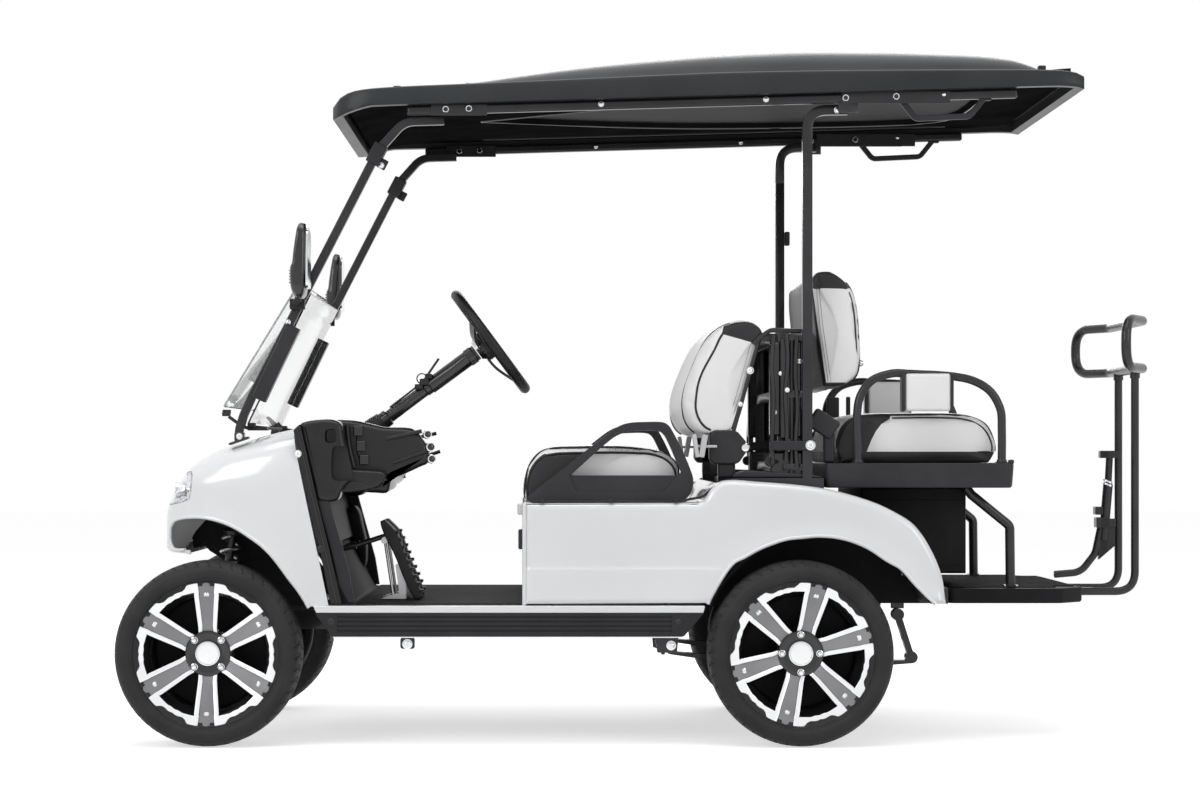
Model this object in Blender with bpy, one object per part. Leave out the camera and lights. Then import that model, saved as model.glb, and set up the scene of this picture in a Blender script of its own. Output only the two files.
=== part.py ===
"""A lifted four-seat electric golf cart, in metres, +Z up, with its front toward -X.

Lengths along the cart are counted from the front axle, heights from the ground and
sides from the middle plane. The left side of the cart is at -Y.
"""

import math

import bmesh
import bpy
from mathutils import Matrix, Vector

for old in list(bpy.data.objects):
    bpy.data.objects.remove(old, do_unlink=True)

# Driving sizes
WHEELBASE = 1.680
TRACK = 1.090
TYRE_RADIUS = 0.263
TYRE_WIDTH = 0.210
RIM_RADIUS = 0.207
OVERALL_LENGTH = 3.001
FLOOR_HEIGHT = 0.400
BODY_HALF_WIDTH = 0.580
ROOF_FRONT = 0.347
ROOF_LENGTH = 2.143
ROOF_HALF_WIDTH = 0.580
ROOF_HEIGHT = 1.821
BENCH_FRONT = 0.895
BENCH_HEIGHT = 0.692
SEAT_HALF_WIDTH = 0.455

# Clearances
FIT = 0.0003
RUNNING = 0.006
OVERRUN = 0.020

# Steering
KINGPIN_SIDE = 0.470
COLUMN_BASE = 0.468
COLUMN_BASE_HEIGHT = 0.919
STEERING_SIDE = -0.270
STEERING_CENTRE = 0.793
STEERING_HEIGHT = 1.159

AXLE_HEIGHT = TYRE_RADIUS
WHEEL_SIDE = TRACK / 2
FRONT_AXLE_X = TYRE_RADIUS - OVERALL_LENGTH / 2
LEFT = -1
RIGHT = 1
SIDES = (("left", LEFT), ("right", RIGHT))


# Materials
def material(name, colour, roughness, metallic=0.0):
    made = bpy.data.materials.new(name)
    made.use_nodes = True
    shader = made.node_tree.nodes["Principled BSDF"]
    shader.inputs["Base Color"].default_value = (*colour, 1.0)
    shader.inputs["Roughness"].default_value = roughness
    shader.inputs["Metallic"].default_value = metallic
    made.diffuse_color = (*colour, 1.0)
    return made


WHITE_PAINT = ((0.86, 0.87, 0.88), 0.18)
BLACK_STEEL = ((0.025, 0.026, 0.028), 0.40, 0.3)
BLACK_PLASTIC = ((0.022, 0.023, 0.025), 0.55)
RUBBER = ((0.018, 0.018, 0.019), 0.80)
ALLOY = ((0.62, 0.63, 0.64), 0.28, 1.0)
STEEL = ((0.30, 0.31, 0.32), 0.45, 0.9)
VINYL = ((0.80, 0.80, 0.79), 0.50)
CLEAR = ((0.78, 0.82, 0.83), 0.05)
LAMP_LENS = ((0.85, 0.87, 0.90), 0.08)
BATTERY_GREY = ((0.12, 0.12, 0.13), 0.60)


# Outlines and sections
def from_shares(shares, start, length, base, height):
    """Outline points whose shares run along a length and up a height."""
    return [(start + along * length, base + up * height) for along, up in shares]


def inset(points, depth):
    """A closed outline moved inwards by a wall's depth; the points run anticlockwise."""
    moved = []
    count = len(points)
    for i, here in enumerate(points):
        before = Vector(here) - Vector(points[i - 1])
        after = Vector(points[(i + 1) % count]) - Vector(here)
        first = Vector((-before.y, before.x)).normalized()
        second = Vector((-after.y, after.x)).normalized()
        middle = (first + second).normalized()
        reach = depth / max(middle.dot(first), 0.35)
        moved.append(tuple(Vector(here) + middle * reach))
    return moved


def anticlockwise(points):
    total = sum(a[0] * b[1] - b[0] * a[1] for a, b in zip(points, points[1:] + points[:1]))
    return points if total > 0 else points[::-1]


def rounded(points, radius, steps=4, closed=False):
    """The same path with an arc of this radius at each corner."""
    path = [Vector(p) for p in points]
    count = len(path)
    made = []
    for i, here in enumerate(path):
        if not closed and i in (0, count - 1):
            made.append(here)
            continue
        back = path[i - 1] - here
        ahead = path[(i + 1) % count] - here
        half = back.angle(ahead) / 2
        reach = min(radius / math.tan(half), 0.49 * back.length, 0.49 * ahead.length)
        start = here + back.normalized() * reach
        end = here + ahead.normalized() * reach
        for k in range(steps + 1):
            t = k / steps
            made.append(start * (1 - t) ** 2 + here * 2 * t * (1 - t) + end * t ** 2)
    return made


def ring_section(radius, sides):
    turn = 2 * math.pi / sides
    return [
        (radius * math.cos((k + 0.5) * turn), radius * math.sin((k + 0.5) * turn))
        for k in range(sides)
    ]


def box_section(width, depth):
    return [
        (-width / 2, -depth / 2),
        (width / 2, -depth / 2),
        (width / 2, depth / 2),
        (-width / 2, depth / 2),
    ]


# Meshes
def mesh_from(build):
    shape = bmesh.new()
    build(shape)
    bmesh.ops.recalc_face_normals(shape, faces=shape.faces)
    mesh = bpy.data.meshes.new("shape")
    shape.to_mesh(mesh)
    shape.free()
    return mesh


def loft(rings, closed=False):
    """A closed solid through rings of equal length, with flat ends unless it closes on itself."""

    def build(shape):
        rows = [[shape.verts.new(p) for p in ring] for ring in rings]
        pairs = list(zip(rows, rows[1:]))
        if closed:
            pairs.append((rows[-1], rows[0]))
        for first, second in pairs:
            count = len(first)
            for k in range(count):
                n = (k + 1) % count
                shape.faces.new((first[k], first[n], second[n], second[k]))
        if not closed:
            shape.faces.new(rows[0][::-1])
            shape.faces.new(rows[-1])

    return mesh_from(build)


def plate(outline, low_side, high_side):
    """An outline of lengths and heights, made thick across the cart."""
    return loft([[(x, side, z) for x, z in outline] for side in (low_side, high_side)])


def deck(outline, bottom, top):
    """An outline of lengths and sides, made thick upwards."""
    return loft([[(x, y, z) for x, y in outline] for z in (bottom, top)])


def block(x_low, x_high, y_low, y_high, z_low, z_high):
    corners = [(x_low, y_low), (x_high, y_low), (x_high, y_high), (x_low, y_high)]
    return deck(corners, z_low, z_high)


def sweep(path, section, closed=False, across=(0, 1, 0)):
    """A section carried along a path, with its first direction kept away from `across`."""
    points = [Vector(p) for p in path]
    count = len(points)
    rings = []
    for i, here in enumerate(points):
        before = points[i - 1] if closed or i else here
        after = points[(i + 1) % count] if closed or i < count - 1 else here
        along = (after - before).normalized()
        first = along.cross(Vector(across)).normalized()
        second = first.cross(along).normalized()
        rings.append([tuple(here + first * a + second * b) for a, b in section])
    return loft(rings, closed)


def tube(path, radius, sides=8, closed=False, across=(0, 1, 0)):
    return sweep(path, ring_section(radius, sides), closed, across)


def turned(profile, steps, centre, axis=(0, 1, 0), ring=False):
    """A profile of (radius, place along the axis) turned about the axis through centre."""
    pole = Vector(axis).normalized()
    level = Vector((1, 0, 0)) if abs(pole.z) > abs(pole.x) + abs(pole.y) else Vector((0, 0, 1))
    side = pole.cross(level).normalized()
    other = pole.cross(side)
    origin = Vector(centre)

    def build(shape):
        rows = []
        for radius, along in profile:
            middle = origin + pole * along
            if radius == 0:
                rows.append([shape.verts.new(middle)])
                continue
            row = []
            for k in range(steps):
                angle = 2 * math.pi * k / steps
                spot = side * math.cos(angle) + other * math.sin(angle)
                row.append(shape.verts.new(middle + spot * radius))
            rows.append(row)
        pairs = list(zip(rows, rows[1:]))
        if ring:
            pairs.append((rows[-1], rows[0]))
        for first, second in pairs:
            for k in range(steps):
                n = (k + 1) % steps
                if len(first) == 1:
                    shape.faces.new((first[0], second[k], second[n]))
                elif len(second) == 1:
                    shape.faces.new((first[k], first[n], second[0]))
                else:
                    shape.faces.new((first[k], first[n], second[n], second[k]))

    return mesh_from(build)


def cylinder(centre, radius, low, high, steps=16, axis=(0, 1, 0)):
    return turned([(0, low), (radius, low), (radius, high), (0, high)], steps, centre, axis)


def turned_about_y(mesh, angle, centre):
    place = Matrix.Translation(centre)
    mesh.transform(place @ Matrix.Rotation(angle, 4, "Y") @ place.inverted())
    return mesh


def mirrored(mesh):
    copy = mesh.copy()
    copy.transform(Matrix.Diagonal((1, -1, 1, 1)))
    copy.flip_normals()
    return copy


def both_sides(mesh):
    return [mesh, mirrored(mesh)]


def helper(mesh):
    made = bpy.data.objects.new("helper", mesh)
    bpy.context.scene.collection.objects.link(made)
    return made


def combined(base, others, operation):
    """The base with each other mesh joined to it or cut from it, as a new mesh."""
    body = helper(base)
    tools = []
    for other in others:
        tool = helper(other)
        tool.display_type = "WIRE"
        tool.hide_render = True
        tools.append(tool)
        step = body.modifiers.new("step", "BOOLEAN")
        step.operation = operation
        step.object = tool
    graph = bpy.context.evaluated_depsgraph_get()
    made = bpy.data.meshes.new_from_object(body.evaluated_get(graph))
    for used in [body, *tools]:
        bpy.data.objects.remove(used, do_unlink=True)
    return made


def joined(base, *others):
    return combined(base, others, "UNION")


def cut(base, *others):
    return combined(base, others, "DIFFERENCE")


# Bodies and placing
def datum(name, parent=None, place=(0, 0, 0)):
    made = bpy.data.objects.new(name, None)
    bpy.context.scene.collection.objects.link(made)
    made.parent = parent
    made.location = place
    return made


CART = datum("cart_datum", None, (FRONT_AXLE_X, 0, 0))


def add(name, mesh, finish, pivot=None, sharp=35):
    """Names a mesh as a sub-part, on its pivot's own origin where it moves."""
    made = bpy.data.objects.new(name, mesh)
    bpy.context.scene.collection.objects.link(made)
    made.parent = pivot or CART
    if pivot:
        away = Vector(pivot.location)
        carrier = pivot.parent
        while carrier is not CART:
            away += carrier.location
            carrier = carrier.parent
        mesh.transform(Matrix.Translation(-away))
    mesh.name = name
    mesh.materials.clear()
    mesh.materials.append(material(name, *finish))
    mesh.shade_smooth()
    mesh.set_sharp_from_angle(angle=math.radians(sharp))
    return made


def add_pair(name, mesh, finish):
    """A left piece, modelled on the cart's left side, and its mirror image."""
    opposite = mirrored(mesh)
    add(name + "_left", mesh, finish)
    add(name + "_right", opposite, finish)


# Wheels
TYRE_STEPS = 28
TYRE_PROFILE_SHARES = (
    # share of the height from rim seat to tread, share of half the width
    (0.000, -0.80),
    (0.240, -0.80),
    (0.360, -0.95),
    (0.640, -1.00),
    (0.900, -0.90),
    (1.000, -0.67),
    (1.000, 0.67),
    (0.900, 0.90),
    (0.640, 1.00),
    (0.360, 0.95),
    (0.240, 0.80),
    (0.000, 0.80),
    (0.760, 0.72),
    (0.760, -0.72),
)
RIM_SEAT_RADIUS = 0.1917
RIM_WALL = 0.0080
RIM_HALF_WIDTH = 0.090
RIM_FLANGE = 0.0057
SPOKES = 6
SPOKE_ROOT_RADIUS = 0.050
SPOKE_ROOT_WIDTH = 0.048
SPOKE_TIP_WIDTH = 0.076
SPOKE_THICKNESS = 0.016
SPOKE_ROOT_FACE = 0.044
SPOKE_TIP_FACE = 0.086
HUB_RADIUS = 0.063
HUB_FACE = 0.040
HUB_BACK = 0.018
CAP_RADIUS = 0.033
CAP_FACE = 0.052
FRONT_SPOKE_TURN = math.radians(30)
REAR_SPOKE_TURN = math.radians(16)


def tyre_mesh(centre):
    depth = TYRE_RADIUS - RIM_SEAT_RADIUS - FIT
    base = RIM_SEAT_RADIUS + FIT
    profile = [
        (base + up * depth, across * TYRE_WIDTH / 2) for up, across in TYRE_PROFILE_SHARES
    ]
    return turned(profile, TYRE_STEPS, centre, ring=True)


def rim_mesh(centre, outward, spoke_turn):
    """An alloy wheel whose face looks outward, +1 to the right or -1 to the left."""
    flange_foot = RIM_HALF_WIDTH - RIM_FLANGE
    inner = RIM_SEAT_RADIUS - RIM_WALL
    profile = (
        (RIM_RADIUS, RIM_HALF_WIDTH),
        (RIM_RADIUS, flange_foot),
        (RIM_SEAT_RADIUS, flange_foot),
        (RIM_SEAT_RADIUS, -flange_foot),
        (RIM_RADIUS, -flange_foot),
        (RIM_RADIUS, -RIM_HALF_WIDTH),
        (inner, -RIM_HALF_WIDTH),
        (inner, RIM_HALF_WIDTH),
    )
    axis = (0, outward, 0)
    barrel = turned(profile, TYRE_STEPS, centre, axis, ring=True)
    hub_profile = (
        (0, HUB_BACK),
        (HUB_RADIUS, HUB_BACK),
        (HUB_RADIUS, HUB_FACE),
        (CAP_RADIUS, HUB_FACE),
        (CAP_RADIUS, CAP_FACE),
        (0, CAP_FACE),
    )
    pieces = [turned(hub_profile, SPOKES * 3, centre, axis)]
    tip_reach = math.sqrt((inner + RIM_WALL * 0.6) ** 2 - (SPOKE_TIP_WIDTH / 2) ** 2)
    ends = (
        (SPOKE_ROOT_RADIUS, SPOKE_ROOT_WIDTH, SPOKE_ROOT_FACE),
        (tip_reach, SPOKE_TIP_WIDTH, SPOKE_TIP_FACE),
    )
    for k in range(SPOKES):
        rings = []
        for reach, width, face in ends:
            ring = []
            for across, side in box_section(width, SPOKE_THICKNESS):
                y = outward * (face - SPOKE_THICKNESS / 2 + side)
                ring.append((centre[0] + across, centre[1] + y, centre[2] + reach))
            rings.append(ring)
        spoke = loft(rings)
        angle = spoke_turn + k * 2 * math.pi / SPOKES
        pieces.append(turned_about_y(spoke, angle, centre))
    return joined(barrel, *pieces)


# Kingpins, stub axles and steering
KINGPIN_RADIUS = 0.016
YOKE_HALF_HEIGHT = 0.085
YOKE_EAR = 0.014
YOKE_DEPTH = 0.040
STUB_RADIUS = 0.018
DRUM_RADIUS = 0.062
DRUM_INNER = 0.036
DRUM_OUTER = 0.068
ARM_LENGTH = 0.110
ARM_WIDTH = 0.030
ARM_THICKNESS = 0.012
ARM_INWARD = 0.030
HUB_SEAT_SIDE = WHEEL_SIDE + HUB_BACK - FIT


def knuckle_mesh(side):
    pin = (0, side * KINGPIN_SIDE, AXLE_HEIGHT)
    half = YOKE_HALF_HEIGHT - YOKE_EAR - FIT
    post = cylinder(pin, KINGPIN_RADIUS, -half, half, 12, (0, 0, 1))
    stub = cylinder(pin, STUB_RADIUS, 0, HUB_SEAT_SIDE - KINGPIN_SIDE, 12, (0, side, 0))
    drum = cylinder(pin, DRUM_RADIUS, DRUM_INNER, DRUM_OUTER, 16, (0, side, 0))
    top = AXLE_HEIGHT - STUB_RADIUS
    arm_outline = [
        (0, side * (KINGPIN_SIDE - ARM_WIDTH / 2)),
        (0, side * (KINGPIN_SIDE + ARM_WIDTH / 2)),
        (ARM_LENGTH + ARM_WIDTH / 2, side * (KINGPIN_SIDE - ARM_INWARD + ARM_WIDTH / 2)),
        (ARM_LENGTH + ARM_WIDTH / 2, side * (KINGPIN_SIDE - ARM_INWARD - ARM_WIDTH / 2)),
    ]
    arm = deck(arm_outline, top - ARM_THICKNESS, top)
    return joined(post, stub, drum, arm)


BEAM_SIZE = 0.046
KNUCKLE_ROOM = 0.042
BEAM_HALF_LENGTH = KINGPIN_SIDE - KNUCKLE_ROOM
YOKE_WEB = 0.016
SHOCK_SIDE = 0.355
SHOCK_RADIUS = 0.032
SHOCK_LEAN = 0.048
SHOCK_TOP_HEIGHT = 0.640
SHOCK_COILS = 6


def front_beam_mesh():
    centre = AXLE_HEIGHT
    half = BEAM_SIZE / 2
    beam = block(-half, half, -BEAM_HALF_LENGTH, BEAM_HALF_LENGTH, centre - half, centre + half)
    pieces = []
    ear_end = KINGPIN_SIDE + KINGPIN_RADIUS
    web_start = BEAM_HALF_LENGTH - YOKE_WEB
    for _, side in SIDES:
        low, high = sorted((side * web_start, side * BEAM_HALF_LENGTH))
        pieces.append(
            block(
                -YOKE_DEPTH / 2,
                YOKE_DEPTH / 2,
                low,
                high,
                centre - YOKE_HALF_HEIGHT,
                centre + YOKE_HALF_HEIGHT,
            )
        )
        low, high = sorted((side * web_start, side * ear_end))
        for up in (-1, 1):
            bottom, top = sorted(
                (centre + up * YOKE_HALF_HEIGHT, centre + up * (YOKE_HALF_HEIGHT - YOKE_EAR))
            )
            pieces.append(block(-YOKE_DEPTH / 2, YOKE_DEPTH / 2, low, high, bottom, top))
    return joined(beam, *pieces)


def shock_mesh(side):
    """A coil-over shock: a rod inside a spring of stacked turns, made as one turned solid."""
    base = AXLE_HEIGHT + BEAM_SIZE / 2
    rise = SHOCK_RADIUS / 2 * SHOCK_LEAN / (SHOCK_TOP_HEIGHT - base) + FIT
    foot = Vector((0, side * SHOCK_SIDE, base + rise))
    head = Vector((SHOCK_LEAN, side * SHOCK_SIDE, SHOCK_TOP_HEIGHT - rise))
    length = (head - foot).length
    profile = [(0, 0), (SHOCK_RADIUS * 0.5, 0), (SHOCK_RADIUS * 0.5, length * 0.1)]
    pitch = length * 0.8 / SHOCK_COILS
    for k in range(SHOCK_COILS):
        start = length * 0.1 + k * pitch
        profile += [(SHOCK_RADIUS, start + pitch * 0.25), (SHOCK_RADIUS, start + pitch * 0.6)]
        profile += [(SHOCK_RADIUS * 0.7, start + pitch * 0.85)]
    profile += [(SHOCK_RADIUS * 0.5, length * 0.95), (SHOCK_RADIUS * 0.5, length), (0, length)]
    return turned(profile, 8, foot, head - foot)


RACK_RADIUS = 0.011
RACK_HOUSING_RADIUS = 0.022
RACK_HALF_HOUSING = 0.200
ROD_EYE = 0.016
ROD_EYE_GAP = 0.005
RACK_HEIGHT = AXLE_HEIGHT - STUB_RADIUS + ROD_EYE_GAP + RACK_RADIUS


def rack_housing_mesh():
    profile = (
        (RACK_HOUSING_RADIUS, -RACK_HALF_HOUSING),
        (RACK_HOUSING_RADIUS, RACK_HALF_HOUSING),
        (RACK_RADIUS + FIT * 2, RACK_HALF_HOUSING),
        (RACK_RADIUS + FIT * 2, -RACK_HALF_HOUSING),
    )
    housing = turned(profile, 16, (ARM_LENGTH, 0, RACK_HEIGHT), ring=True)
    wall_middle = ARM_LENGTH - (RACK_HOUSING_RADIUS + RACK_RADIUS) / 2
    bracket = block(
        BEAM_SIZE / 2 + FIT,
        wall_middle,
        -RACK_HALF_HOUSING * 0.8,
        -RACK_HALF_HOUSING * 0.6,
        RACK_HEIGHT - RACK_RADIUS,
        RACK_HEIGHT + RACK_RADIUS,
    )
    return joined(housing, *both_sides(bracket))


def tie_rods_mesh():
    reach = KINGPIN_SIDE - ARM_INWARD
    rod = cylinder((ARM_LENGTH, 0, RACK_HEIGHT), RACK_RADIUS, -reach, reach, 12)
    eyes = [
        cylinder(
            (ARM_LENGTH, side * reach, RACK_HEIGHT),
            ROD_EYE,
            -RACK_RADIUS,
            RACK_RADIUS,
            12,
            (0, 0, 1),
        )
        for _, side in SIDES
    ]
    return joined(rod, *eyes)


# Frame, rear axle and springs
RAIL_SIDE = 0.290
RAIL_WIDTH = 0.050
RAIL_DEPTH = 0.055
FLOOR_THICKNESS = 0.030
RAIL_TOP = FLOOR_HEIGHT - FLOOR_THICKNESS
RAIL_FRONT = -0.115
REAR_RAIL_START = 1.330
REAR_RAIL_END = 2.120
REAR_RAIL_RISE = 0.075
CROSS_PLACES_SHARES = (0.00, 0.24, 0.46, 0.64)
CROSS_WIDTH = 0.050
TOWER_WIDTH = 0.060
SPRING_WIDTH = 0.045
SPRING_EYE_RADIUS = 0.018
SPRING_FRONT = 1.324
SPRING_FRONT_HEIGHT = 0.257
SPRING_REAR = 2.031
SPRING_REAR_HEIGHT = 0.231
SHACKLE_TOP = 1.991
SHACKLE_TOP_HEIGHT = 0.356
SPRING_THICKNESS = 0.022
AXLE_TUBE_RADIUS = 0.032
MOTOR_RADIUS = 0.095
MOTOR_END = 0.225
DIFF_RADIUS = 0.105
CASING_END = 0.065
HANGER_WIDTH = 0.060


def frame_mesh():
    half = RAIL_WIDTH / 2
    low = RAIL_TOP - RAIL_DEPTH
    rear_top = RAIL_TOP + REAR_RAIL_RISE
    outline = [
        (RAIL_FRONT, low),
        (REAR_RAIL_START, low),
        (REAR_RAIL_START + REAR_RAIL_RISE, low + REAR_RAIL_RISE),
        (REAR_RAIL_END, low + REAR_RAIL_RISE),
        (REAR_RAIL_END, rear_top),
        (REAR_RAIL_START + REAR_RAIL_RISE - RAIL_DEPTH / 2, rear_top),
        (REAR_RAIL_START - RAIL_DEPTH / 2, RAIL_TOP),
        (RAIL_FRONT, RAIL_TOP),
    ]
    pieces = []
    rails = both_sides(plate(outline, -RAIL_SIDE - half, -RAIL_SIDE + half))
    length = REAR_RAIL_END - RAIL_FRONT
    reach = RAIL_SIDE + half / 2
    for share in CROSS_PLACES_SHARES:
        start = RAIL_FRONT + share * length
        inner_low = low + OVERRUN / 4
        pieces.append(
            block(start, start + CROSS_WIDTH, -reach, reach, inner_low, RAIL_TOP - OVERRUN / 4)
        )
    rear_low = low + REAR_RAIL_RISE
    pieces.append(
        block(
            REAR_RAIL_END - CROSS_WIDTH,
            REAR_RAIL_END,
            -BODY_HALF_WIDTH * 0.75,
            BODY_HALF_WIDTH * 0.75,
            rear_low + OVERRUN / 4,
            rear_top - OVERRUN / 4,
        )
    )
    # towers that hold the heads of the front shocks
    tower_low = SHOCK_LEAN - TOWER_WIDTH / 2
    tower_high = SHOCK_LEAN + TOWER_WIDTH / 2
    head = SHOCK_TOP_HEIGHT
    tower = joined(
        block(
            tower_low,
            tower_high,
            -RAIL_SIDE - half * 0.6,
            -RAIL_SIDE + half * 0.6,
            low + OVERRUN / 2,
            head + OVERRUN / 2,
        ),
        block(
            tower_low,
            tower_high,
            -SHOCK_SIDE - SHOCK_RADIUS,
            -RAIL_SIDE,
            head,
            head + OVERRUN,
        ),
    )
    pieces += both_sides(tower)
    # hangers for the leaf springs
    eye = SPRING_EYE_RADIUS
    front_hanger = block(
        SPRING_FRONT - eye * 1.6,
        SPRING_FRONT - eye - FIT,
        -RAIL_SIDE - half,
        -RAIL_SIDE + half,
        SPRING_FRONT_HEIGHT - eye,
        low + OVERRUN / 2,
    )
    pieces += both_sides(front_hanger)
    rear_hanger = block(
        SHACKLE_TOP - eye,
        SHACKLE_TOP + eye,
        -RAIL_SIDE - half * 0.5,
        -RAIL_SIDE + half * 0.5,
        SHACKLE_TOP_HEIGHT + eye + FIT,
        rear_low + OVERRUN / 2,
    )
    pieces += both_sides(rear_hanger)
    # crossbar that ties both rails together is first, so that each union meets one body
    return joined(pieces[0], *rails, *pieces[1:])


def rear_axle_mesh():
    """Axle tube, brake drums, gear casing and motor, turned as one piece."""
    reach = WHEEL_SIDE + HUB_BACK - FIT
    drum_in = KINGPIN_SIDE + DRUM_INNER
    drum_out = KINGPIN_SIDE + DRUM_OUTER
    half_profile = [
        (0, reach),
        (AXLE_TUBE_RADIUS, reach),
        (AXLE_TUBE_RADIUS, drum_out),
        (DRUM_RADIUS, drum_out),
        (DRUM_RADIUS, drum_in),
        (AXLE_TUBE_RADIUS, drum_in),
    ]
    profile = half_profile + [
        (AXLE_TUBE_RADIUS, MOTOR_END),
        (MOTOR_RADIUS, MOTOR_END),
        (MOTOR_RADIUS, CASING_END),
        (DIFF_RADIUS, CASING_END),
        (DIFF_RADIUS, -CASING_END),
        (AXLE_TUBE_RADIUS, -CASING_END),
    ]
    profile += [(radius, -along) for radius, along in half_profile[::-1]]
    return turned(profile, 20, (WHEELBASE, 0, AXLE_HEIGHT))


def leaf_spring_mesh():
    """The left spring with its eyes and rear shackle, under the axle tube."""
    half = SPRING_WIDTH / 2
    low_side, high_side = -RAIL_SIDE - half, -RAIL_SIDE + half
    seat = AXLE_HEIGHT - AXLE_TUBE_RADIUS - FIT
    upper = [
        (SPRING_FRONT, SPRING_FRONT_HEIGHT - SPRING_EYE_RADIUS / 2),
        ((SPRING_FRONT + WHEELBASE) / 2, (SPRING_FRONT_HEIGHT + seat) / 2 - SPRING_THICKNESS / 2),
        (WHEELBASE - CROSS_WIDTH, seat),
        (WHEELBASE + CROSS_WIDTH, seat),
        ((SPRING_REAR + WHEELBASE) / 2, (SPRING_REAR_HEIGHT + seat) / 2 - SPRING_THICKNESS / 2),
        (SPRING_REAR, SPRING_REAR_HEIGHT - SPRING_EYE_RADIUS / 2),
    ]
    depths_shares = (0.4, 0.9, 1.5, 1.5, 0.9, 0.4)
    lower = [
        (x, z - SPRING_THICKNESS * share)
        for (x, z), share in zip(upper, depths_shares)
    ]
    leaves = plate(upper + lower[::-1], low_side, high_side)
    eyes = [
        cylinder((x, -RAIL_SIDE, z), SPRING_EYE_RADIUS, -half, half, 12)
        for x, z in (
            (SPRING_FRONT, SPRING_FRONT_HEIGHT),
            (SPRING_REAR, SPRING_REAR_HEIGHT),
            (SHACKLE_TOP, SHACKLE_TOP_HEIGHT),
        )
    ]
    shackle_path = [
        (SPRING_REAR, -RAIL_SIDE, SPRING_REAR_HEIGHT),
        (SHACKLE_TOP, -RAIL_SIDE, SHACKLE_TOP_HEIGHT),
    ]
    shackle = sweep(shackle_path, box_section(SPRING_EYE_RADIUS, SPRING_WIDTH * 0.8))
    return joined(leaves, *eyes, shackle)


# Battery, floor and sills
BATTERY_LENGTH = 0.320
BATTERY_HALF_WIDTH = 0.360
BATTERY_HEADROOM = 0.072
BATTERY_HEIGHT = BENCH_HEIGHT - BATTERY_HEADROOM - RAIL_TOP
FLOOR_HALF_WIDTH = 0.560
TOE_BASE = 0.400
TOE_TOP = 0.322
TOE_HEIGHT = 0.560
SILL_HALF_WIDTH = 0.615
SILL_INNER = FLOOR_HALF_WIDTH + FIT
SILL_FRONT = 0.305
SILL_LENGTH = 1.100
SILL_BOTTOM = 0.310
SILL_SLANT = 0.055
STRIP_BOTTOM = 0.376
STRIP_TOP = 0.394


def battery_mesh():
    start = BENCH_FRONT + 0.080
    low = FLOOR_HEIGHT - FLOOR_THICKNESS + FIT
    return block(
        start,
        start + BATTERY_LENGTH,
        -BATTERY_HALF_WIDTH,
        BATTERY_HALF_WIDTH,
        low,
        low + BATTERY_HEIGHT,
    )


def floor_mesh():
    low = RAIL_TOP + FIT
    end = BENCH_FRONT - FIT
    outline = [
        (TOE_BASE - FLOOR_THICKNESS, low),
        (end, low),
        (end, FLOOR_HEIGHT),
        (TOE_BASE, FLOOR_HEIGHT),
        (TOE_TOP, TOE_HEIGHT),
        (TOE_TOP - FLOOR_THICKNESS / 2, TOE_HEIGHT),
    ]
    return plate(outline, -FLOOR_HALF_WIDTH, FLOOR_HALF_WIDTH)


def sill_mesh():
    end = SILL_FRONT + SILL_LENGTH
    rocker = [
        (SILL_FRONT, STRIP_TOP),
        (SILL_FRONT + (STRIP_TOP - STRIP_BOTTOM) / 4, STRIP_BOTTOM),
        (SILL_FRONT + SILL_SLANT, SILL_BOTTOM),
        (end - SILL_SLANT, SILL_BOTTOM),
        (end, STRIP_BOTTOM),
        (end, STRIP_TOP),
    ]
    return plate(rocker, -SILL_HALF_WIDTH, -SILL_INNER)


# Front cowl and lamps
COWL_FRONT = -0.146
COWL_LENGTH = 0.520
COWL_BASE = 0.396
COWL_HEIGHT = 0.512
COWL_WALL = 0.006
COWL_STATIONS_SHARES = (
    # share along, share of half width, share up to the top, share up to the bottom
    (0.000, 0.66, 0.505, 0.330),
    (0.012, 0.72, 0.565, 0.290),
    (0.060, 0.79, 0.665, 0.285),
    (0.160, 0.87, 0.790, 0.285),
    (0.292, 0.93, 0.868, 0.000),
    (0.450, 0.97, 0.905, 0.000),
    (0.680, 1.00, 0.975, 0.000),
    (0.740, 1.00, 1.000, 0.000),
    (1.000, 1.00, 1.000, 0.000),
)
COWL_REAR_TOP = 0.232
COWL_REAR_FOOT = 0.341
ARCH_SHARES = (
    # shares of the cowl's length and height, from the nose to the sill
    (-0.30, 0.470),
    (0.027, 0.475),
    (0.160, 0.492),
    (0.302, 0.480),
    (0.434, 0.430),
    (0.567, 0.340),
    (0.677, 0.217),
    (0.765, 0.105),
    (0.829, -0.008),
    (0.850, -0.200),
    (-0.30, -0.200),
)
ARCH_INNER_SIDE = 0.330
LAMP_FRONT = -0.170
LAMP_LENGTH = 0.100
LAMP_BASE = 0.672
LAMP_HEIGHT = 0.108
LAMP_INNER_SIDE = 0.270
LAMP_OUTER_SIDE = 0.520
LAMP_DEPTH = 0.024
SECTION_POINTS = 14
SECTION_POWER_SHARE = 0.20


def arch_section(x, half_width, top, bottom):
    """A half section across the cart: square at the foot and round at the shoulders."""
    points = []
    for k in range(SECTION_POINTS + 1):
        angle = math.pi * k / SECTION_POINTS
        cosine = math.copysign(abs(math.cos(angle)) ** SECTION_POWER_SHARE, math.cos(angle))
        sine = math.sin(angle) ** SECTION_POWER_SHARE if 0 < k < SECTION_POINTS else 0
        points.append((x, half_width * cosine, bottom + (top - bottom) * sine))
    return points


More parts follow.
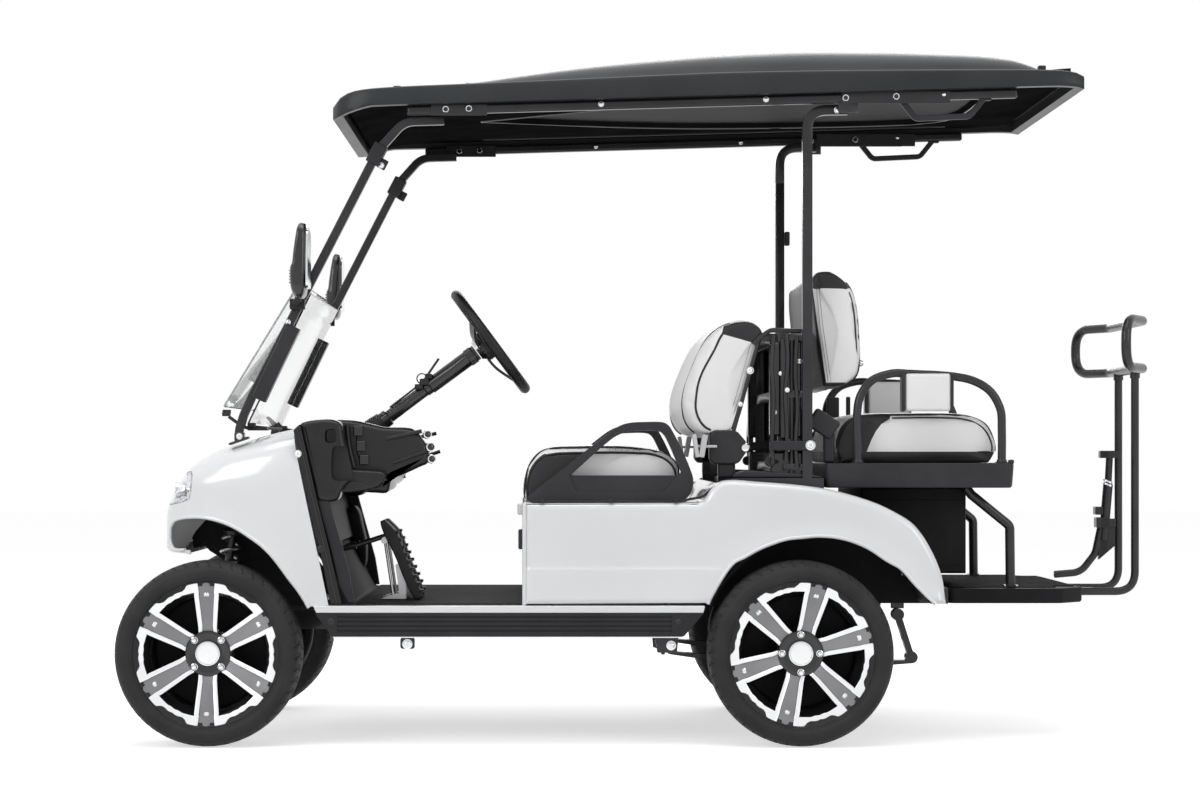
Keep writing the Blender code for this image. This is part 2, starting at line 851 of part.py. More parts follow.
def cowl_solid(wall):
    """The cowl's outer form, or the space inside it where a wall is given."""
    rings = []
    for along, wide, high, low in COWL_STATIONS_SHARES:
        x = COWL_FRONT + along * COWL_LENGTH + (wall if along < 0.5 else 0)
        bottom = COWL_BASE + low * COWL_HEIGHT
        if wall:
            bottom = COWL_BASE - OVERRUN
        top = COWL_BASE + high * COWL_HEIGHT - wall
        rings.append(arch_section(x, BODY_HALF_WIDTH * wide - wall, top, bottom))
    if wall:
        last = rings[-1]
        rings.append([(x + OVERRUN, y, z) for x, y, z in last])
    return loft(rings)


def cowl_top(x, side):
    """Height of the cowl's outer surface at a length and a side."""
    share = (x - COWL_FRONT) / COWL_LENGTH
    for first, second in zip(COWL_STATIONS_SHARES, COWL_STATIONS_SHARES[1:]):
        if first[0] <= share <= second[0]:
            break
    t = (share - first[0]) / (second[0] - first[0])
    wide, high, low = (a * (1 - t) + b * t for a, b in zip(first[1:], second[1:]))
    cosine = (abs(side) / (BODY_HALF_WIDTH * wide)) ** (1 / SECTION_POWER_SHARE)
    rise = math.sqrt(1 - cosine ** 2) ** SECTION_POWER_SHARE
    return COWL_BASE + COWL_HEIGHT * (low + (high - low) * rise)


def lamp_box(gap):
    return block(
        LAMP_FRONT + gap,
        LAMP_FRONT + LAMP_LENGTH - gap,
        -LAMP_OUTER_SIDE + gap,
        -LAMP_INNER_SIDE - gap,
        LAMP_BASE + gap,
        LAMP_BASE + LAMP_HEIGHT - gap,
    )


def headlamp_mesh():
    """The left lamp follows the cowl's own skin at its corner."""
    skin = combined(cowl_solid(0), [lamp_box(FIT)], "INTERSECT")
    return cut(skin, cowl_solid(LAMP_DEPTH))


def cowl_mesh():
    outer = cowl_solid(0)
    inner = cowl_solid(COWL_WALL)
    top = COWL_BASE + COWL_HEIGHT + OVERRUN
    slope = (COWL_REAR_FOOT - COWL_REAR_TOP) / COWL_HEIGHT
    behind = COWL_FRONT + COWL_LENGTH + OVERRUN * 2
    rear_cut = plate(
        [
            (COWL_REAR_FOOT + OVERRUN * slope, COWL_BASE - OVERRUN),
            (behind, COWL_BASE - OVERRUN),
            (behind, top),
            (COWL_REAR_TOP - OVERRUN * slope, top),
        ],
        -BODY_HALF_WIDTH - OVERRUN,
        BODY_HALF_WIDTH + OVERRUN,
    )
    arch = from_shares(ARCH_SHARES, COWL_FRONT, COWL_LENGTH, COWL_BASE, COWL_HEIGHT)
    arches = both_sides(plate(arch, -BODY_HALF_WIDTH - OVERRUN, -ARCH_INNER_SIDE))
    return cut(outer, inner, rear_cut, *arches, *both_sides(lamp_box(0)))


# Dash, column, pedals
DASH_FRONT = 0.262
DASH_LENGTH = 0.358
DASH_BASE = 0.690
DASH_HEIGHT = 0.239
DASH_HALF_WIDTH = 0.568
DASH_OUTLINE_SHARES = (
    (0.00, 0.86),
    (0.06, 1.00),
    (0.36, 1.00),
    (0.65, 0.91),
    (0.85, 0.89),
    (0.93, 0.82),
    (1.00, 0.70),
    (1.00, 0.48),
    (0.91, 0.435),
    (0.72, 0.264),
    (0.66, 0.12),
    (0.46, 0.07),
    (0.33, 0.07),
    (0.22, 0.00),
    (0.12, 0.03),
)
PILLAR_SIDE = 0.578
PILLAR_WIDTH = 0.032
COLUMN_LOWER_RADIUS = 0.0175
COLUMN_UPPER_RADIUS = 0.0245
COLUMN_SPLIT_SHARE = 0.5
STEERING_WHEEL_RADIUS = 0.170
STEERING_RIM_RADIUS = 0.0155
STEERING_HUB_RADIUS = 0.045
STEERING_DISH = 0.050
STEERING_SPOKES = 3
STEERING_SPOKE_THICKNESS = 0.010
STEERING_SPOKE_WIDTH = 0.032
STEERING_STEPS = 24
PEDAL_PIVOT = 0.400
PEDAL_PIVOT_HEIGHT = 0.640
PEDAL_PAD_TOP = 0.470
PEDAL_PAD_TOP_HEIGHT = 0.636
PEDAL_PAD_FOOT = 0.582
PEDAL_PAD_FOOT_HEIGHT = 0.425
PEDAL_PAD_THICKNESS = 0.014
PEDAL_SHAFT_RADIUS = 0.012
PEDAL_LEVER_WIDTH = 0.020
PEDAL_LEVER_REACH = 0.020
PEDAL_LEVER_DROP = 0.040
PEDAL_HANGER_HALF_WIDTH = 0.030
PEDAL_SIDES = (-0.330, -0.180)
PEDAL_PAD_HALF_WIDTH = 0.045


def dash_mesh():
    outline = from_shares(DASH_OUTLINE_SHARES, DASH_FRONT, DASH_LENGTH, DASH_BASE, DASH_HEIGHT)
    outline = anticlockwise(outline)
    body = plate(outline, -DASH_HALF_WIDTH, DASH_HALF_WIDTH)
    # a pillar strip at each side runs down behind the cowl to the sill
    low = STRIP_TOP + FIT
    high = COWL_BASE + COWL_HEIGHT - OVERRUN / 2
    front_low = cowl_rear_edge(low) + FIT * 2
    front_high = cowl_rear_edge(high) + FIT * 2
    strip = [
        (front_low, low),
        (front_low + PILLAR_WIDTH, low),
        (front_high + PILLAR_WIDTH, high),
        (front_high, high),
    ]
    strips = both_sides(plate(strip, -PILLAR_SIDE, -FLOOR_HALF_WIDTH - FIT))
    axis = steering_axis()
    bore_start = column_foot() - axis * OVERRUN
    clearance = COLUMN_LOWER_RADIUS + FIT * 2
    bore = cylinder(bore_start, clearance, 0, OVERRUN * 6, 16, axis)
    return cut(joined(body, *strips), bore)


def cowl_rear_edge(height):
    """How far back the cowl's slanted rear edge lies at a height."""
    share = (height - COWL_BASE) / COWL_HEIGHT
    return COWL_REAR_FOOT + (COWL_REAR_TOP - COWL_REAR_FOOT) * share


def steering_axis():
    rise = STEERING_HEIGHT - COLUMN_BASE_HEIGHT
    run = STEERING_CENTRE - COLUMN_BASE
    return Vector((run, 0, rise)).normalized()


def column_foot():
    return Vector((COLUMN_BASE, STEERING_SIDE, COLUMN_BASE_HEIGHT))


def column_top():
    centre = Vector((STEERING_CENTRE, STEERING_SIDE, STEERING_HEIGHT))
    return centre - steering_axis() * STEERING_DISH


def column_mesh():
    axis = steering_axis()
    foot = column_foot() - axis * OVERRUN / 2
    length = (column_top() - foot).length - FIT
    split = length * COLUMN_SPLIT_SHARE
    profile = (
        (0, 0),
        (COLUMN_LOWER_RADIUS, 0),
        (COLUMN_LOWER_RADIUS, split),
        (COLUMN_UPPER_RADIUS, split),
        (COLUMN_UPPER_RADIUS, length),
        (0, length),
    )
    return turned(profile, 16, foot, axis)


def steering_wheel_mesh():
    axis = steering_axis()
    centre = Vector((STEERING_CENTRE, STEERING_SIDE, STEERING_HEIGHT))
    side = Vector((0, 1, 0))
    up = axis.cross(side).normalized()
    path = []
    for k in range(STEERING_STEPS):
        angle = 2 * math.pi * k / STEERING_STEPS
        path.append(centre + (side * math.cos(angle) + up * math.sin(angle)) * STEERING_WHEEL_RADIUS)
    rim = sweep(path, ring_section(STEERING_RIM_RADIUS, 6), True, axis)
    hub = cylinder(column_top(), STEERING_HUB_RADIUS, 0, STEERING_DISH * 0.8, 16, axis)
    spokes = []
    section = box_section(STEERING_SPOKE_THICKNESS, STEERING_SPOKE_WIDTH)
    for k in range(STEERING_SPOKES):
        angle = math.radians(-90 + 120 * k)
        out = side * math.cos(angle) + up * math.sin(angle)
        start = column_top() + axis * STEERING_DISH * 0.4
        path = [start, centre + out * STEERING_WHEEL_RADIUS]
        spokes.append(sweep(path, section, False, side if k == 0 else up))
    return joined(hub, rim, *spokes)


def pedals_mesh():
    """Brake and throttle pedals on one shaft, which the dash carries."""
    shaft_half = (PEDAL_SIDES[1] - PEDAL_SIDES[0]) / 2 + PEDAL_PAD_HALF_WIDTH
    middle = (PEDAL_SIDES[0] + PEDAL_SIDES[1]) / 2
    shaft = cylinder(
        (PEDAL_PIVOT, middle, PEDAL_PIVOT_HEIGHT), PEDAL_SHAFT_RADIUS, -shaft_half, shaft_half, 10
    )
    pieces = []
    for side in PEDAL_SIDES:
        pad = sweep(
            [
                (PEDAL_PAD_TOP, side, PEDAL_PAD_TOP_HEIGHT),
                (PEDAL_PAD_FOOT, side, PEDAL_PAD_FOOT_HEIGHT),
            ],
            box_section(PEDAL_PAD_THICKNESS, PEDAL_PAD_HALF_WIDTH * 2),
        )
        lever = sweep(
            [
                (PEDAL_PIVOT, side, PEDAL_PIVOT_HEIGHT),
                (PEDAL_PAD_TOP + PEDAL_LEVER_REACH, side, PEDAL_PAD_TOP_HEIGHT - PEDAL_LEVER_DROP),
            ],
            box_section(PEDAL_PAD_THICKNESS, PEDAL_LEVER_WIDTH),
        )
        pieces += [lever, pad]
    hanger_top = DASH_BASE + DASH_HEIGHT * 0.07 - FIT
    hanger = block(
        PEDAL_PIVOT - PEDAL_SHAFT_RADIUS,
        PEDAL_PIVOT + PEDAL_SHAFT_RADIUS,
        middle - PEDAL_HANGER_HALF_WIDTH,
        middle + PEDAL_HANGER_HALF_WIDTH,
        PEDAL_PIVOT_HEIGHT,
        hanger_top,
    )
    return joined(shaft, hanger, *pieces)


# Rear body and liners
REAR_BODY_LENGTH = 1.201
REAR_BODY_BASE = 0.396
BENCH_DECK_SHARE = 0.8245
REAR_BODY_HEIGHT = (BENCH_HEIGHT - REAR_BODY_BASE) / BENCH_DECK_SHARE
REAR_BODY_WALL = 0.006
REAR_BODY_SHARES = (
    # shares of the length and height, round the side from the front foot
    (0.000, 0.000),
    (0.440, 0.000),
    (0.470, 0.230),
    (0.521, 0.390),
    (0.583, 0.492),
    (0.661, 0.546),
    (0.737, 0.546),
    (0.815, 0.460),
    (0.891, 0.300),
    (0.955, 0.130),
    (0.985, 0.000),
    (1.000, 0.016),
    (0.988, 0.253),
    (0.959, 0.480),
    (0.924, 0.650),
    (0.883, 0.730),
    (0.827, 0.825),
    (0.759, 0.894),
    (0.654, 0.958),
    (0.547, 0.990),
    (0.474, 1.000),
    (0.456, 0.960),
    (0.423, BENCH_DECK_SHARE),
    (0.000, BENCH_DECK_SHARE),
)
FENDER_CHAMFER = 0.022
LINER_RADIUS = 0.346
LINER_WALL = 0.005
LINER_CENTRE_SHIFT = 0.060
LINER_DROP = 0.008


def rear_body_mesh():
    outline = anticlockwise(
        from_shares(REAR_BODY_SHARES, BENCH_FRONT, REAR_BODY_LENGTH, REAR_BODY_BASE, REAR_BODY_HEIGHT)
    )
    shoulder = inset(outline, FENDER_CHAMFER / 2)
    half = BODY_HALF_WIDTH
    rings = [
        [(x, -half, z) for x, z in shoulder],
        [(x, -half + FENDER_CHAMFER, z) for x, z in outline],
        [(x, half - FENDER_CHAMFER, z) for x, z in outline],
        [(x, half, z) for x, z in shoulder],
    ]
    outer = loft(rings)
    wall = REAR_BODY_WALL
    top = BENCH_HEIGHT
    inner_top = [
        (BENCH_FRONT + wall, REAR_BODY_BASE - OVERRUN),
        (BENCH_FRONT + REAR_BODY_LENGTH * 0.97, REAR_BODY_BASE - OVERRUN),
        (BENCH_FRONT + REAR_BODY_LENGTH * 0.97, REAR_BODY_BASE + REAR_BODY_HEIGHT * 0.35),
        (BENCH_FRONT + REAR_BODY_LENGTH * 0.90, REAR_BODY_BASE + REAR_BODY_HEIGHT * 0.62),
        (BENCH_FRONT + REAR_BODY_LENGTH * 0.75, top - wall),
        (BENCH_FRONT + wall, top - wall),
    ]
    inside = plate(inner_top, -half + FENDER_CHAMFER + wall, half - FENDER_CHAMFER - wall)
    # the deck behind the bench is open where the rear frame and the boxes stand
    hatch = block(
        BENCH_FRONT + REAR_BODY_LENGTH * 0.46,
        BENCH_FRONT + REAR_BODY_LENGTH + OVERRUN,
        -STRUT_SIDE - STRUT_WIDTH / 2 - RUNNING,
        STRUT_SIDE + STRUT_WIDTH / 2 + RUNNING,
        REAR_BODY_BASE - OVERRUN,
        REAR_BODY_BASE + REAR_BODY_HEIGHT + OVERRUN,
    )
    return cut(outer, inside, hatch)


def liner_mesh():
    """The left wheel housing: a half round sheet with an inner wall."""
    centre_x = WHEELBASE + LINER_CENTRE_SHIFT
    outer = LINER_RADIUS
    inner = LINER_RADIUS - LINER_WALL
    steps = 14
    arc = []
    for k in range(steps + 1):
        angle = math.radians(20) + math.radians(140) * k / steps
        arc.append((math.cos(angle), math.sin(angle)))
    centre_z = AXLE_HEIGHT - LINER_DROP
    ring = [(centre_x + c * outer, centre_z + s * outer) for c, s in arc]
    ring += [(centre_x + c * inner, centre_z + s * inner) for c, s in arc[::-1]]
    low_side = -BODY_HALF_WIDTH + FENDER_CHAMFER + REAR_BODY_WALL + FIT
    high_side = -RAIL_SIDE - RAIL_WIDTH / 2 - OVERRUN
    return plate(ring, low_side, high_side)


# Front bench
CUSHION_BASE_HEIGHT = BENCH_HEIGHT + FIT
CUSHION_LENGTH = 0.449
CUSHION_HEIGHT = 0.160
CUSHION_SHARES = (
    (0.000, 0.000),
    (1.000, 0.000),
    (1.000, 0.735),
    (0.870, 0.893),
    (0.365, 1.000),
    (0.180, 0.960),
    (0.075, 0.840),
    (0.022, 0.580),
    (0.000, 0.290),
)
ARMREST_INNER = SEAT_HALF_WIDTH + RUNNING
ARMREST_WIDTH = 0.046
ARMREST_SHARES = (
    # shares of the armrest's length and height
    (0.014, 0.085),
    (0.542, 0.940),
    (0.604, 0.990),
    (0.809, 1.000),
    (0.868, 0.925),
    (1.000, 0.285),
    (1.000, 0.000),
    (0.000, 0.000),
)
ARMREST_WINDOW_SHARES = (
    (0.255, 0.310),
    (0.552, 0.790),
    (0.615, 0.880),
    (0.763, 0.890),
    (0.809, 0.830),
    (0.933, 0.330),
)
ARMREST_LENGTH = 0.507
ARMREST_HEIGHT = 0.232
BACK_FRONT = 1.331
BACK_LENGTH = 0.250
BACK_GAP = 0.188
BACK_BASE = BENCH_HEIGHT + BACK_GAP
BACK_HEIGHT = 0.341
BACK_SHARES = (
    (0.468, 0.915),
    (0.640, 0.982),
    (0.780, 1.000),
    (0.988, 0.950),
    (1.000, 0.900),
    (0.620, 0.059),
    (0.440, 0.026),
    (0.260, 0.000),
    (0.000, 0.152),
    (0.000, 0.279),
    (0.144, 0.551),
    (0.308, 0.795),
)
BRACKET_WIDTH = 0.040


def profile_plate(shares, start, length, base, height, low_side, high_side):
    return plate(anticlockwise(from_shares(shares, start, length, base, height)), low_side, high_side)


def armrest_mesh():
    base = BENCH_HEIGHT + FIT
    low_side = -ARMREST_INNER - ARMREST_WIDTH
    high_side = -ARMREST_INNER
    body = profile_plate(
        ARMREST_SHARES, BENCH_FRONT, ARMREST_LENGTH, base, ARMREST_HEIGHT, low_side, high_side
    )
    window = profile_plate(
        ARMREST_WINDOW_SHARES,
        BENCH_FRONT,
        ARMREST_LENGTH,
        base,
        ARMREST_HEIGHT,
        low_side - OVERRUN,
        high_side + OVERRUN,
    )
    return cut(body, window)


# Rear frame with the roof struts
STRUT_PLACE = 1.708
STRUT_SIDE = 0.482
STRUT_WIDTH = 0.028
STRUT_BEND_HEIGHT = 1.735
STRUT_BEND_RADIUS = 0.050
STRUT_TOP = 1.791
FRAME_POST_PLACE = 1.640
FRAME_POST_SIDE = 0.440
DECK_FRONT = 1.490
DECK_RISE = 0.008
DECK_THICKNESS = 0.059
DECK_BOTTOM = BENCH_HEIGHT + DECK_RISE
DECK_TOP = DECK_BOTTOM + DECK_THICKNESS
BACK_ARM_RISE = 0.285
BACK_ARM_HEIGHT = BACK_BASE + BACK_ARM_RISE
FRAME_POST_TIP = 0.015
FRAME_POST_TOP = BACK_ARM_HEIGHT + FRAME_POST_TIP
LOW_BAR_RISE = 0.031
MIDDLE_BAR_DROP = 0.165
FRAME_BAR_HEIGHTS = (
    DECK_TOP + LOW_BAR_RISE,
    BACK_ARM_HEIGHT - MIDDLE_BAR_DROP,
    BACK_ARM_HEIGHT,
)
BENCH_FOOT_FRONT = 1.455


# Roof and its rails
ROOF_RAIL_SIDE = 0.530
ROOF_RAIL_SIZE = 0.026
ROOF_RAIL_START = 0.561
ROOF_RAIL_END = 2.303
ROOF_WALL = 0.012
LIP_WIDTH = 0.050
LIP_HEIGHT = 1.8155
LIP_SLOPE_SHARE = 0.0286
ROOF_STATIONS_SHARES = (
    # share along, share of half width, lip drop, lip top and crown as shares of the roof's rise
    (0.000, 0.930, 0.127, 0.000, 0.000),
    (0.056, 0.985, 0.000, 0.209, 0.222),
    (0.175, 1.000, 0.000, 0.267, 0.622),
    (0.515, 1.000, 0.000, 0.413, 0.933),
    (0.650, 1.000, 0.000, 0.431, 1.000),
    (0.939, 0.990, 0.000, 0.444, 0.933),
    (0.972, 0.985, 0.000, 0.431, 0.533),
    (1.000, 0.970, 0.043, 0.382, 0.382),
)
ROOF_DEPTH = 0.225


def roof_underside(x):
    """Height of the lip's underside, which slopes up toward the rear."""
    return LIP_HEIGHT + (x - ROOF_FRONT) * LIP_SLOPE_SHARE


def roof_rail_height(x):
    """Height of a roof rail's middle under the lip."""
    return roof_underside(x) - ROOF_RAIL_SIZE / 2 - FIT * 2


def roof_section(along, wide, lip_low, lip_high, crown, lift=0.0, narrow=0.0):
    """A section across the roof, from the left lip over the crown to the right lip."""
    x = ROOF_FRONT + along * ROOF_LENGTH
    half = ROOF_HALF_WIDTH * wide - narrow
    low = roof_underside(x) - lip_low * ROOF_DEPTH
    high = ROOF_HEIGHT + lip_high * ROOF_DEPTH - lift
    top = ROOF_HEIGHT + crown * ROOF_DEPTH - lift
    heights = ((1.00, low), (1.00, high), (0.86, high + (top - high) * 0.30))
    heights += ((0.74, high + (top - high) * 0.88), (0.60, top))
    left = [(x, -half * share, z) for share, z in heights]
    right = [(x, half * share, z) for share, z in heights[::-1]]
    return left + right


def roof_mesh():
    outer = loft([roof_section(*row) for row in ROOF_STATIONS_SHARES])
    rings = []
    for row in ROOF_STATIONS_SHARES[1:-1]:
        along, wide, lip_low, lip_high, crown = row
        drop = OVERRUN / ROOF_DEPTH
        rings.append(roof_section(along, wide, drop, lip_high, crown, ROOF_WALL, LIP_WIDTH))
    return cut(outer, loft(rings))


HANDLE_RADIUS = 0.0085
HANDLE_START = 1.965
HANDLE_LENGTH = 0.250
HANDLE_DROP = 0.062
HANDLE_BEND_RADIUS = 0.025


def roof_rail_mesh():
    """The left roof rail with its grab handle, close under the roof's lip."""
    ends = [(x, -ROOF_RAIL_SIDE, roof_rail_height(x)) for x in (ROOF_RAIL_START, ROOF_RAIL_END)]
    rail = sweep(ends, box_section(ROOF_RAIL_SIZE, ROOF_RAIL_SIZE))
    foot = HANDLE_START
    tip = HANDLE_START + HANDLE_LENGTH
    path = [
        (foot, -ROOF_RAIL_SIDE, roof_rail_height(foot)),
        (foot + HANDLE_DROP, -ROOF_RAIL_SIDE, roof_rail_height(foot) - HANDLE_DROP),
        (tip - HANDLE_DROP, -ROOF_RAIL_SIDE, roof_rail_height(tip) - HANDLE_DROP),
        (tip, -ROOF_RAIL_SIDE, roof_rail_height(tip)),
    ]
    handle = tube(rounded(path, HANDLE_BEND_RADIUS, 3), HANDLE_RADIUS, 6)
    return joined(rail, handle)


def bench_back_rear(height):
    """How far back the bench back's rear face lies at a height."""
    low, high = BACK_SHARES[5], BACK_SHARES[4]
    share = ((height - BACK_BASE) / BACK_HEIGHT - low[1]) / (high[1] - low[1])
    return BACK_FRONT + BACK_LENGTH * (low[0] + (high[0] - low[0]) * share)


def rear_frame_mesh():
    """Deck cover, frame posts with crossbars, and the struts that carry the roof."""
    rail_low = roof_rail_height(STRUT_TOP) - ROOF_RAIL_SIZE / 2 - FIT * 2
    half = STRUT_WIDTH / 2
    inner_side = ROOF_RAIL_SIDE
    strut_path = [
        (STRUT_PLACE, -STRUT_SIDE, DECK_BOTTOM),
        (STRUT_PLACE, -STRUT_SIDE, STRUT_BEND_HEIGHT),
        (STRUT_TOP, -STRUT_SIDE, rail_low - half),
        (STRUT_TOP + STRUT_WIDTH * 2, -STRUT_SIDE, rail_low - half),
    ]
    strut = sweep(rounded(strut_path, STRUT_BEND_RADIUS, 3), box_section(STRUT_WIDTH, STRUT_WIDTH))
    shoe = block(
        STRUT_TOP,
        STRUT_TOP + STRUT_WIDTH * 2,
        -inner_side - half,
        -STRUT_SIDE,
        rail_low - STRUT_WIDTH,
        rail_low,
    )
    post = block(
        FRAME_POST_PLACE - half,
        FRAME_POST_PLACE + half,
        -FRAME_POST_SIDE - half,
        -FRAME_POST_SIDE + half,
        DECK_BOTTOM,
        FRAME_POST_TOP,
    )
    cover = block(
        DECK_FRONT, TRAY_FRONT - FIT, -STRUT_SIDE - half, STRUT_SIDE + half, DECK_BOTTOM, DECK_TOP
    )
    leg = block(
        FRAME_POST_PLACE - half,
        FRAME_POST_PLACE + half,
        -RAIL_SIDE - half,
        -RAIL_SIDE + half,
        RAIL_TOP + REAR_RAIL_RISE + FIT,
        DECK_BOTTOM + half,
    )
    bench_bar_high = BACK_ARM_HEIGHT + half * 0.8
    bench_bar = block(
        bench_back_rear(bench_bar_high) + FIT * 2,
        FRAME_POST_PLACE,
        -FRAME_POST_SIDE,
        -FRAME_POST_SIDE + STRUT_WIDTH,
        BACK_ARM_HEIGHT - half * 0.8,
        bench_bar_high,
    )
    bench_foot = block(
        BENCH_FOOT_FRONT,
        DECK_FRONT + half,
        -FRAME_POST_SIDE,
        -FRAME_POST_SIDE + BRACKET_WIDTH,
        DECK_BOTTOM,
        BACK_BASE + BACK_HEIGHT * 0.028 - FIT,
    )
    rear_arm = block(
        FRAME_POST_PLACE,
        REAR_BACK_FRONT - FIT,
        -FRAME_POST_SIDE + BRACKET_WIDTH,
        -FRAME_POST_SIDE + BRACKET_WIDTH * 2,
        BACK_ARM_HEIGHT - half * 0.8,
        BACK_ARM_HEIGHT + half * 0.8,
    )
    pieces = []
    for mesh in (strut, shoe, post, leg, bench_bar, bench_foot, rear_arm):
        pieces += both_sides(mesh)
    for height in FRAME_BAR_HEIGHTS:
        pieces.append(
            block(
                FRAME_POST_PLACE - half * 0.8,
                FRAME_POST_PLACE + half * 0.8,
                -FRAME_POST_SIDE,
                FRAME_POST_SIDE,
                height - half,
                height + half,
            )
        )
        # short ties from each post to its strut
        tie = block(
            FRAME_POST_PLACE,
            STRUT_PLACE,
            -STRUT_SIDE,
            -FRAME_POST_SIDE,
            height - half * 0.7,
            height + half * 0.7,
        )
        pieces += both_sides(tie)
    return joined(cover, *pieces)


# Front posts, windshield and mirrors
POST_SIDE = 0.485
POST_WIDTH = 0.026
POST_FOOT = 0.072
POST_FOOT_HEIGHT = 0.858
FOOT_LENGTH = 0.062
FOOT_HALF_WIDTH = 0.030
FOOT_THICKNESS = 0.012
POST_KNEE = 0.476
POST_KNEE_HEIGHT = 1.700
POST_BEND_RADIUS = 0.045
SLEEVE_START_SHARE = 0.13
SLEEVE_END_SHARE = 0.40
SLEEVE_WIDTH = 0.042
MIRROR_SIDE = 0.600
MIRROR_FRONT = 0.240
MIRROR_DEPTH = 0.030
MIRROR_BASE = 1.262
MIRROR_HEIGHT = 0.220
MIRROR_WIDTH = 0.140
MIRROR_ARM_RADIUS = 0.010
MIRROR_ARM_SHARE = 0.25
GLASS_THICKNESS = 0.005
GLASS_HALF_WIDTH = POST_SIDE - SLEEVE_WIDTH / 2 - FIT
CLIP_GRIP = 0.030
LOWER_GLASS_FOOT_HEIGHT = 0.917
LOWER_GLASS_TOP_HEIGHT = 1.290
FOLD_REACH = 0.032
FOLD_RISE = 0.032
UPPER_GLASS_TOP_HEIGHT = LOWER_GLASS_TOP_HEIGHT + FOLD_RISE
UPPER_GLASS_TIP = 0.030
UPPER_GLASS_TIP_HEIGHT = 0.965


def post_place(height):
    """How far back a front post's middle line lies at a height."""
    share = (height - POST_FOOT_HEIGHT) / (POST_KNEE_HEIGHT - POST_FOOT_HEIGHT)
    return POST_FOOT + (POST_KNEE - POST_FOOT) * share


def upper_glass_top():
    return post_place(LOWER_GLASS_TOP_HEIGHT) - FOLD_REACH


def front_post_mesh():
    """The left roof post with its foot plate, glass sleeve and door mirror."""
    half = POST_WIDTH / 2
    shoe_start = ROOF_RAIL_START + POST_WIDTH * 2
    rail_low = roof_rail_height(shoe_start) - ROOF_RAIL_SIZE / 2 - FIT * 2
    foot = Vector((POST_FOOT, -POST_SIDE, POST_FOOT_HEIGHT))
    knee = Vector((POST_KNEE, -POST_SIDE, POST_KNEE_HEIGHT))
    head = Vector((ROOF_RAIL_START, -POST_SIDE, rail_low - half))
    tail = head + Vector((POST_WIDTH * 4, 0, 0))
    post = sweep(rounded([foot, knee, head, tail], POST_BEND_RADIUS, 3), box_section(POST_WIDTH, POST_WIDTH))
    sleeve = sweep(
        [foot.lerp(knee, SLEEVE_START_SHARE), foot.lerp(knee, SLEEVE_END_SHARE)],
        box_section(SLEEVE_WIDTH, SLEEVE_WIDTH),
    )
    pad = [
        (x, -POST_SIDE, cowl_top(x, POST_SIDE - FOOT_HALF_WIDTH) + FOOT_THICKNESS / 2 + FIT * 2)
        for x in (POST_FOOT - FOOT_LENGTH / 2, POST_FOOT + FOOT_LENGTH / 2)
    ]
    plate_mesh = sweep(pad, box_section(FOOT_THICKNESS, FOOT_HALF_WIDTH * 2))
    slope = Vector(
        (
            upper_glass_top() - UPPER_GLASS_TIP,
            0,
            UPPER_GLASS_TOP_HEIGHT - UPPER_GLASS_TIP_HEIGHT,
        )
    ).normalized()
    reach = GLASS_THICKNESS / 2 + FIT
    touch_x = upper_glass_top() + slope.z * reach
    touch_top = UPPER_GLASS_TOP_HEIGHT - slope.x * reach
    clip_low = LOWER_GLASS_TOP_HEIGHT + GLASS_THICKNESS / 2 + FIT
    touch_low = touch_x - slope.x / slope.z * (touch_top - clip_low)
    clip = plate(
        [
            (touch_x, touch_top),
            (touch_low, clip_low),
            (post_place(clip_low), clip_low),
            (post_place(touch_top), touch_top),
        ],
        -POST_SIDE,
        -GLASS_HALF_WIDTH + CLIP_GRIP,
    )
    shoe = block(
        shoe_start,
        ROOF_RAIL_START + POST_WIDTH * 4,
        -ROOF_RAIL_SIDE - half,
        -POST_SIDE,
        rail_low - POST_WIDTH,
        rail_low,
    )
    middle = (MIRROR_SIDE + POST_SIDE) / 2
    mirror_low = MIRROR_SIDE - MIRROR_WIDTH / 2
    mirror = block(
        MIRROR_FRONT,
        MIRROR_FRONT + MIRROR_DEPTH,
        -mirror_low - MIRROR_WIDTH,
        -mirror_low,
        MIRROR_BASE,
        MIRROR_BASE + MIRROR_HEIGHT,
    )
    arm_height = MIRROR_BASE + MIRROR_HEIGHT * MIRROR_ARM_SHARE
    on_post = Vector((post_place(arm_height), -POST_SIDE, arm_height))
    arm_end = Vector((MIRROR_FRONT + MIRROR_DEPTH / 2, -middle, arm_height))
    arm = tube([on_post, arm_end], MIRROR_ARM_RADIUS, 8, False, (0, 0, 1))
    return joined(post, sleeve, shoe, plate_mesh, clip, mirror, arm)


def glass_mesh(foot, foot_height, top, top_height):
    path = [(foot, 0, foot_height), (top, 0, top_height)]
    return sweep(path, box_section(GLASS_THICKNESS, GLASS_HALF_WIDTH * 2))


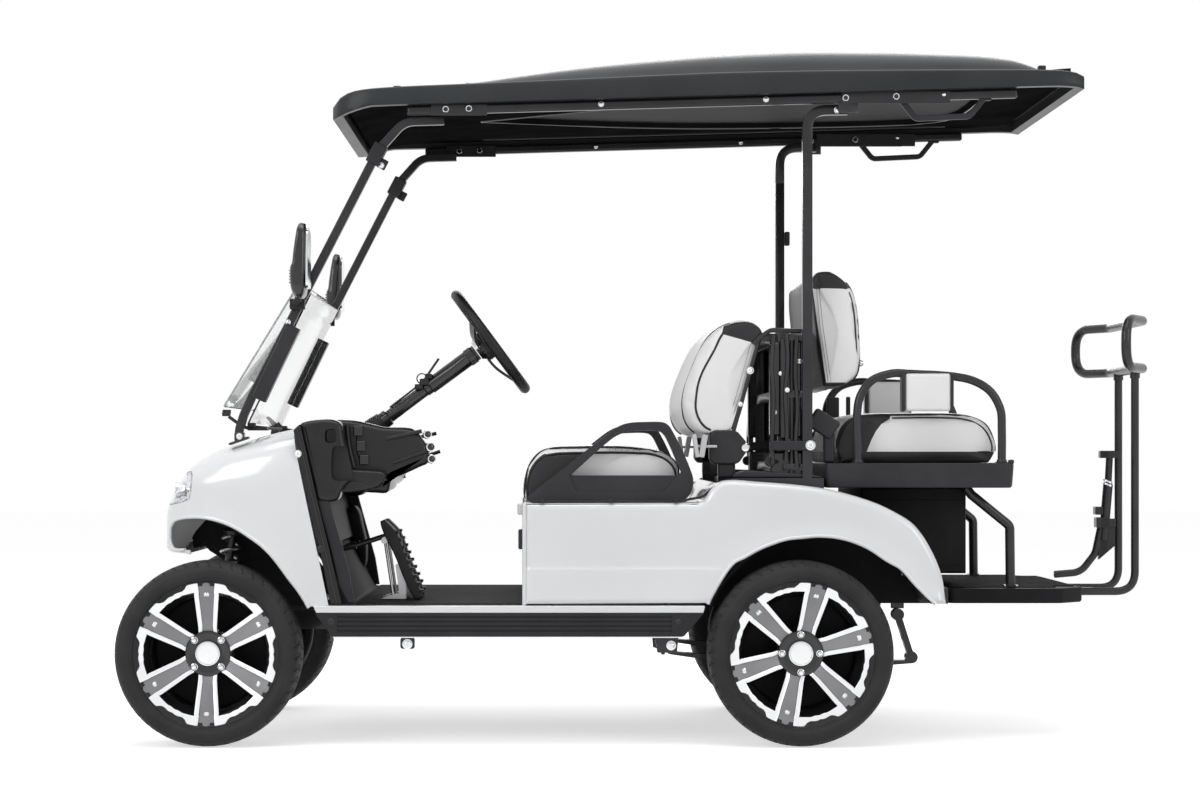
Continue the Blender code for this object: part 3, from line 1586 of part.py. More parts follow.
# Rear seat, tray, box and step
REAR_BACK_FRONT = 1.735
REAR_BACK_LENGTH = 0.134
REAR_BACK_RISE = 0.288
REAR_BACK_HEIGHT = 0.343
REAR_BACK_SHARES = (
    (0.00, 0.00),
    (1.00, 0.00),
    (1.00, 0.20),
    (0.86, 0.86),
    (0.66, 0.97),
    (0.24, 1.00),
    (0.00, 0.93),
)
TRAY_FRONT = 1.755
TRAY_LENGTH = 0.550
TRAY_STEP = 0.031
TRAY_BOTTOM = DECK_BOTTOM + TRAY_STEP
REAR_BACK_BASE = TRAY_BOTTOM + REAR_BACK_RISE
TRAY_HEIGHT = 0.071
TRAY_HALF_WIDTH = 0.500
REAR_CUSHION_FRONT = 1.800
REAR_CUSHION_LENGTH = 0.462
REAR_CUSHION_HEIGHT = 0.144
REAR_CUSHION_SHARES = (
    (0.000, 0.000),
    (1.000, 0.000),
    (1.000, 0.480),
    (0.960, 0.760),
    (0.860, 0.930),
    (0.600, 1.000),
    (0.300, 1.000),
    (0.110, 0.930),
    (0.020, 0.760),
    (0.000, 0.480),
)
REAR_CUSHION_HALF_WIDTH = 0.430
REAR_RAIL_SIDE = 0.465
REAR_RAIL_RADIUS = 0.0125
RAIL_SLOPE_SHARE = 0.2
REAR_RAIL_FRONT = 1.855
REAR_RAIL_REAR = 2.270
REAR_RAIL_RISE_OVER_TRAY = 0.329
REAR_RAIL_HEIGHT = TRAY_BOTTOM + REAR_RAIL_RISE_OVER_TRAY
REAR_RAIL_DROP = 0.090
REAR_RAIL_BEND_RADIUS = 0.060
BOX_FRONT = 1.878
BOX_LENGTH = 0.312
BOX_BASE = 0.476
BOX_HALF_WIDTH = 0.330
STEP_FRONT = REAR_RAIL_END + FIT
STEP_LENGTH = 0.407
STEP_BOTTOM = 0.395
STEP_HEIGHT = 0.048
STEP_HALF_WIDTH = 0.420
STEP_TAIL_HALF_WIDTH = 0.340
SUPPORT_RADIUS = 0.014
SUPPORT_SIDE = 0.350
SUPPORT_TOP = 2.200
SUPPORT_KNEE = 2.312
SUPPORT_KNEE_HEIGHT = 0.618
GRAB_PLACE = 2.727
GRAB_SIDE = 0.120
GRAB_RADIUS = 0.012
GRAB_BEND_RADIUS = 0.060
LOOP_BEND_RADIUS = 0.070
LOOP_ACROSS = (0, 1, 0.05)
GRAB_LOW_HEIGHT = 0.414
GRAB_HIGH_HEIGHT = 1.223
GRAB_BAR_HEIGHT = 1.082
GRAB_BAR_SIDE = 0.230
GRAB_WING_SIDE = 0.385
GRAB_WING_PLACE = 2.645
BRACE_WIDTH = 0.030


def tray_mesh():
    """Rear seat tray with the tube rail at each side."""
    tray = block(
        TRAY_FRONT,
        TRAY_FRONT + TRAY_LENGTH,
        -TRAY_HALF_WIDTH,
        TRAY_HALF_WIDTH,
        TRAY_BOTTOM,
        TRAY_BOTTOM + TRAY_HEIGHT,
    )
    root = TRAY_BOTTOM + TRAY_HEIGHT / 2
    slope_start = REAR_RAIL_REAR - (REAR_RAIL_REAR - REAR_RAIL_FRONT) * RAIL_SLOPE_SHARE
    path = [
        (REAR_RAIL_FRONT, -REAR_RAIL_SIDE, root),
        (REAR_RAIL_FRONT, -REAR_RAIL_SIDE, REAR_RAIL_HEIGHT),
        (slope_start, -REAR_RAIL_SIDE, REAR_RAIL_HEIGHT),
        (REAR_RAIL_REAR, -REAR_RAIL_SIDE, REAR_RAIL_HEIGHT - REAR_RAIL_DROP),
        (REAR_RAIL_REAR, -REAR_RAIL_SIDE, root),
    ]
    rail = tube(rounded(path, REAR_RAIL_BEND_RADIUS, 3), REAR_RAIL_RADIUS, 6)
    return joined(tray, *both_sides(rail))


def step_mesh():
    """Ribbed foot plate with the bent tubes that hang it from the tray and its two braces."""
    top = STEP_BOTTOM + STEP_HEIGHT
    end = STEP_FRONT + STEP_LENGTH
    outline = [
        (STEP_FRONT, -STEP_HALF_WIDTH),
        (end - STEP_LENGTH * 0.35, -STEP_HALF_WIDTH),
        (end, -STEP_TAIL_HALF_WIDTH),
        (end, STEP_TAIL_HALF_WIDTH),
        (end - STEP_LENGTH * 0.35, STEP_HALF_WIDTH),
        (STEP_FRONT, STEP_HALF_WIDTH),
    ]
    board = deck(outline, STEP_BOTTOM, top)
    path = [
        (SUPPORT_TOP, -SUPPORT_SIDE, TRAY_BOTTOM - FIT),
        (SUPPORT_TOP, -SUPPORT_SIDE, TRAY_BOTTOM - OVERRUN),
        (SUPPORT_KNEE, -SUPPORT_SIDE, SUPPORT_KNEE_HEIGHT),
        (SUPPORT_KNEE, -SUPPORT_SIDE, top - OVERRUN / 2),
    ]
    support = tube(path, SUPPORT_RADIUS, 8)
    return joined(board, *both_sides(support))


def grab_bar_mesh():
    """Two posts from the foot plate that carry a wrap-round hand loop."""
    start = STEP_FRONT + STEP_LENGTH + FIT
    pieces = []
    for _, side in SIDES:
        path = [
            (start, side * GRAB_SIDE, GRAB_LOW_HEIGHT),
            (GRAB_PLACE, side * GRAB_SIDE, GRAB_LOW_HEIGHT),
            (GRAB_PLACE, side * GRAB_SIDE, GRAB_BAR_HEIGHT),
        ]
        pieces.append(tube(rounded(path, GRAB_BEND_RADIUS, 3), GRAB_RADIUS, 6))
    middle = (GRAB_HIGH_HEIGHT + GRAB_BAR_HEIGHT) / 2
    loop = []
    corners = (
        (GRAB_PLACE, GRAB_BAR_SIDE, GRAB_BAR_HEIGHT),
        (GRAB_WING_PLACE, GRAB_WING_SIDE, GRAB_BAR_HEIGHT),
        (GRAB_WING_PLACE, GRAB_WING_SIDE, GRAB_HIGH_HEIGHT),
        (GRAB_PLACE, GRAB_BAR_SIDE, GRAB_HIGH_HEIGHT),
    )
    loop += [(x, y, z) for x, y, z in corners]
    loop += [(x, -y, z) for x, y, z in corners[::-1]]
    hand_loop = tube(rounded(loop, LOOP_BEND_RADIUS, 3, True), GRAB_RADIUS, 6, True, LOOP_ACROSS)
    return joined(pieces[0], hand_loop, pieces[1])


# Assembly
add("frame", frame_mesh(), BLACK_STEEL)
add("front_beam", front_beam_mesh(), BLACK_STEEL)
for name, side in SIDES:
    add("front_shock_" + name, shock_mesh(side), STEEL)
add("rack_housing", rack_housing_mesh(), BLACK_STEEL)
add("rear_axle", rear_axle_mesh(), BLACK_STEEL)
add_pair("leaf_spring", leaf_spring_mesh(), BLACK_STEEL)
add("battery_block", battery_mesh(), BATTERY_GREY)
add("floor_pan", floor_mesh(), BLACK_PLASTIC)
add_pair("sill", sill_mesh(), BLACK_PLASTIC)
add("front_cowl", cowl_mesh(), WHITE_PAINT)
add_pair("headlamp", headlamp_mesh(), LAMP_LENS)
add("dash", dash_mesh(), BLACK_PLASTIC)
add("steering_column", column_mesh(), BLACK_STEEL)
add("pedals", pedals_mesh(), BLACK_PLASTIC)
add("rear_body", rear_body_mesh(), WHITE_PAINT)
add_pair("rear_liner", liner_mesh(), BLACK_PLASTIC)
add(
    "bench_back",
    profile_plate(
        BACK_SHARES, BACK_FRONT, BACK_LENGTH, BACK_BASE, BACK_HEIGHT, -SEAT_HALF_WIDTH, SEAT_HALF_WIDTH
    ),
    VINYL,
)
add_pair("armrest", armrest_mesh(), BLACK_PLASTIC)
add("rear_frame", rear_frame_mesh(), BLACK_STEEL)
add(
    "rear_back",
    profile_plate(
        REAR_BACK_SHARES,
        REAR_BACK_FRONT,
        REAR_BACK_LENGTH,
        REAR_BACK_BASE,
        REAR_BACK_HEIGHT,
        -REAR_CUSHION_HALF_WIDTH,
        REAR_CUSHION_HALF_WIDTH,
    ),
    VINYL,
)
add("rear_tray", tray_mesh(), BLACK_PLASTIC)
add(
    "storage_box",
    block(
        BOX_FRONT,
        BOX_FRONT + BOX_LENGTH,
        -BOX_HALF_WIDTH,
        BOX_HALF_WIDTH,
        BOX_BASE,
        TRAY_BOTTOM - FIT,
    ),
    BLACK_PLASTIC,
)
add("footstep", step_mesh(), BLACK_PLASTIC)
add("grab_bar", grab_bar_mesh(), BLACK_STEEL)
add_pair("front_post", front_post_mesh(), BLACK_STEEL)
add(
    "windshield_lower",
    glass_mesh(
        post_place(LOWER_GLASS_FOOT_HEIGHT),
        LOWER_GLASS_FOOT_HEIGHT,
        post_place(LOWER_GLASS_TOP_HEIGHT),
        LOWER_GLASS_TOP_HEIGHT,
    ),
    CLEAR,
)
add(
    "windshield_upper",
    glass_mesh(
        UPPER_GLASS_TIP,
        UPPER_GLASS_TIP_HEIGHT,
        upper_glass_top(),
        UPPER_GLASS_TOP_HEIGHT,
    ),
    CLEAR,
)
add("roof", roof_mesh(), BLACK_PLASTIC)
add_pair("roof_rail", roof_rail_mesh(), BLACK_STEEL)

# Moving pieces
steering_pivot = datum("steering_wheel_pivot", CART, column_top())
add("steering_wheel", steering_wheel_mesh(), BLACK_PLASTIC, steering_pivot)
rack_pivot = datum("tie_rod_slide", CART, (ARM_LENGTH, 0, RACK_HEIGHT))
add("tie_rods", tie_rods_mesh(), STEEL, rack_pivot)
for name, side in SIDES:
    kingpin = datum("knuckle_pivot_" + name, CART, (0, side * KINGPIN_SIDE, AXLE_HEIGHT))
    add("knuckle_" + name, knuckle_mesh(side), STEEL, kingpin)
    hub = datum("front_hub_" + name, kingpin, (0, side * (WHEEL_SIDE - KINGPIN_SIDE), 0))
    centre = (0, side * WHEEL_SIDE, AXLE_HEIGHT)
    add("front_tyre_" + name, tyre_mesh(centre), RUBBER, hub)
    add("front_rim_" + name, rim_mesh(centre, side, FRONT_SPOKE_TURN), ALLOY, hub)
    centre = (WHEELBASE, side * WHEEL_SIDE, AXLE_HEIGHT)
    hub = datum("rear_hub_" + name, CART, centre)
    add("rear_tyre_" + name, tyre_mesh(centre), RUBBER, hub)
    add("rear_rim_" + name, rim_mesh(centre, side, REAR_SPOKE_TURN), ALLOY, hub)
bench_pivot = datum(
    "bench_cushion_hinge", CART, (BENCH_FRONT + CUSHION_LENGTH, 0, CUSHION_BASE_HEIGHT)
)
add(
    "bench_cushion",
    profile_plate(
        CUSHION_SHARES,
        BENCH_FRONT,
        CUSHION_LENGTH,
        CUSHION_BASE_HEIGHT,
        CUSHION_HEIGHT,
        -SEAT_HALF_WIDTH,
        SEAT_HALF_WIDTH,
    ),
    VINYL,
    bench_pivot,
)
rear_cushion_base = TRAY_BOTTOM + TRAY_HEIGHT + FIT
lift_pivot = datum("rear_cushion_hinge", CART, (REAR_CUSHION_FRONT, 0, rear_cushion_base))
add(
    "rear_cushion",
    profile_plate(
        REAR_CUSHION_SHARES,
        REAR_CUSHION_FRONT,
        REAR_CUSHION_LENGTH,
        rear_cushion_base,
        REAR_CUSHION_HEIGHT,
        -REAR_CUSHION_HALF_WIDTH,
        REAR_CUSHION_HALF_WIDTH,
    ),
    VINYL,
    lift_pivot,
)
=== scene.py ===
"""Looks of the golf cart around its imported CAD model."""

import math

import bmesh
import bpy
from mathutils import Matrix, Vector


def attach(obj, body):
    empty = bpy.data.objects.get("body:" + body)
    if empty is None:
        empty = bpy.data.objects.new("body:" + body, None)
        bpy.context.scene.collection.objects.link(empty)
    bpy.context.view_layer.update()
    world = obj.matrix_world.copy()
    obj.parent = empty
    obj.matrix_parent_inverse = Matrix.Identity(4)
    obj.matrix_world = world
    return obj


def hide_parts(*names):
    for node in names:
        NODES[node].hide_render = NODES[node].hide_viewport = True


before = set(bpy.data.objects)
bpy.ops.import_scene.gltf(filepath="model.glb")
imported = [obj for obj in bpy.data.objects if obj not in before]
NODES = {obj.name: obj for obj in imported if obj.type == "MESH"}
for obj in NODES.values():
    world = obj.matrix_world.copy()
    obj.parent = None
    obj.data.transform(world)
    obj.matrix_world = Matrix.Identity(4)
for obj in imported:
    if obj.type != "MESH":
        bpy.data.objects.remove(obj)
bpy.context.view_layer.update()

# Places along the cart are metres behind the front axle, as in the part's source
FRONT_AXLE = -1.2375
WHEELBASE = 1.68
AXLE_HEIGHT = 0.263
WHEEL_SIDE = 0.545
LEFT = -1
RIGHT = 1
SIDES = (("left", LEFT), ("right", RIGHT))


# Materials
COAT_ROUGHNESS = 0.06
PLASTIC_INDEX = 1.45
TURNED_METAL = 0.45
TURNED_RINGS = 260.0


def shader_of(name):
    made = bpy.data.materials.new(name)
    made.use_nodes = True
    tree = made.node_tree
    return made, tree, tree.nodes["Principled BSDF"]


def linked(tree, kind, source=None, source_socket=None, **values):
    node = tree.nodes.new(kind)
    for key, value in values.items():
        if key in node.inputs.keys():
            node.inputs[key].default_value = value
        else:
            setattr(node, key, value)
    if source:
        tree.links.new(source, node.inputs[source_socket])
    return node


def coloured(tree, shader, fac, dark, light, low=0.35, high=0.65):
    ramp = linked(tree, "ShaderNodeValToRGB", fac, "Fac")
    ramp.color_ramp.elements[0].color = (*dark, 1)
    ramp.color_ramp.elements[1].color = (*light, 1)
    ramp.color_ramp.elements[0].position = low
    ramp.color_ramp.elements[1].position = high
    tree.links.new(ramp.outputs["Color"], shader.inputs["Base Color"])
    return ramp


def finish(name, dark, light, rough, metal=0.0, coat=0.0, cloud=6.0, grain=400.0, depth=0.0002, strength=0.2,
           kind="noise", rough_spread=0.08, sheen=0.0, specular=0.5):
    """A surface with a slow change of colour, a fine grain and an uneven gloss."""
    made, tree, shader = shader_of(name)
    place = linked(tree, "ShaderNodeTexCoord").outputs["Object"]
    slow = linked(tree, "ShaderNodeTexNoise", place, "Vector", Scale=cloud, Detail=4.0)
    coloured(tree, shader, slow.outputs["Fac"], dark, light)
    if kind == "leather":
        fine = linked(tree, "ShaderNodeTexVoronoi", place, "Vector", Scale=grain)
        height = fine.outputs["Distance"]
    else:
        fine = linked(tree, "ShaderNodeTexNoise", place, "Vector", Scale=grain, Detail=3.0)
        height = fine.outputs["Fac"]
    bump = linked(tree, "ShaderNodeBump", height, "Height", Strength=strength, Distance=depth)
    tree.links.new(bump.outputs["Normal"], shader.inputs["Normal"])
    gloss = linked(tree, "ShaderNodeMapRange", slow.outputs["Fac"], "Value")
    gloss.inputs["To Min"].default_value = rough - rough_spread
    gloss.inputs["To Max"].default_value = rough + rough_spread
    tree.links.new(gloss.outputs["Result"], shader.inputs["Roughness"])
    shader.inputs["Metallic"].default_value = metal
    shader.inputs["Coat Weight"].default_value = coat
    shader.inputs["Coat Roughness"].default_value = COAT_ROUGHNESS
    shader.inputs["Sheen Weight"].default_value = sheen
    shader.inputs["Specular IOR Level"].default_value = specular
    return made


def machined(name, dark, light, rough):
    """Turned metal, with fine rings about the wheel's axis."""
    made, tree, shader = shader_of(name)
    place = linked(tree, "ShaderNodeTexCoord").outputs["Object"]
    rings = linked(tree, "ShaderNodeTexWave", place, "Vector", Scale=TURNED_RINGS, Distortion=0.4, Detail=2.0)
    rings.wave_type = "RINGS"
    rings.rings_direction = "Y"
    coloured(tree, shader, rings.outputs["Fac"], dark, light, 0.0, 1.0)
    bump = linked(tree, "ShaderNodeBump", rings.outputs["Fac"], "Height", Strength=0.1, Distance=0.0001)
    tree.links.new(bump.outputs["Normal"], shader.inputs["Normal"])
    shader.inputs["Metallic"].default_value = TURNED_METAL
    shader.inputs["Roughness"].default_value = rough
    return made


def clear(name, tint, rough):
    made, tree, shader = shader_of(name)
    place = linked(tree, "ShaderNodeTexCoord").outputs["Object"]
    haze = linked(tree, "ShaderNodeTexNoise", place, "Vector", Scale=30.0, Detail=3.0)
    gloss = linked(tree, "ShaderNodeMapRange", haze.outputs["Fac"], "Value")
    gloss.inputs["To Min"].default_value = rough * 0.5
    gloss.inputs["To Max"].default_value = rough * 2
    tree.links.new(gloss.outputs["Result"], shader.inputs["Roughness"])
    shader.inputs["Base Color"].default_value = (*tint, 1)
    shader.inputs["Transmission Weight"].default_value = 1.0
    shader.inputs["IOR"].default_value = PLASTIC_INDEX
    return made


WHITE = finish("white_paint", (0.74, 0.745, 0.755), (0.78, 0.785, 0.795), 0.2, coat=0.8, cloud=2.0,
               grain=900.0, depth=0.00005, strength=0.05, rough_spread=0.03)
PLASTIC = finish("black_plastic", (0.022, 0.022, 0.024), (0.034, 0.034, 0.037), 0.46, grain=1400.0,
                 specular=0.22)
SATIN = finish("black_powder_coat", (0.02, 0.02, 0.022), (0.032, 0.032, 0.035), 0.34, metal=0.2,
               coat=0.25, grain=1800.0, strength=0.12, specular=0.25)
ROOF_BLACK = finish("roof_black", (0.024, 0.025, 0.027), (0.034, 0.035, 0.038), 0.36,
                    grain=1600.0, strength=0.15, cloud=3.0, specular=0.2)
ROOF_LINING = finish("roof_lining", (0.009, 0.009, 0.01), (0.016, 0.016, 0.017), 0.6, grain=900.0,
                     specular=0.0)
DASH_BLACK = finish("dash_black", (0.012, 0.012, 0.013), (0.02, 0.02, 0.022), 0.3, coat=0.08, grain=1400.0,
                    specular=0.25)
SILL_BLACK = finish("sill_black", (0.014, 0.014, 0.016), (0.022, 0.022, 0.025), 0.36, grain=1400.0,
                    specular=0.25)
WHEEL_GRIP = finish("wheel_grip", (0.01, 0.01, 0.011), (0.018, 0.018, 0.019), 0.42, grain=900.0,
                    specular=0.25)
MIRROR_BLACK = finish("mirror_black", (0.012, 0.012, 0.013), (0.018, 0.018, 0.02), 0.18, coat=0.1,
                      grain=1400.0, specular=0.5)
SCREEN_EDGE = finish("screen_edge", (0.42, 0.44, 0.46), (0.52, 0.54, 0.56), 0.25)
ROOF_PANEL = finish("roof_panel", (0.03, 0.03, 0.031), (0.045, 0.045, 0.046), 0.6, grain=900.0, specular=0.05)
# white a little darker than the body paint: painted shade for the inner face of the nose
SHADED_WHITE = finish("inner_wing_painted_shade", (0.7, 0.7, 0.71), (0.76, 0.76, 0.77), 0.45, grain=900.0, specular=0.3)
ARM_BLACK = finish("armrest_black", (0.022, 0.022, 0.025), (0.034, 0.034, 0.038), 0.3, coat=0.1,
                   grain=1400.0, specular=0.25)
DARK_PANEL = finish("dark_panel", (0.01, 0.01, 0.011), (0.018, 0.018, 0.02), 0.52, grain=1400.0,
                    specular=0.08)
RUBBER = finish("tyre_rubber", (0.02, 0.02, 0.021), (0.034, 0.034, 0.035), 0.62, grain=1100.0,
                strength=0.3, cloud=9.0, specular=0.2)
GLOSS_BLACK = finish("gloss_black", (0.01, 0.01, 0.011), (0.018, 0.018, 0.02), 0.16, coat=0.3,
                     strength=0.02, rough_spread=0.03, specular=0.4)
SILVER = machined("machined_alloy", (0.88, 0.89, 0.9), (0.95, 0.95, 0.96), 0.28)
GUNMETAL = finish("grey_insert", (0.19, 0.19, 0.2), (0.25, 0.25, 0.26), 0.42, metal=0.5, coat=0.2,
                  grain=1500.0, strength=0.15)
CHROME = finish("chrome", (0.62, 0.63, 0.64), (0.72, 0.73, 0.74), 0.12, metal=1.0, strength=0.03,
                rough_spread=0.04)
LAMP_SILVER = finish("lamp_silver", (0.74, 0.75, 0.77), (0.84, 0.85, 0.87), 0.3, metal=0.25,
                     grain=900.0, strength=0.06)
ZINC = finish("zinc_steel", (0.36, 0.36, 0.37), (0.52, 0.52, 0.53), 0.38, metal=1.0, strength=0.1)
WHITE_VINYL = finish("white_vinyl", (0.82, 0.82, 0.825), (0.87, 0.87, 0.875), 0.44, grain=520.0,
                     depth=0.0004, strength=0.35, kind="leather", cloud=5.0, sheen=0.1)
BLACK_VINYL = finish("black_vinyl", (0.018, 0.018, 0.02), (0.03, 0.03, 0.032), 0.4, grain=520.0,
                     depth=0.0004, strength=0.35, kind="leather", cloud=5.0, sheen=0.1, specular=0.25)
PIPING = finish("piping", (0.016, 0.016, 0.018), (0.026, 0.026, 0.028), 0.38, grain=900.0, specular=0.25)
STITCH = finish("stitch_thread", (0.24, 0.24, 0.25), (0.32, 0.32, 0.33), 0.6, grain=900.0)
MAT = finish("floor_mat", (0.014, 0.014, 0.015), (0.026, 0.026, 0.027), 0.66, grain=700.0, strength=0.4,
             specular=0.04)
BATTERY = finish("battery_case", (0.055, 0.055, 0.058), (0.085, 0.085, 0.09), 0.58)
SCREEN = clear("clear_screen", (0.975, 0.985, 0.99), 0.02)
LENS = clear("lamp_lens", (0.97, 0.98, 1.0), 0.01)


# Meshes
def mesh_from(build):
    shape = bmesh.new()
    build(shape)
    bmesh.ops.recalc_face_normals(shape, faces=shape.faces)
    mesh = bpy.data.meshes.new("shape")
    shape.to_mesh(mesh)
    shape.free()
    return mesh


def loft(rings, closed=False, capped=True):
    def build(shape):
        rows = [[shape.verts.new(p) for p in ring] for ring in rings]
        pairs = list(zip(rows, rows[1:]))
        if closed:
            pairs.append((rows[-1], rows[0]))
        for first, second in pairs:
            count = len(first)
            for k in range(count):
                n = (k + 1) % count
                shape.faces.new((first[k], first[n], second[n], second[k]))
        if capped and not closed:
            shape.faces.new(rows[0][::-1])
            shape.faces.new(rows[-1])

    return mesh_from(build)


def plate(outline, low_side, high_side):
    return loft([[(x, side, z) for x, z in outline] for side in (low_side, high_side)])


def block(x_low, x_high, y_low, y_high, z_low, z_high):
    corners = [(x_low, z_low), (x_high, z_low), (x_high, z_high), (x_low, z_high)]
    return plate(corners, y_low, y_high)


def ring_section(radius, sides):
    turn = 2 * math.pi / sides
    return [(radius * math.cos(k * turn), radius * math.sin(k * turn)) for k in range(sides)]


def box_section(width, depth):
    w, d = width / 2, depth / 2
    return [(-w, -d), (w, -d), (w, d), (-w, d)]


def rounded(points, radius, steps=6, closed=False):
    path = [Vector(p) for p in points]
    count = len(path)
    made = []
    for i, here in enumerate(path):
        if not closed and i in (0, count - 1):
            made.append(here)
            continue
        back = path[i - 1] - here
        ahead = path[(i + 1) % count] - here
        half = back.angle(ahead) / 2
        reach = min(radius / math.tan(half), 0.49 * back.length, 0.49 * ahead.length)
        start = here + back.normalized() * reach
        end = here + ahead.normalized() * reach
        for k in range(steps + 1):
            t = k / steps
            made.append(start * (1 - t) ** 2 + here * 2 * t * (1 - t) + end * t ** 2)
    return made


def curved(points, steps=6, closed=True, sharp=()):
    """A smooth line through the points, straight at the corners listed in sharp."""
    path = [Vector(p) for p in points]
    count = len(path)
    made = []
    for i in range(count if closed else count - 1):
        a, b = path[i], path[(i + 1) % count]
        before = path[i - 1] if (closed or i) else a
        after = path[(i + 2) % count] if (closed or i < count - 2) else b
        out = (b - before) * 0.5 if i not in sharp else b - a
        into = (after - a) * 0.5 if (i + 1) % count not in sharp else b - a
        length = (b - a).length
        out = out.normalized() * length
        into = into.normalized() * length
        for k in range(steps):
            t = k / steps
            made.append(
                a * (2 * t ** 3 - 3 * t ** 2 + 1)
                + out * (t ** 3 - 2 * t ** 2 + t)
                + b * (3 * t ** 2 - 2 * t ** 3)
                + into * (t ** 3 - t ** 2)
            )
    if not closed:
        made.append(path[-1])
    return made


def sweep(path, section, closed=False, across=(0, 1, 0)):
    points = [Vector(p) for p in path]
    count = len(points)
    rings = []
    first = None
    for i, here in enumerate(points):
        before = points[i - 1] if closed or i else here
        after = points[(i + 1) % count] if closed or i < count - 1 else here
        along = (after - before).normalized()
        side = Vector(across) - along * along.dot(Vector(across))
        if side.length < 0.05:
            side = first - along * along.dot(first)
        first = side.normalized()
        second = along.cross(first)
        rings.append([tuple(here + second * a + first * b) for a, b in section])
    return loft(rings, closed)


def tube(path, radius, sides=16, closed=False, across=(0, 1, 0)):
    return sweep(path, ring_section(radius, sides), closed, across)


def turned(profile, steps, centre=(0, 0, 0), axis=(0, -1, 0), ring=False):
    """A profile of (radius, place along the axis) turned about the axis through centre."""
    pole = Vector(axis).normalized()
    level = Vector((1, 0, 0)) if abs(pole.z) > 0.9 else Vector((0, 0, 1))
    side = pole.cross(level).normalized()
    other = pole.cross(side)
    origin = Vector(centre)

    def build(shape):
        rows = []
        for radius, along in profile:
            middle = origin + pole * along
            if radius == 0:
                rows.append([shape.verts.new(middle)])
                continue
            row = []
            for k in range(steps):
                angle = 2 * math.pi * k / steps
                spot = side * math.cos(angle) + other * math.sin(angle)
                row.append(shape.verts.new(middle + spot * radius))
            rows.append(row)
        pairs = list(zip(rows, rows[1:]))
        if ring:
            pairs.append((rows[-1], rows[0]))
        for first, second in pairs:
            for k in range(steps):
                n = (k + 1) % steps
                if len(first) == 1:
                    shape.faces.new((first[0], second[k], second[n]))
                elif len(second) == 1:
                    shape.faces.new((first[k], first[n], second[0]))
                else:
                    shape.faces.new((first[k], first[n], second[n], second[k]))

    return mesh_from(build)


def cylinder(centre, radius, low, high, steps=24, axis=(0, -1, 0)):
    return turned([(0, low), (radius, low), (radius, high), (0, high)], steps, centre, axis)


def bolt(centre, radius, axis=(0, -1, 0), steps=16):
    """A domed head on a washer."""
    profile = [
        (0, 0), (radius * 1.45, 0), (radius * 1.45, radius * 0.22), (radius, radius * 0.26),
        (radius * 0.96, radius * 0.62), (radius * 0.7, radius * 0.86), (radius * 0.36, radius * 0.92),
        (radius * 0.32, radius * 0.6), (0, radius * 0.6),
    ]
    return turned(profile, steps, centre, axis)


def mirrored(mesh):
    copy = mesh.copy()
    copy.transform(Matrix.Diagonal((1, -1, 1, 1)))
    copy.flip_normals()
    return copy


def gathered(meshes):
    """Several meshes as one."""
    shape = bmesh.new()
    for mesh in meshes:
        shape.from_mesh(mesh)
    made = bpy.data.meshes.new("shape")
    shape.to_mesh(made)
    shape.free()
    return made


def both(mesh):
    return gathered([mesh, mirrored(mesh)])


def helper(mesh):
    made = bpy.data.objects.new("helper", mesh)
    bpy.context.scene.collection.objects.link(made)
    return made


def combined(base, others, operation):
    body = helper(base)
    tools = []
    for other in others:
        tool = helper(other)
        tools.append(tool)
        step = body.modifiers.new("step", "BOOLEAN")
        step.operation = operation
        step.object = tool
    graph = bpy.context.evaluated_depsgraph_get()
    made = bpy.data.meshes.new_from_object(body.evaluated_get(graph))
    for used in [body, *tools]:
        bpy.data.objects.remove(used, do_unlink=True)
    return made


def cut(base, *others):
    return combined(base, others, "DIFFERENCE")


# Pieces
EDGE_DEGREES = 30
MERGE_REACH = 2e-5
FLAT_DEGREES = 0.8


def piece(name, mesh, finish_material, body="chassis", centre=None, bevel=0.0, steps=2,
          angle=35, replaces=()):
    """Names a mesh that was made in the cart's own lengths and puts it on its body."""
    shift = Vector((FRONT_AXLE, 0, 0))
    origin = Vector(centre) + shift if centre is not None else Vector((0, 0, 0))
    mesh.transform(Matrix.Translation(shift - origin))
    made = bpy.data.objects.new(name, mesh)
    bpy.context.scene.collection.objects.link(made)
    made.location = origin
    mesh.name = name
    mesh.materials.clear()
    mesh.materials.append(finish_material)
    mesh.shade_smooth()
    if bevel:
        edge = made.modifiers.new("edge", "BEVEL")
        edge.width = bevel
        edge.segments = steps
        edge.limit_method = "ANGLE"
        edge.angle_limit = math.radians(EDGE_DEGREES)
        edge.harden_normals = True
    else:
        mesh.set_sharp_from_angle(angle=math.radians(angle))
    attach(made, body)
    if replaces:
        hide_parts(*replaces)
    return made


def softened(node, finish_material, width):
    """The CAD node's own shape with its edges rounded."""
    shape = bmesh.new()
    shape.from_mesh(NODES[node].data)
    bmesh.ops.remove_doubles(shape, verts=shape.verts, dist=MERGE_REACH)
    flat = math.radians(FLAT_DEGREES)
    bmesh.ops.dissolve_limit(shape, angle_limit=flat, verts=shape.verts, edges=shape.edges)
    bmesh.ops.recalc_face_normals(shape, faces=shape.faces)
    mesh = bpy.data.meshes.new(node)
    shape.to_mesh(mesh)
    shape.free()
    mesh.transform(Matrix.Translation((-FRONT_AXLE, 0, 0)))
    return piece(node + "_skin", mesh, finish_material, bevel=width, replaces=(node,))


def painted(node, finish_material):
    """Keeps a CAD node and gives it a better surface."""
    mesh = NODES[node].data
    mesh.materials.clear()
    mesh.materials.append(finish_material)


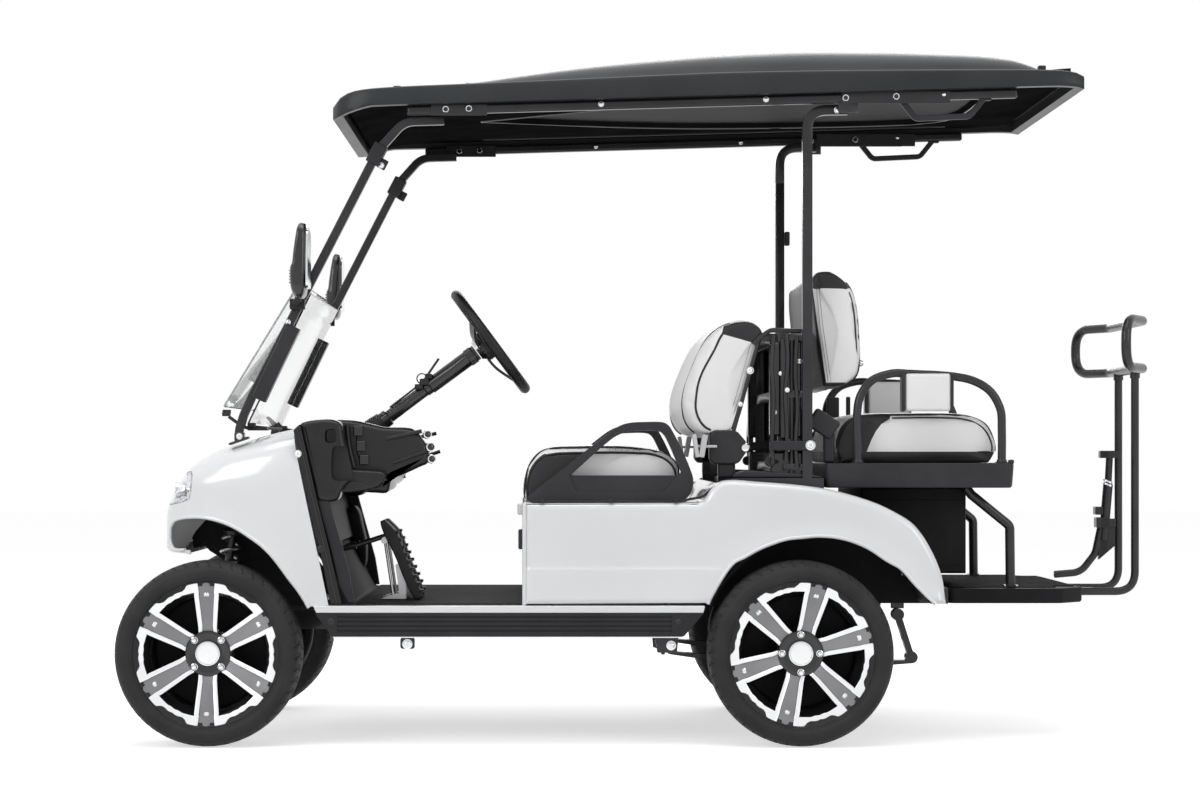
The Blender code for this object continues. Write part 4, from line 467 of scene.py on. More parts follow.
# Camera, floor and light
CAMERA_PLACE = (-0.2455, -8.25, 0.834)
CAMERA_LENS = 81.1
CAMERA_SHIFT = (0.035, 0.0433)
SENSOR_WIDTH = 36
VIEW_REACH = 200
FLOOR_SIZE = 60.0
FLOOR_WHITE = 0.8
FLOOR_GLOW = 0.6
WORLD_LIGHT = 0.48
LAMPS = (
    # name, place, what it faces, size and power
    ("lamp_top", (-0.6, -1.2, 5.2), (0, 0, 0.6), (5.0, 3.0), 125),
    ("lamp_front", (-4.6, -4.2, 3.4), (0, 0, 0.7), (2.6, 2.6), 94),
    ("lamp_rear", (4.6, -4.6, 2.8), (0, 0, 0.7), (2.6, 2.6), 60),
    ("lamp_back", (0.5, 5.0, 3.2), (0, 0, 0.8), (4.0, 2.0), 90),
)


def make_camera():
    data = bpy.data.cameras.new("camera")
    data.lens = CAMERA_LENS
    data.sensor_width = SENSOR_WIDTH
    data.shift_x, data.shift_y = CAMERA_SHIFT
    data.clip_end = VIEW_REACH
    made = bpy.data.objects.new("camera", data)
    made.location = CAMERA_PLACE
    made.rotation_euler = (math.pi / 2, 0, 0)
    bpy.context.scene.collection.objects.link(made)
    bpy.context.scene.camera = made


def by_ray(tree, usual, straight):
    """One level for rays from the camera, a mirror surface or clear plastic, and another for the rest."""
    path = tree.nodes.new("ShaderNodeLightPath")
    value = path.outputs["Is Camera Ray"]
    for name in ("Is Glossy Ray", "Is Transmission Ray"):
        most = tree.nodes.new("ShaderNodeMath")
        most.operation = "MAXIMUM"
        tree.links.new(value, most.inputs[0])
        tree.links.new(path.outputs[name], most.inputs[1])
        value = most.outputs["Value"]
    level = tree.nodes.new("ShaderNodeMapRange")
    level.inputs["To Min"].default_value = usual
    level.inputs["To Max"].default_value = straight
    tree.links.new(value, level.inputs["Value"])
    return level.outputs["Result"]


def make_world():
    world = bpy.data.worlds.new("world")
    world.use_nodes = True
    tree = world.node_tree
    sky = tree.nodes["Background"]
    sky.inputs["Color"].default_value = (1, 1, 1, 1)
    tree.links.new(by_ray(tree, WORLD_LIGHT, 1.0), sky.inputs["Strength"])
    bpy.context.scene.world = world


def make_ground():
    half = FLOOR_SIZE / 2
    corners = ((-half, -half, 0), (half, -half, 0), (half, half, 0), (-half, half, 0))
    mesh = mesh_from(lambda shape: shape.faces.new([shape.verts.new(p) for p in corners]))
    made = bpy.data.objects.new("floor", mesh)
    bpy.context.scene.collection.objects.link(made)
    surface, tree, shader = shader_of("floor_paper")
    shader.inputs["Base Color"].default_value = (FLOOR_WHITE, FLOOR_WHITE, FLOOR_WHITE, 1)
    shader.inputs["Roughness"].default_value = 1.0
    shader.inputs["Specular IOR Level"].default_value = 0.0
    shader.inputs["Emission Color"].default_value = (1, 1, 1, 1)
    tree.links.new(by_ray(tree, 0.0, FLOOR_GLOW), shader.inputs["Emission Strength"])
    mesh.materials.append(surface)


def make_lamp(name, place, target, size, power):
    data = bpy.data.lights.new(name, "AREA")
    data.shape = "RECTANGLE"
    data.size, data.size_y = size
    data.energy = power
    made = bpy.data.objects.new(name, data)
    made.location = place
    toward = Vector(target) - Vector(place)
    made.rotation_euler = toward.to_track_quat("-Z", "Y").to_euler()
    bpy.context.scene.collection.objects.link(made)


bpy.context.scene.view_settings.view_transform = "Standard"
make_camera()
make_world()
make_ground()
for lamp in LAMPS:
    make_lamp(*lamp)


# Wheels
TYRE_BLOCKS = 48
STEPS_A_BLOCK = 6
TYRE_ROWS = (
    # radius, side, depth of the cross grooves, their shift round the tyre
    (0.263, 0.0, 0.0, 0),
    (0.263, 0.012, 0.0, 0),
    (0.2588, 0.013, 0.0, 0),
    (0.2588, 0.0185, 0.0, 0),
    (0.263, 0.0195, 0.003, 3),
    (0.2628, 0.03, 0.004, 2),
    (0.2626, 0.042, 0.004, 1),
    (0.2584, 0.043, 0.0, 0),
    (0.2584, 0.049, 0.0, 0),
    (0.2624, 0.05, 0.0045, 0),
    (0.2618, 0.06, 0.005, 0),
    (0.2606, 0.07, 0.005, 1),
    (0.2588, 0.079, 0.005, 1),
    (0.256, 0.087, 0.0045, 2),
    (0.2522, 0.0935, 0.0035, 2),
    (0.249, 0.0972, 0.0, 0),
    (0.2476, 0.0974, 0.0, 0),
    (0.244, 0.1005, 0.0, 0),
    (0.2385, 0.1032, 0.0, 0),
    (0.232, 0.1046, 0.0, 0),
    (0.225, 0.1042, 0.0, 0),
    (0.2195, 0.1024, 0.0, 0),
    (0.215, 0.0994, 0.0, 0),
    (0.213, 0.0972, 0.0, 0),
    (0.2112, 0.0974, 0.0, 0),
    (0.2088, 0.095, 0.0, 0),
    (0.2078, 0.0905, 0.0, 0),
    (0.2, 0.086, 0.0, 0),
    (0.193, 0.084, 0.0, 0),
)
HUB_REACH = 0.064
FACE_FOOT = 0.046
FACE_RISE = 0.042
FACE_TIP = 0.205
SPOKE_ROWS = (0.064, 0.069, 0.074, 0.08, 0.088, 0.1, 0.115, 0.13, 0.145, 0.16, 0.17)
# half widths of a spoke and of its insert: (radius, spoke, insert)
SPOKE_WIDTHS = ((0.064, 0.0262, 0.015), (0.08, 0.0262, 0.0138), (0.178, 0.0355, 0.0218),
                (0.206, 0.038, 0.0228))
# outer edge of the machined face: (degrees from the spoke, radius)
RING_EDGE = ((0, 0.2045), (15.0, 0.2045), (18.5, 0.1925), (21.0, 0.189), (24.0, 0.1905), (26.5, 0.1922),
             (30.0, 0.1895))
WINDOW_EDGE = ((0, 0.177), (14.0, 0.177), (19.0, 0.1775), (22.0, 0.179), (26.0, 0.1765), (30.0, 0.1785))
GAP_LINE = 0.0005
FRONT_TURN = math.radians(30)
FRONT_NUT_TURN = math.radians(45)
REAR_TURN = math.radians(16)
SPOKES = 6
SECTOR = 2 * math.pi / SPOKES
WINDOW_COLUMNS = 8
TURNED_STEPS = 64


def clamped(value):
    return min(max(value, 0), 1)


def between(table, at, column=1):
    for first, second in zip(table, table[1:]):
        if at <= second[0]:
            t = clamped((at - first[0]) / (second[0] - first[0]))
            return first[column] + (second[column] - first[column]) * t
    return table[-1][column]


def face_height(radius):
    share = (radius - HUB_REACH) / (FACE_TIP - HUB_REACH)
    return FACE_FOOT + FACE_RISE * max(share, 0) ** 0.85


def tyre_mesh(outward):
    """A tyre whose outer rows are notched into blocks."""
    steps = TYRE_BLOCKS * STEPS_A_BLOCK
    rows = [(r, y, g, s) for r, y, g, s in TYRE_ROWS[::-1]]
    rows += [(r, -y, g, s + 2) for r, y, g, s in TYRE_ROWS[1:]]

    def build(shape):
        grid = []
        for radius, side, groove, shift in rows:
            ring = []
            for k in range(steps):
                angle = 2 * math.pi * k / steps
                deep = groove if (k + shift) % STEPS_A_BLOCK == 0 else 0
                reach = radius - deep
                across = side * (1 - deep * 4) * outward
                ring.append(shape.verts.new((reach * math.cos(angle), across, reach * math.sin(angle))))
            grid.append(ring)
        for first, second in zip(grid, grid[1:] + grid[:1]):
            for k in range(steps):
                n = (k + 1) % steps
                shape.faces.new((first[k], first[n], second[n], second[k]))

    return mesh_from(build)


def face_mesh(outward, turn, part):
    """The wheel's face as a sheet: its machined edges, its grey inserts or the black core."""
    def build(shape):
        for sector in range(SPOKES):
            middle = turn + sector * SECTOR
            grid = []
            rows = [(radius, None) for radius in SPOKE_ROWS] + [(None, share)
                                                                for share in (0, 0.12, 0.5, 0.88, 1)]
            for radius, share in rows:
                line = []
                for side in (-1, 1):
                    half = []
                    probe = radius or 0.19
                    wide = math.asin(between(SPOKE_WIDTHS, probe) / probe)
                    slim = math.asin(between(SPOKE_WIDTHS, probe, 2) / probe)
                    gap = GAP_LINE / probe
                    if part == "inserts":
                        angles = [0, slim * 0.5, slim * 0.9, slim - gap]
                    elif part == "edges":
                        angles = [slim + gap, slim + (wide - slim) * 0.5, wide]
                    else:
                        angles = [0, slim * 0.5, slim, wide - gap * 2]
                    if part != "inserts":
                        start = angles[-1]
                        angles += [
                            start + (SECTOR / 2 - start) * (k + 1) / WINDOW_COLUMNS
                            for k in range(WINDOW_COLUMNS)
                        ]
                    for angle in angles:
                        if share is None:
                            reach = radius
                        else:
                            degrees = math.degrees(angle)
                            low = between(WINDOW_EDGE, degrees)
                            high = between(RING_EDGE, degrees) if part == "edges" else 0.205
                            if part == "core":
                                low -= GAP_LINE * 2
                            reach = low + (high - low) * share
                        half.append((angle * side, reach))
                    line.append(half)
                grid.append(line)
            solid = 3 if part == "edges" else 4
            for side_index in (0, 1):
                made = {}

                def point(row, column):
                    key = (row, column)
                    if key not in made:
                        angle, reach = grid[row][side_index][column]
                        height = face_height(reach)
                        if part == "inserts":
                            near = abs(angle) * reach
                            height -= 0.001 + (0.0016 if 0.155 < reach < 0.184 else 0)
                            height += 0.0012 if near < 0.006 and reach > 0.09 else 0
                        if part == "core":
                            height -= 0.003
                        spot = (
                            reach * math.cos(middle + angle),
                            outward * height,
                            reach * math.sin(middle + angle),
                        )
                        made[key] = shape.verts.new(spot)
                    return made[key]

                count = len(grid[0][side_index])
                ring_start = len(SPOKE_ROWS)
                for row in range(len(grid) - 1):
                    for column in range(count - 1):
                        if column >= solid - 1 and row < ring_start:
                            continue
                        corners = [
                            point(row, column),
                            point(row, column + 1),
                            point(row + 1, column + 1),
                            point(row + 1, column),
                        ]
                        if side_index == 0:
                            corners.reverse()
                        shape.faces.new(corners if outward < 0 else corners[::-1])
        bmesh.ops.remove_doubles(shape, verts=shape.verts, dist=1e-5)

    shape = bmesh.new()
    build(shape)
    shape.normal_update()
    turned_in = [face for face in shape.faces if face.normal.y * outward < 0]
    bmesh.ops.reverse_faces(shape, faces=turned_in)
    mesh = bpy.data.meshes.new("shape")
    shape.to_mesh(mesh)
    shape.free()
    return mesh


def thickened(made, depth, edge=0.0):
    """Gives a sheet its depth behind the face, and rounds its edges."""
    solid = made.modifiers.new("thick", "SOLIDIFY")
    solid.thickness = depth
    solid.offset = -1
    if edge:
        soft = made.modifiers.new("edge", "BEVEL")
        soft.width = edge
        soft.segments = 2
        soft.limit_method = "ANGLE"
        soft.angle_limit = math.radians(40)
    return made


def polar(radius, angle, height, outward):
    return (radius * math.cos(angle), outward * height, radius * math.sin(angle))


def make_wheel(end, name, outward, along, turn, bolt_turn):
    """A tyre and its alloy wheel on one hub."""
    label = end + "_" + name
    body = end + "_wheel_" + name
    place = Vector((along, outward * WHEEL_SIDE, AXLE_HEIGHT))
    axis = (0, outward, 0)

    def put(suffix, mesh, surface, replaces=(), angle=35):
        mesh.transform(Matrix.Translation(place))
        return piece(
            label + suffix, mesh, surface, body, centre=place, angle=angle, replaces=replaces
        )

    put("_tyre_tread", tyre_mesh(outward), RUBBER, (end + "_tyre_" + name,), 28)
    barrel_profile = (
        (0.2072, 0.09), (0.2074, 0.087), (0.206, 0.0848), (0.1925, 0.083), (0.1925, 0.06),
        (0.18, 0.05), (0.18, -0.05), (0.1925, -0.064), (0.1925, -0.083), (0.206, -0.0848),
        (0.2072, -0.089), (0.203, -0.09), (0.18, -0.088), (0.172, -0.07), (0.162, -0.046),
        (0.16, 0.01), (0.166, 0.03), (0.174, 0.038), (0.178, 0.056), (0.19, 0.074),
        (0.2035, 0.083), (0.2046, 0.089),
        (0.206, 0.0904),
    )
    barrel = turned(barrel_profile, 96, (0, 0, 0), axis, ring=True)
    hub_profile = (
        (0, 0.018), (0.06, 0.018), (0.064, 0.024), (0.0648, 0.044), (0.0632, 0.0468),
        (0.06, 0.0474), (0.042, 0.046), (0.038, 0.044), (0, 0.044),
    )
    hub = turned(hub_profile, TURNED_STEPS, (0, 0, 0), axis)
    put("_wheel_barrel", gathered([barrel, hub]), GLOSS_BLACK, (end + "_rim_" + name,))
    thickened(put("_wheel_core", face_mesh(outward, turn, "core"), GLOSS_BLACK), 0.02, 0.0012)
    thickened(put("_wheel_face", face_mesh(outward, turn, "edges"), SILVER), 0.003, 0.0009)
    thickened(put("_wheel_inserts", face_mesh(outward, turn, "inserts"), GUNMETAL), 0.004, 0.0005)
    shiny = []
    for k in range(SPOKES):
        angle = turn + k * SECTOR
        spot = polar(0.1685, angle, face_height(0.1685) - 0.003, outward)
        lean = Vector(polar(-0.28, angle, 0.96, outward))
        shiny.append(bolt(spot, 0.0052, lean, 14))
    for k in range(4):
        spot = polar(0.0535, bolt_turn + k * math.pi / 2, 0.0462, outward)
        nut = [
            (0, 0), (0.0098, 0), (0.0098, 0.0022), (0.0082, 0.003), (0.008, 0.009),
            (0.0062, 0.0122), (0, 0.0132),
        ]
        shiny.append(turned(nut, 20, spot, axis))
    ring = [
        (0.03, 0.044), (0.0362, 0.044), (0.036, 0.05), (0.0345, 0.053), (0.0322, 0.0536),
        (0.0308, 0.052),
    ]
    shiny.append(turned(ring, TURNED_STEPS, (0, 0, 0), axis, ring=True))
    put("_wheel_bolts", gathered(shiny), CHROME)
    cap = [
        (0, 0.044), (0.031, 0.044), (0.031, 0.0512), (0.0296, 0.0526), (0.024, 0.0532),
        (0.0236, 0.0526), (0, 0.0528),
    ]
    put("_wheel_cap", turned(cap, TURNED_STEPS, (0, 0, 0), axis), SILVER)


for wheel_name, wheel_side in SIDES:
    make_wheel("front", wheel_name, wheel_side, 0.0, FRONT_TURN, FRONT_NUT_TURN)
    make_wheel("rear", wheel_name, wheel_side, WHEELBASE, REAR_TURN, 0.0)


# Front cowl and lamps
COWL_FRONT = -0.146
COWL_LENGTH = 0.52
COWL_BASE = 0.396
COWL_HEIGHT = 0.512
COWL_WALL = 0.006
BODY_HALF_WIDTH = 0.58
COWL_STATIONS_SHARES = (
    # share along, share of half width, share up to the top, share up to the bottom
    (-0.006, 0.6, 0.44, 0.4),
    (0.0, 0.66, 0.505, 0.345),
    (0.012, 0.72, 0.565, 0.31),
    (0.06, 0.79, 0.665, 0.292),
    (0.16, 0.87, 0.79, 0.285),
    (0.292, 0.93, 0.868, 0.0),
    (0.45, 0.97, 0.92, 0.0),
    (0.68, 1.0, 0.98, 0.0),
    (0.74, 1.0, 0.992, 0.0),
    (1.0, 1.0, 1.0, 0.0),
)
COWL_REAR_TOP = 0.232
COWL_REAR_FOOT = 0.341
ARCH_POINTS = (
    (-0.078, 0.553), (-0.1, 0.5515), (-0.117, 0.556), (-0.1255, 0.572), (-0.127, 0.595),
    (-0.124, 0.619), (-0.113, 0.635), (-0.095, 0.643), (-0.063, 0.6475), (-0.02, 0.647),
    (0.011, 0.642), (0.045, 0.632), (0.08, 0.616), (0.115, 0.594), (0.149, 0.57), (0.18, 0.54),
    (0.206, 0.507), (0.23, 0.474), (0.252, 0.446), (0.272, 0.416), (0.285, 0.392),
)
ARCH_INNER_SIDE = 0.33
BEYOND_SIDE = 0.62
OVERRUN = 0.02
NOSE_FLOOR_SHARE = 0.135
LAMP_INNER = 0.27
LAMP_OUTER = 0.545
LAMP_OUTLINE = (
    (-0.2, 0.67), (-0.145, 0.6765), (-0.08, 0.691), (-0.064, 0.7), (-0.059, 0.72),
    (-0.056, 0.77), (-0.062, 0.779), (-0.2, 0.779),
)
SECTION_DEGREE = 10
SIDE_SHARES = (0, 0.08, 0.16, 0.24, 0.32, 0.4, 0.48, 0.56, 0.64, 0.71, 0.77, 0.82, 0.86, 0.89, 0.915)
TOP_SHARES = (0.933, 0.918, 0.9, 0.875, 0.84, 0.79, 0.72, 0.62, 0.5, 0.36, 0.2, 0)
FLARE = 0.007
FLARE_REACH = 0.048


def inset(outline, distance):
    """Moves each point of a clockwise or anticlockwise outline in by a distance."""
    count = len(outline)
    pairs = [(outline[i], outline[(i + 1) % count]) for i in range(count)]
    area = sum(a[0] * b[1] - b[0] * a[1] for a, b in pairs)
    turn = 1 if area > 0 else -1
    made = []
    for i in range(count):
        a, b, c = (Vector(outline[k % count]) for k in (i - 1, i, i + 1))
        first = (b - a).normalized()
        second = (c - b).normalized()
        if first.length == 0:
            first = second
        if second.length == 0:
            second = first
        n1 = Vector((-first.y, first.x)) * turn
        n2 = Vector((-second.y, second.x)) * turn
        bisector = n1 + n2
        if bisector.length < 1e-6:
            bisector = n1
        bisector.normalize()
        scale = 1 / max(bisector.dot(n1), 0.5)
        made.append(tuple(b + bisector * distance * scale))
    return made


def smooth_between(table, at, column):
    """A smooth curve through a table's rows."""
    for i in range(len(table) - 1):
        if at <= table[i + 1][0] or i == len(table) - 2:
            break
    a, b = table[i], table[i + 1]
    before = table[max(i - 1, 0)]
    after = table[min(i + 2, len(table) - 1)]
    span = b[0] - a[0]
    t = clamped((at - a[0]) / span)

    def slope(first, middle, last):
        left = (middle[column] - first[column]) / max(middle[0] - first[0], 1e-9)
        right = (last[column] - middle[column]) / max(last[0] - middle[0], 1e-9)
        if left * right <= 0:
            return 0
        return 2 * left * right / (left + right)

    start = slope(before, a, b) if i else (b[column] - a[column]) / span
    end = slope(a, b, after) if after is not b else (b[column] - a[column]) / span
    return (
        a[column] * (2 * t ** 3 - 3 * t ** 2 + 1)
        + start * span * (t ** 3 - 2 * t ** 2 + t)
        + b[column] * (3 * t ** 2 - 2 * t ** 3)
        + end * span * (t ** 3 - t ** 2)
    )


def cowl_section(x, half_width, top, bottom):
    points = []
    for share in SIDE_SHARES:
        points.append((half_width * (1 - share ** SECTION_DEGREE) ** (1 / SECTION_DEGREE), share))
    for share in TOP_SHARES:
        points.append((half_width * share, (1 - share ** SECTION_DEGREE) ** (1 / SECTION_DEGREE)))
    ring = [(x, -y, bottom + (top - bottom) * z) for y, z in points]
    ring += [(x, y, bottom + (top - bottom) * z) for y, z in points[-2::-1]]
    return ring


def cowl_form(wall):
    """The cowl's outer form drawn in by a wall."""
    rings = []
    shares = [-0.006, -0.003, 0.0, 0.005, 0.012, 0.024, 0.04, 0.06, 0.085, 0.11]
    shares += [NOSE_FLOOR_SHARE, NOSE_FLOOR_SHARE + 0.003, 0.165]
    shares += [0.19 + 0.03 * k for k in range(28)]
    for share in shares:
        wide, high, low = (smooth_between(COWL_STATIONS_SHARES, share, column) for column in (1, 2, 3))
        if wall and share < 0:
            continue
        x = COWL_FRONT + share * COWL_LENGTH + (wall if share < 0.5 else 0)
        bottom = COWL_BASE + low * COWL_HEIGHT
        if wall:
            bottom = bottom + wall if share <= NOSE_FLOOR_SHARE else COWL_BASE - OVERRUN
        rings.append(cowl_section(x, BODY_HALF_WIDTH * wide - wall, COWL_BASE + high * COWL_HEIGHT - wall,
                                  bottom))
    if wall:
        rings.append([(x + OVERRUN, y, z) for x, y, z in rings[-1]])
    return loft(rings)


def arch_line(steps=5):
    return curved([(x, 0, z) for x, z in ARCH_POINTS], steps, closed=False)


def flared(mesh, line, reach, rise, low_side=0.4):
    """Swells a panel outward toward the edge of a wheel arch."""
    for vertex in mesh.vertices:
        x, y, z = vertex.co
        if abs(y) < low_side:
            continue
        near = min((x - p.x) ** 2 + (z - p.z) ** 2 for p in line) ** 0.5
        if near < reach:
            share = 1 - near / reach
            vertex.co.y += math.copysign(rise * share * share * (3 - 2 * share), y)
    return mesh


def skin_side(x, z):
    """How far out the cowl's side lies at a place."""
    share = (x - COWL_FRONT) / COWL_LENGTH
    wide, high, low = (smooth_between(COWL_STATIONS_SHARES, share, column) for column in (1, 2, 3))
    rise = (z - COWL_BASE - low * COWL_HEIGHT) / ((high - low) * COWL_HEIGHT)
    rise = min(max(rise, 0), 0.99)
    return BODY_HALF_WIDTH * wide * (1 - rise ** SECTION_DEGREE) ** (1 / SECTION_DEGREE)


def lamp_space(gap):
    return plate(inset(LAMP_OUTLINE, gap), -LAMP_OUTER + gap, -LAMP_INNER - gap)


def make_cowl():
    outer = cowl_form(0)
    inner = cowl_form(COWL_WALL)
    slope = (COWL_REAR_FOOT - COWL_REAR_TOP) / COWL_HEIGHT
    top = COWL_BASE + COWL_HEIGHT + OVERRUN
    behind = plate(
        [
            (COWL_REAR_FOOT + OVERRUN * slope, COWL_BASE - OVERRUN), (0.42, COWL_BASE - OVERRUN), (0.42, top),
            (COWL_REAR_TOP - OVERRUN * slope, top),
        ],
        -BEYOND_SIDE, BEYOND_SIDE,
    )
    line = arch_line()
    arch = [(p.x, p.z) for p in line] + [(0.285, 0.3), (-0.05, 0.3), (-0.06, 0.553)]
    opening = plate(arch, -BEYOND_SIDE, -ARCH_INNER_SIDE)
    pocket = lamp_space(0)
    mesh = cut(outer, inner, behind, opening, mirrored(opening), pocket, mirrored(pocket))
    flared(mesh, line, FLARE_REACH, FLARE)
    # a soft step in the lower rear of the side panel
    for vertex in mesh.vertices:
        x, y, z = vertex.co
        if abs(y) > 0.5 and x > 0.1:
            fold = 0.612 + (x - 0.19) * 0.18
            share = clamped((fold - z) / 0.012) * clamped((x - 0.14) / 0.05)
            vertex.co.y -= math.copysign(0.0025 * share * share * (3 - 2 * share), y)
    piece("cowl_skin", mesh, WHITE, angle=30, replaces=("front_cowl",))
    # the arch's rolled edge, and its flange that turns inward
    edge = []
    for p in line:
        if p.x < COWL_FRONT + 0.004:
            continue
        edge.append((p.x, -skin_side(p.x, p.z) - FLARE + 0.003, p.z))
    lip = tube(edge, 0.0055, 12)
    piece("cowl_arch_lips", both(lip), WHITE)
    rings = []
    for p in edge:
        x, y, z = p
        rings.append([(x, y, z + 0.003), (x, y, z - 0.002), (x, y + 0.03, z + 0.001),
                      (x, y + 0.03, z + 0.005)])
    piece("cowl_arch_flanges", both(loft(rings)), WHITE)


def make_lamps():
    for name, side in SIDES:
        lens = combined(cowl_form(0), [lamp_space(0.0012)], "INTERSECT")
        lens = cut(lens, cowl_form(0.0035))
        if side > 0:
            lens = mirrored(lens)
        piece("lamp_lens_" + name, lens, LENS, replaces=("headlamp_" + name,))
        back = combined(cowl_form(0.022), [lamp_space(0.0012)], "INTERSECT")
        back = cut(back, cowl_form(0.027))
        rim = cut(lamp_space(0.0008), lamp_space(0.0045))
        rim = combined(rim, [cowl_form(0.0035)], "INTERSECT")
        rim = cut(rim, cowl_form(0.025))
        parts = gathered([back, rim])
        if side > 0:
            parts = mirrored(parts)
        piece("lamp_housing_" + name, parts, LAMP_SILVER)
        bowls = []
        for across, up, radius in ((0.345, 0.724, 0.026), (0.415, 0.724, 0.024)):
            x = -0.09
            profile = [
                (0, 0.007), (radius * 0.74, 0.002), (radius * 1.04, -0.022), (radius, -0.024),
                (radius * 0.94, -0.012), (radius * 0.72, -0.002), (radius * 0.32, 0.004),
                (radius * 0.3, -0.004), (0, -0.008),
            ]
            bowls.append(turned([(r, -a) for r, a in profile], 40, (x, side * across, up), (-1, 0, 0)))
        # slim light guides that follow the lamp's corner
        guides = []
        for low, high in ((0.7, 0.706), (0.748, 0.754)):
            guide = combined(cowl_form(0.01), [lamp_space(0.006)], "INTERSECT")
            guide = cut(guide, cowl_form(0.0215))
            band = block(-0.3, 0.0, -0.6, -0.455, low, high)
            guides.append(combined(guide, [band], "INTERSECT"))
        guide = gathered(guides)
        if side > 0:
            guide = mirrored(guide)
        bowls.append(guide)
        piece("lamp_bowls_" + name, gathered(bowls), CHROME)


# Rear body
REAR_OUTLINE = (
    # from the front foot, up the front, over the deck and the fender to the tail
    (0.895, 0.396), (0.895, 0.691), (1.35, 0.6922), (1.4, 0.695), (1.428, 0.73),
    (1.464, 0.753), (1.552, 0.75), (1.68, 0.74), (1.78, 0.724), (1.888, 0.692),
    (1.956, 0.66), (2.005, 0.627), (2.047, 0.568), (2.082, 0.487), (2.096, 0.402),
)
REAR_ARCH = (
    (1.413, 0.39), (1.425, 0.42), (1.4585, 0.479), (1.49, 0.52), (1.521, 0.536), (1.56, 0.558),
    (1.5953, 0.5728), (1.64, 0.587), (1.6889, 0.5926), (1.73, 0.596), (1.7802, 0.5926), (1.83, 0.58),
    (1.8739, 0.5611), (1.925, 0.527), (1.9651, 0.5036), (2.005, 0.46), (2.042, 0.4227), (2.078, 0.39),
)
SHOULDER = 0.022
CREASE_HEIGHT = 0.5075
CREASE_DEPTH = 0.0075
CREASE_END = 1.475
CREASE_FADE = 0.05


def rounded_sides(outline, low_side, high_side, radius, steps):
    """A plate across the cart whose side edges are rounded over."""
    turns = [math.pi / 2 * k / steps for k in range(steps + 1)]
    rows = [(inset(outline, radius * (1 - math.sin(t))), radius * (1 - math.cos(t))) for t in turns]
    rings = [[(x, low_side + out, z) for x, z in flat] for flat, out in rows]
    rings += [[(x, high_side - out, z) for x, z in flat] for flat, out in rows[::-1]]
    return loft(rings)


def gridded(mesh, places, heights):
    """Adds rows of edges across a mesh, so that its broad faces can be shaped."""
    shape = bmesh.new()
    shape.from_mesh(mesh)
    for axis, values in (((1, 0, 0), places), ((0, 0, 1), heights)):
        for value in values:
            spot = Vector(axis) * value
            bmesh.ops.bisect_plane(
                shape, geom=shape.verts[:] + shape.edges[:] + shape.faces[:], dist=1e-5,
                plane_co=spot, plane_no=axis,
            )
    made = bpy.data.meshes.new("gridded")
    shape.to_mesh(made)
    shape.free()
    return made


def make_rear_body():
    top = curved([(x, 0, z) for x, z in REAR_OUTLINE], 6, closed=False, sharp=(0, 1, 2, 14))
    outline = [(p.x, p.z) for p in top]
    shell = rounded_sides(outline, -BODY_HALF_WIDTH, BODY_HALF_WIDTH, SHOULDER, 6)
    wall = 0.006
    inside = plate(
        [
            (0.901, 0.37), (2.06, 0.37), (2.055, 0.5), (2.01, 0.59), (1.94, 0.65), (1.84, 0.695),
            (1.7, 0.725), (1.47, 0.73), (1.44, 0.72), (1.4, 0.686), (0.901, 0.686),
        ],
        -BODY_HALF_WIDTH + wall, BODY_HALF_WIDTH - wall,
    )
    hatch = block(1.447, 2.12, -0.502, 0.502, 0.37, 0.8)
    line = curved([(x, 0, z) for x, z in REAR_ARCH], 5, closed=False)
    arch = plate([(p.x, p.z) for p in line] + [(2.2, 0.3), (1.3, 0.3)], -BEYOND_SIDE, -0.34)
    mesh = cut(shell, inside, hatch, arch, mirrored(arch))
    mesh = gridded(mesh, [0.91 + 0.03 * k for k in range(40)],
                   [0.41 + 0.015 * k for k in range(24)] + [0.501, 0.504, 0.507])
    flared(mesh, line, 0.042, 0.006, 0.5)
    for vertex in mesh.vertices:
        x, y, z = vertex.co
        if abs(y) > 0.56:
            share = clamped((CREASE_HEIGHT - z) / CREASE_DEPTH) * clamped((CREASE_END - x) / CREASE_FADE)
            vertex.co.y += math.copysign(0.0035 * share * share * (3 - 2 * share), y)
    piece("rear_body_skin", mesh, WHITE, angle=32, replaces=("rear_body",))
    edge = [(p.x, -BODY_HALF_WIDTH - 0.003, p.z) for p in line if p.z > 0.4]
    lip = tube(edge, 0.0055, 12)
    rings = [[(x, y, z + 0.003), (x, y, z - 0.002), (x, y + 0.034, z + 0.001), (x, y + 0.034, z + 0.005)]
             for x, y, z in edge]
    piece("rear_arch_lips", both(gathered([lip, loft(rings)])), WHITE)
    # corner strip at the front edge of each side panel
    strip = tube([(0.8965, -0.5745, 0.4), (0.8965, -0.5745, 0.69)], 0.0062, 12, across=(0, 1, 0))
    piece("side_front_edges", both(strip), WHITE)
    # rubber gasket under the armrests, with three tabs
    gasket = sweep(
        rounded([(0.915, -0.56, 0.6935), (1.34, -0.56, 0.6945), (1.402, -0.556, 0.706),
                 (1.44, -0.545, 0.737)], 0.04, 5),
        box_section(0.007, 0.022),
    )
    tabs = [block(x, x + 0.012, -0.58, -0.56, 0.69, 0.701) for x in (0.941, 1.137, 1.321)]
    piece("armrest_gaskets", both(gathered([gasket, *tabs])), PLASTIC, bevel=0.001)
    # latch and vent on the front face under the bench
    latch = block(0.877, 0.8945, -0.566, -0.52, 0.656, 0.688)
    vent = block(0.879, 0.8945, -0.566, -0.52, 0.557, 0.614)
    piece("bench_latches", both(latch), ZINC, bevel=0.004)
    piece("bench_vents", both(vent), PLASTIC, bevel=0.004)


make_cowl()
make_lamps()
make_rear_body()


# Fittings that stand on the rear frame, the rails and the grab bar
def along(start, end, share):
    return Vector(start).lerp(Vector(end), share)


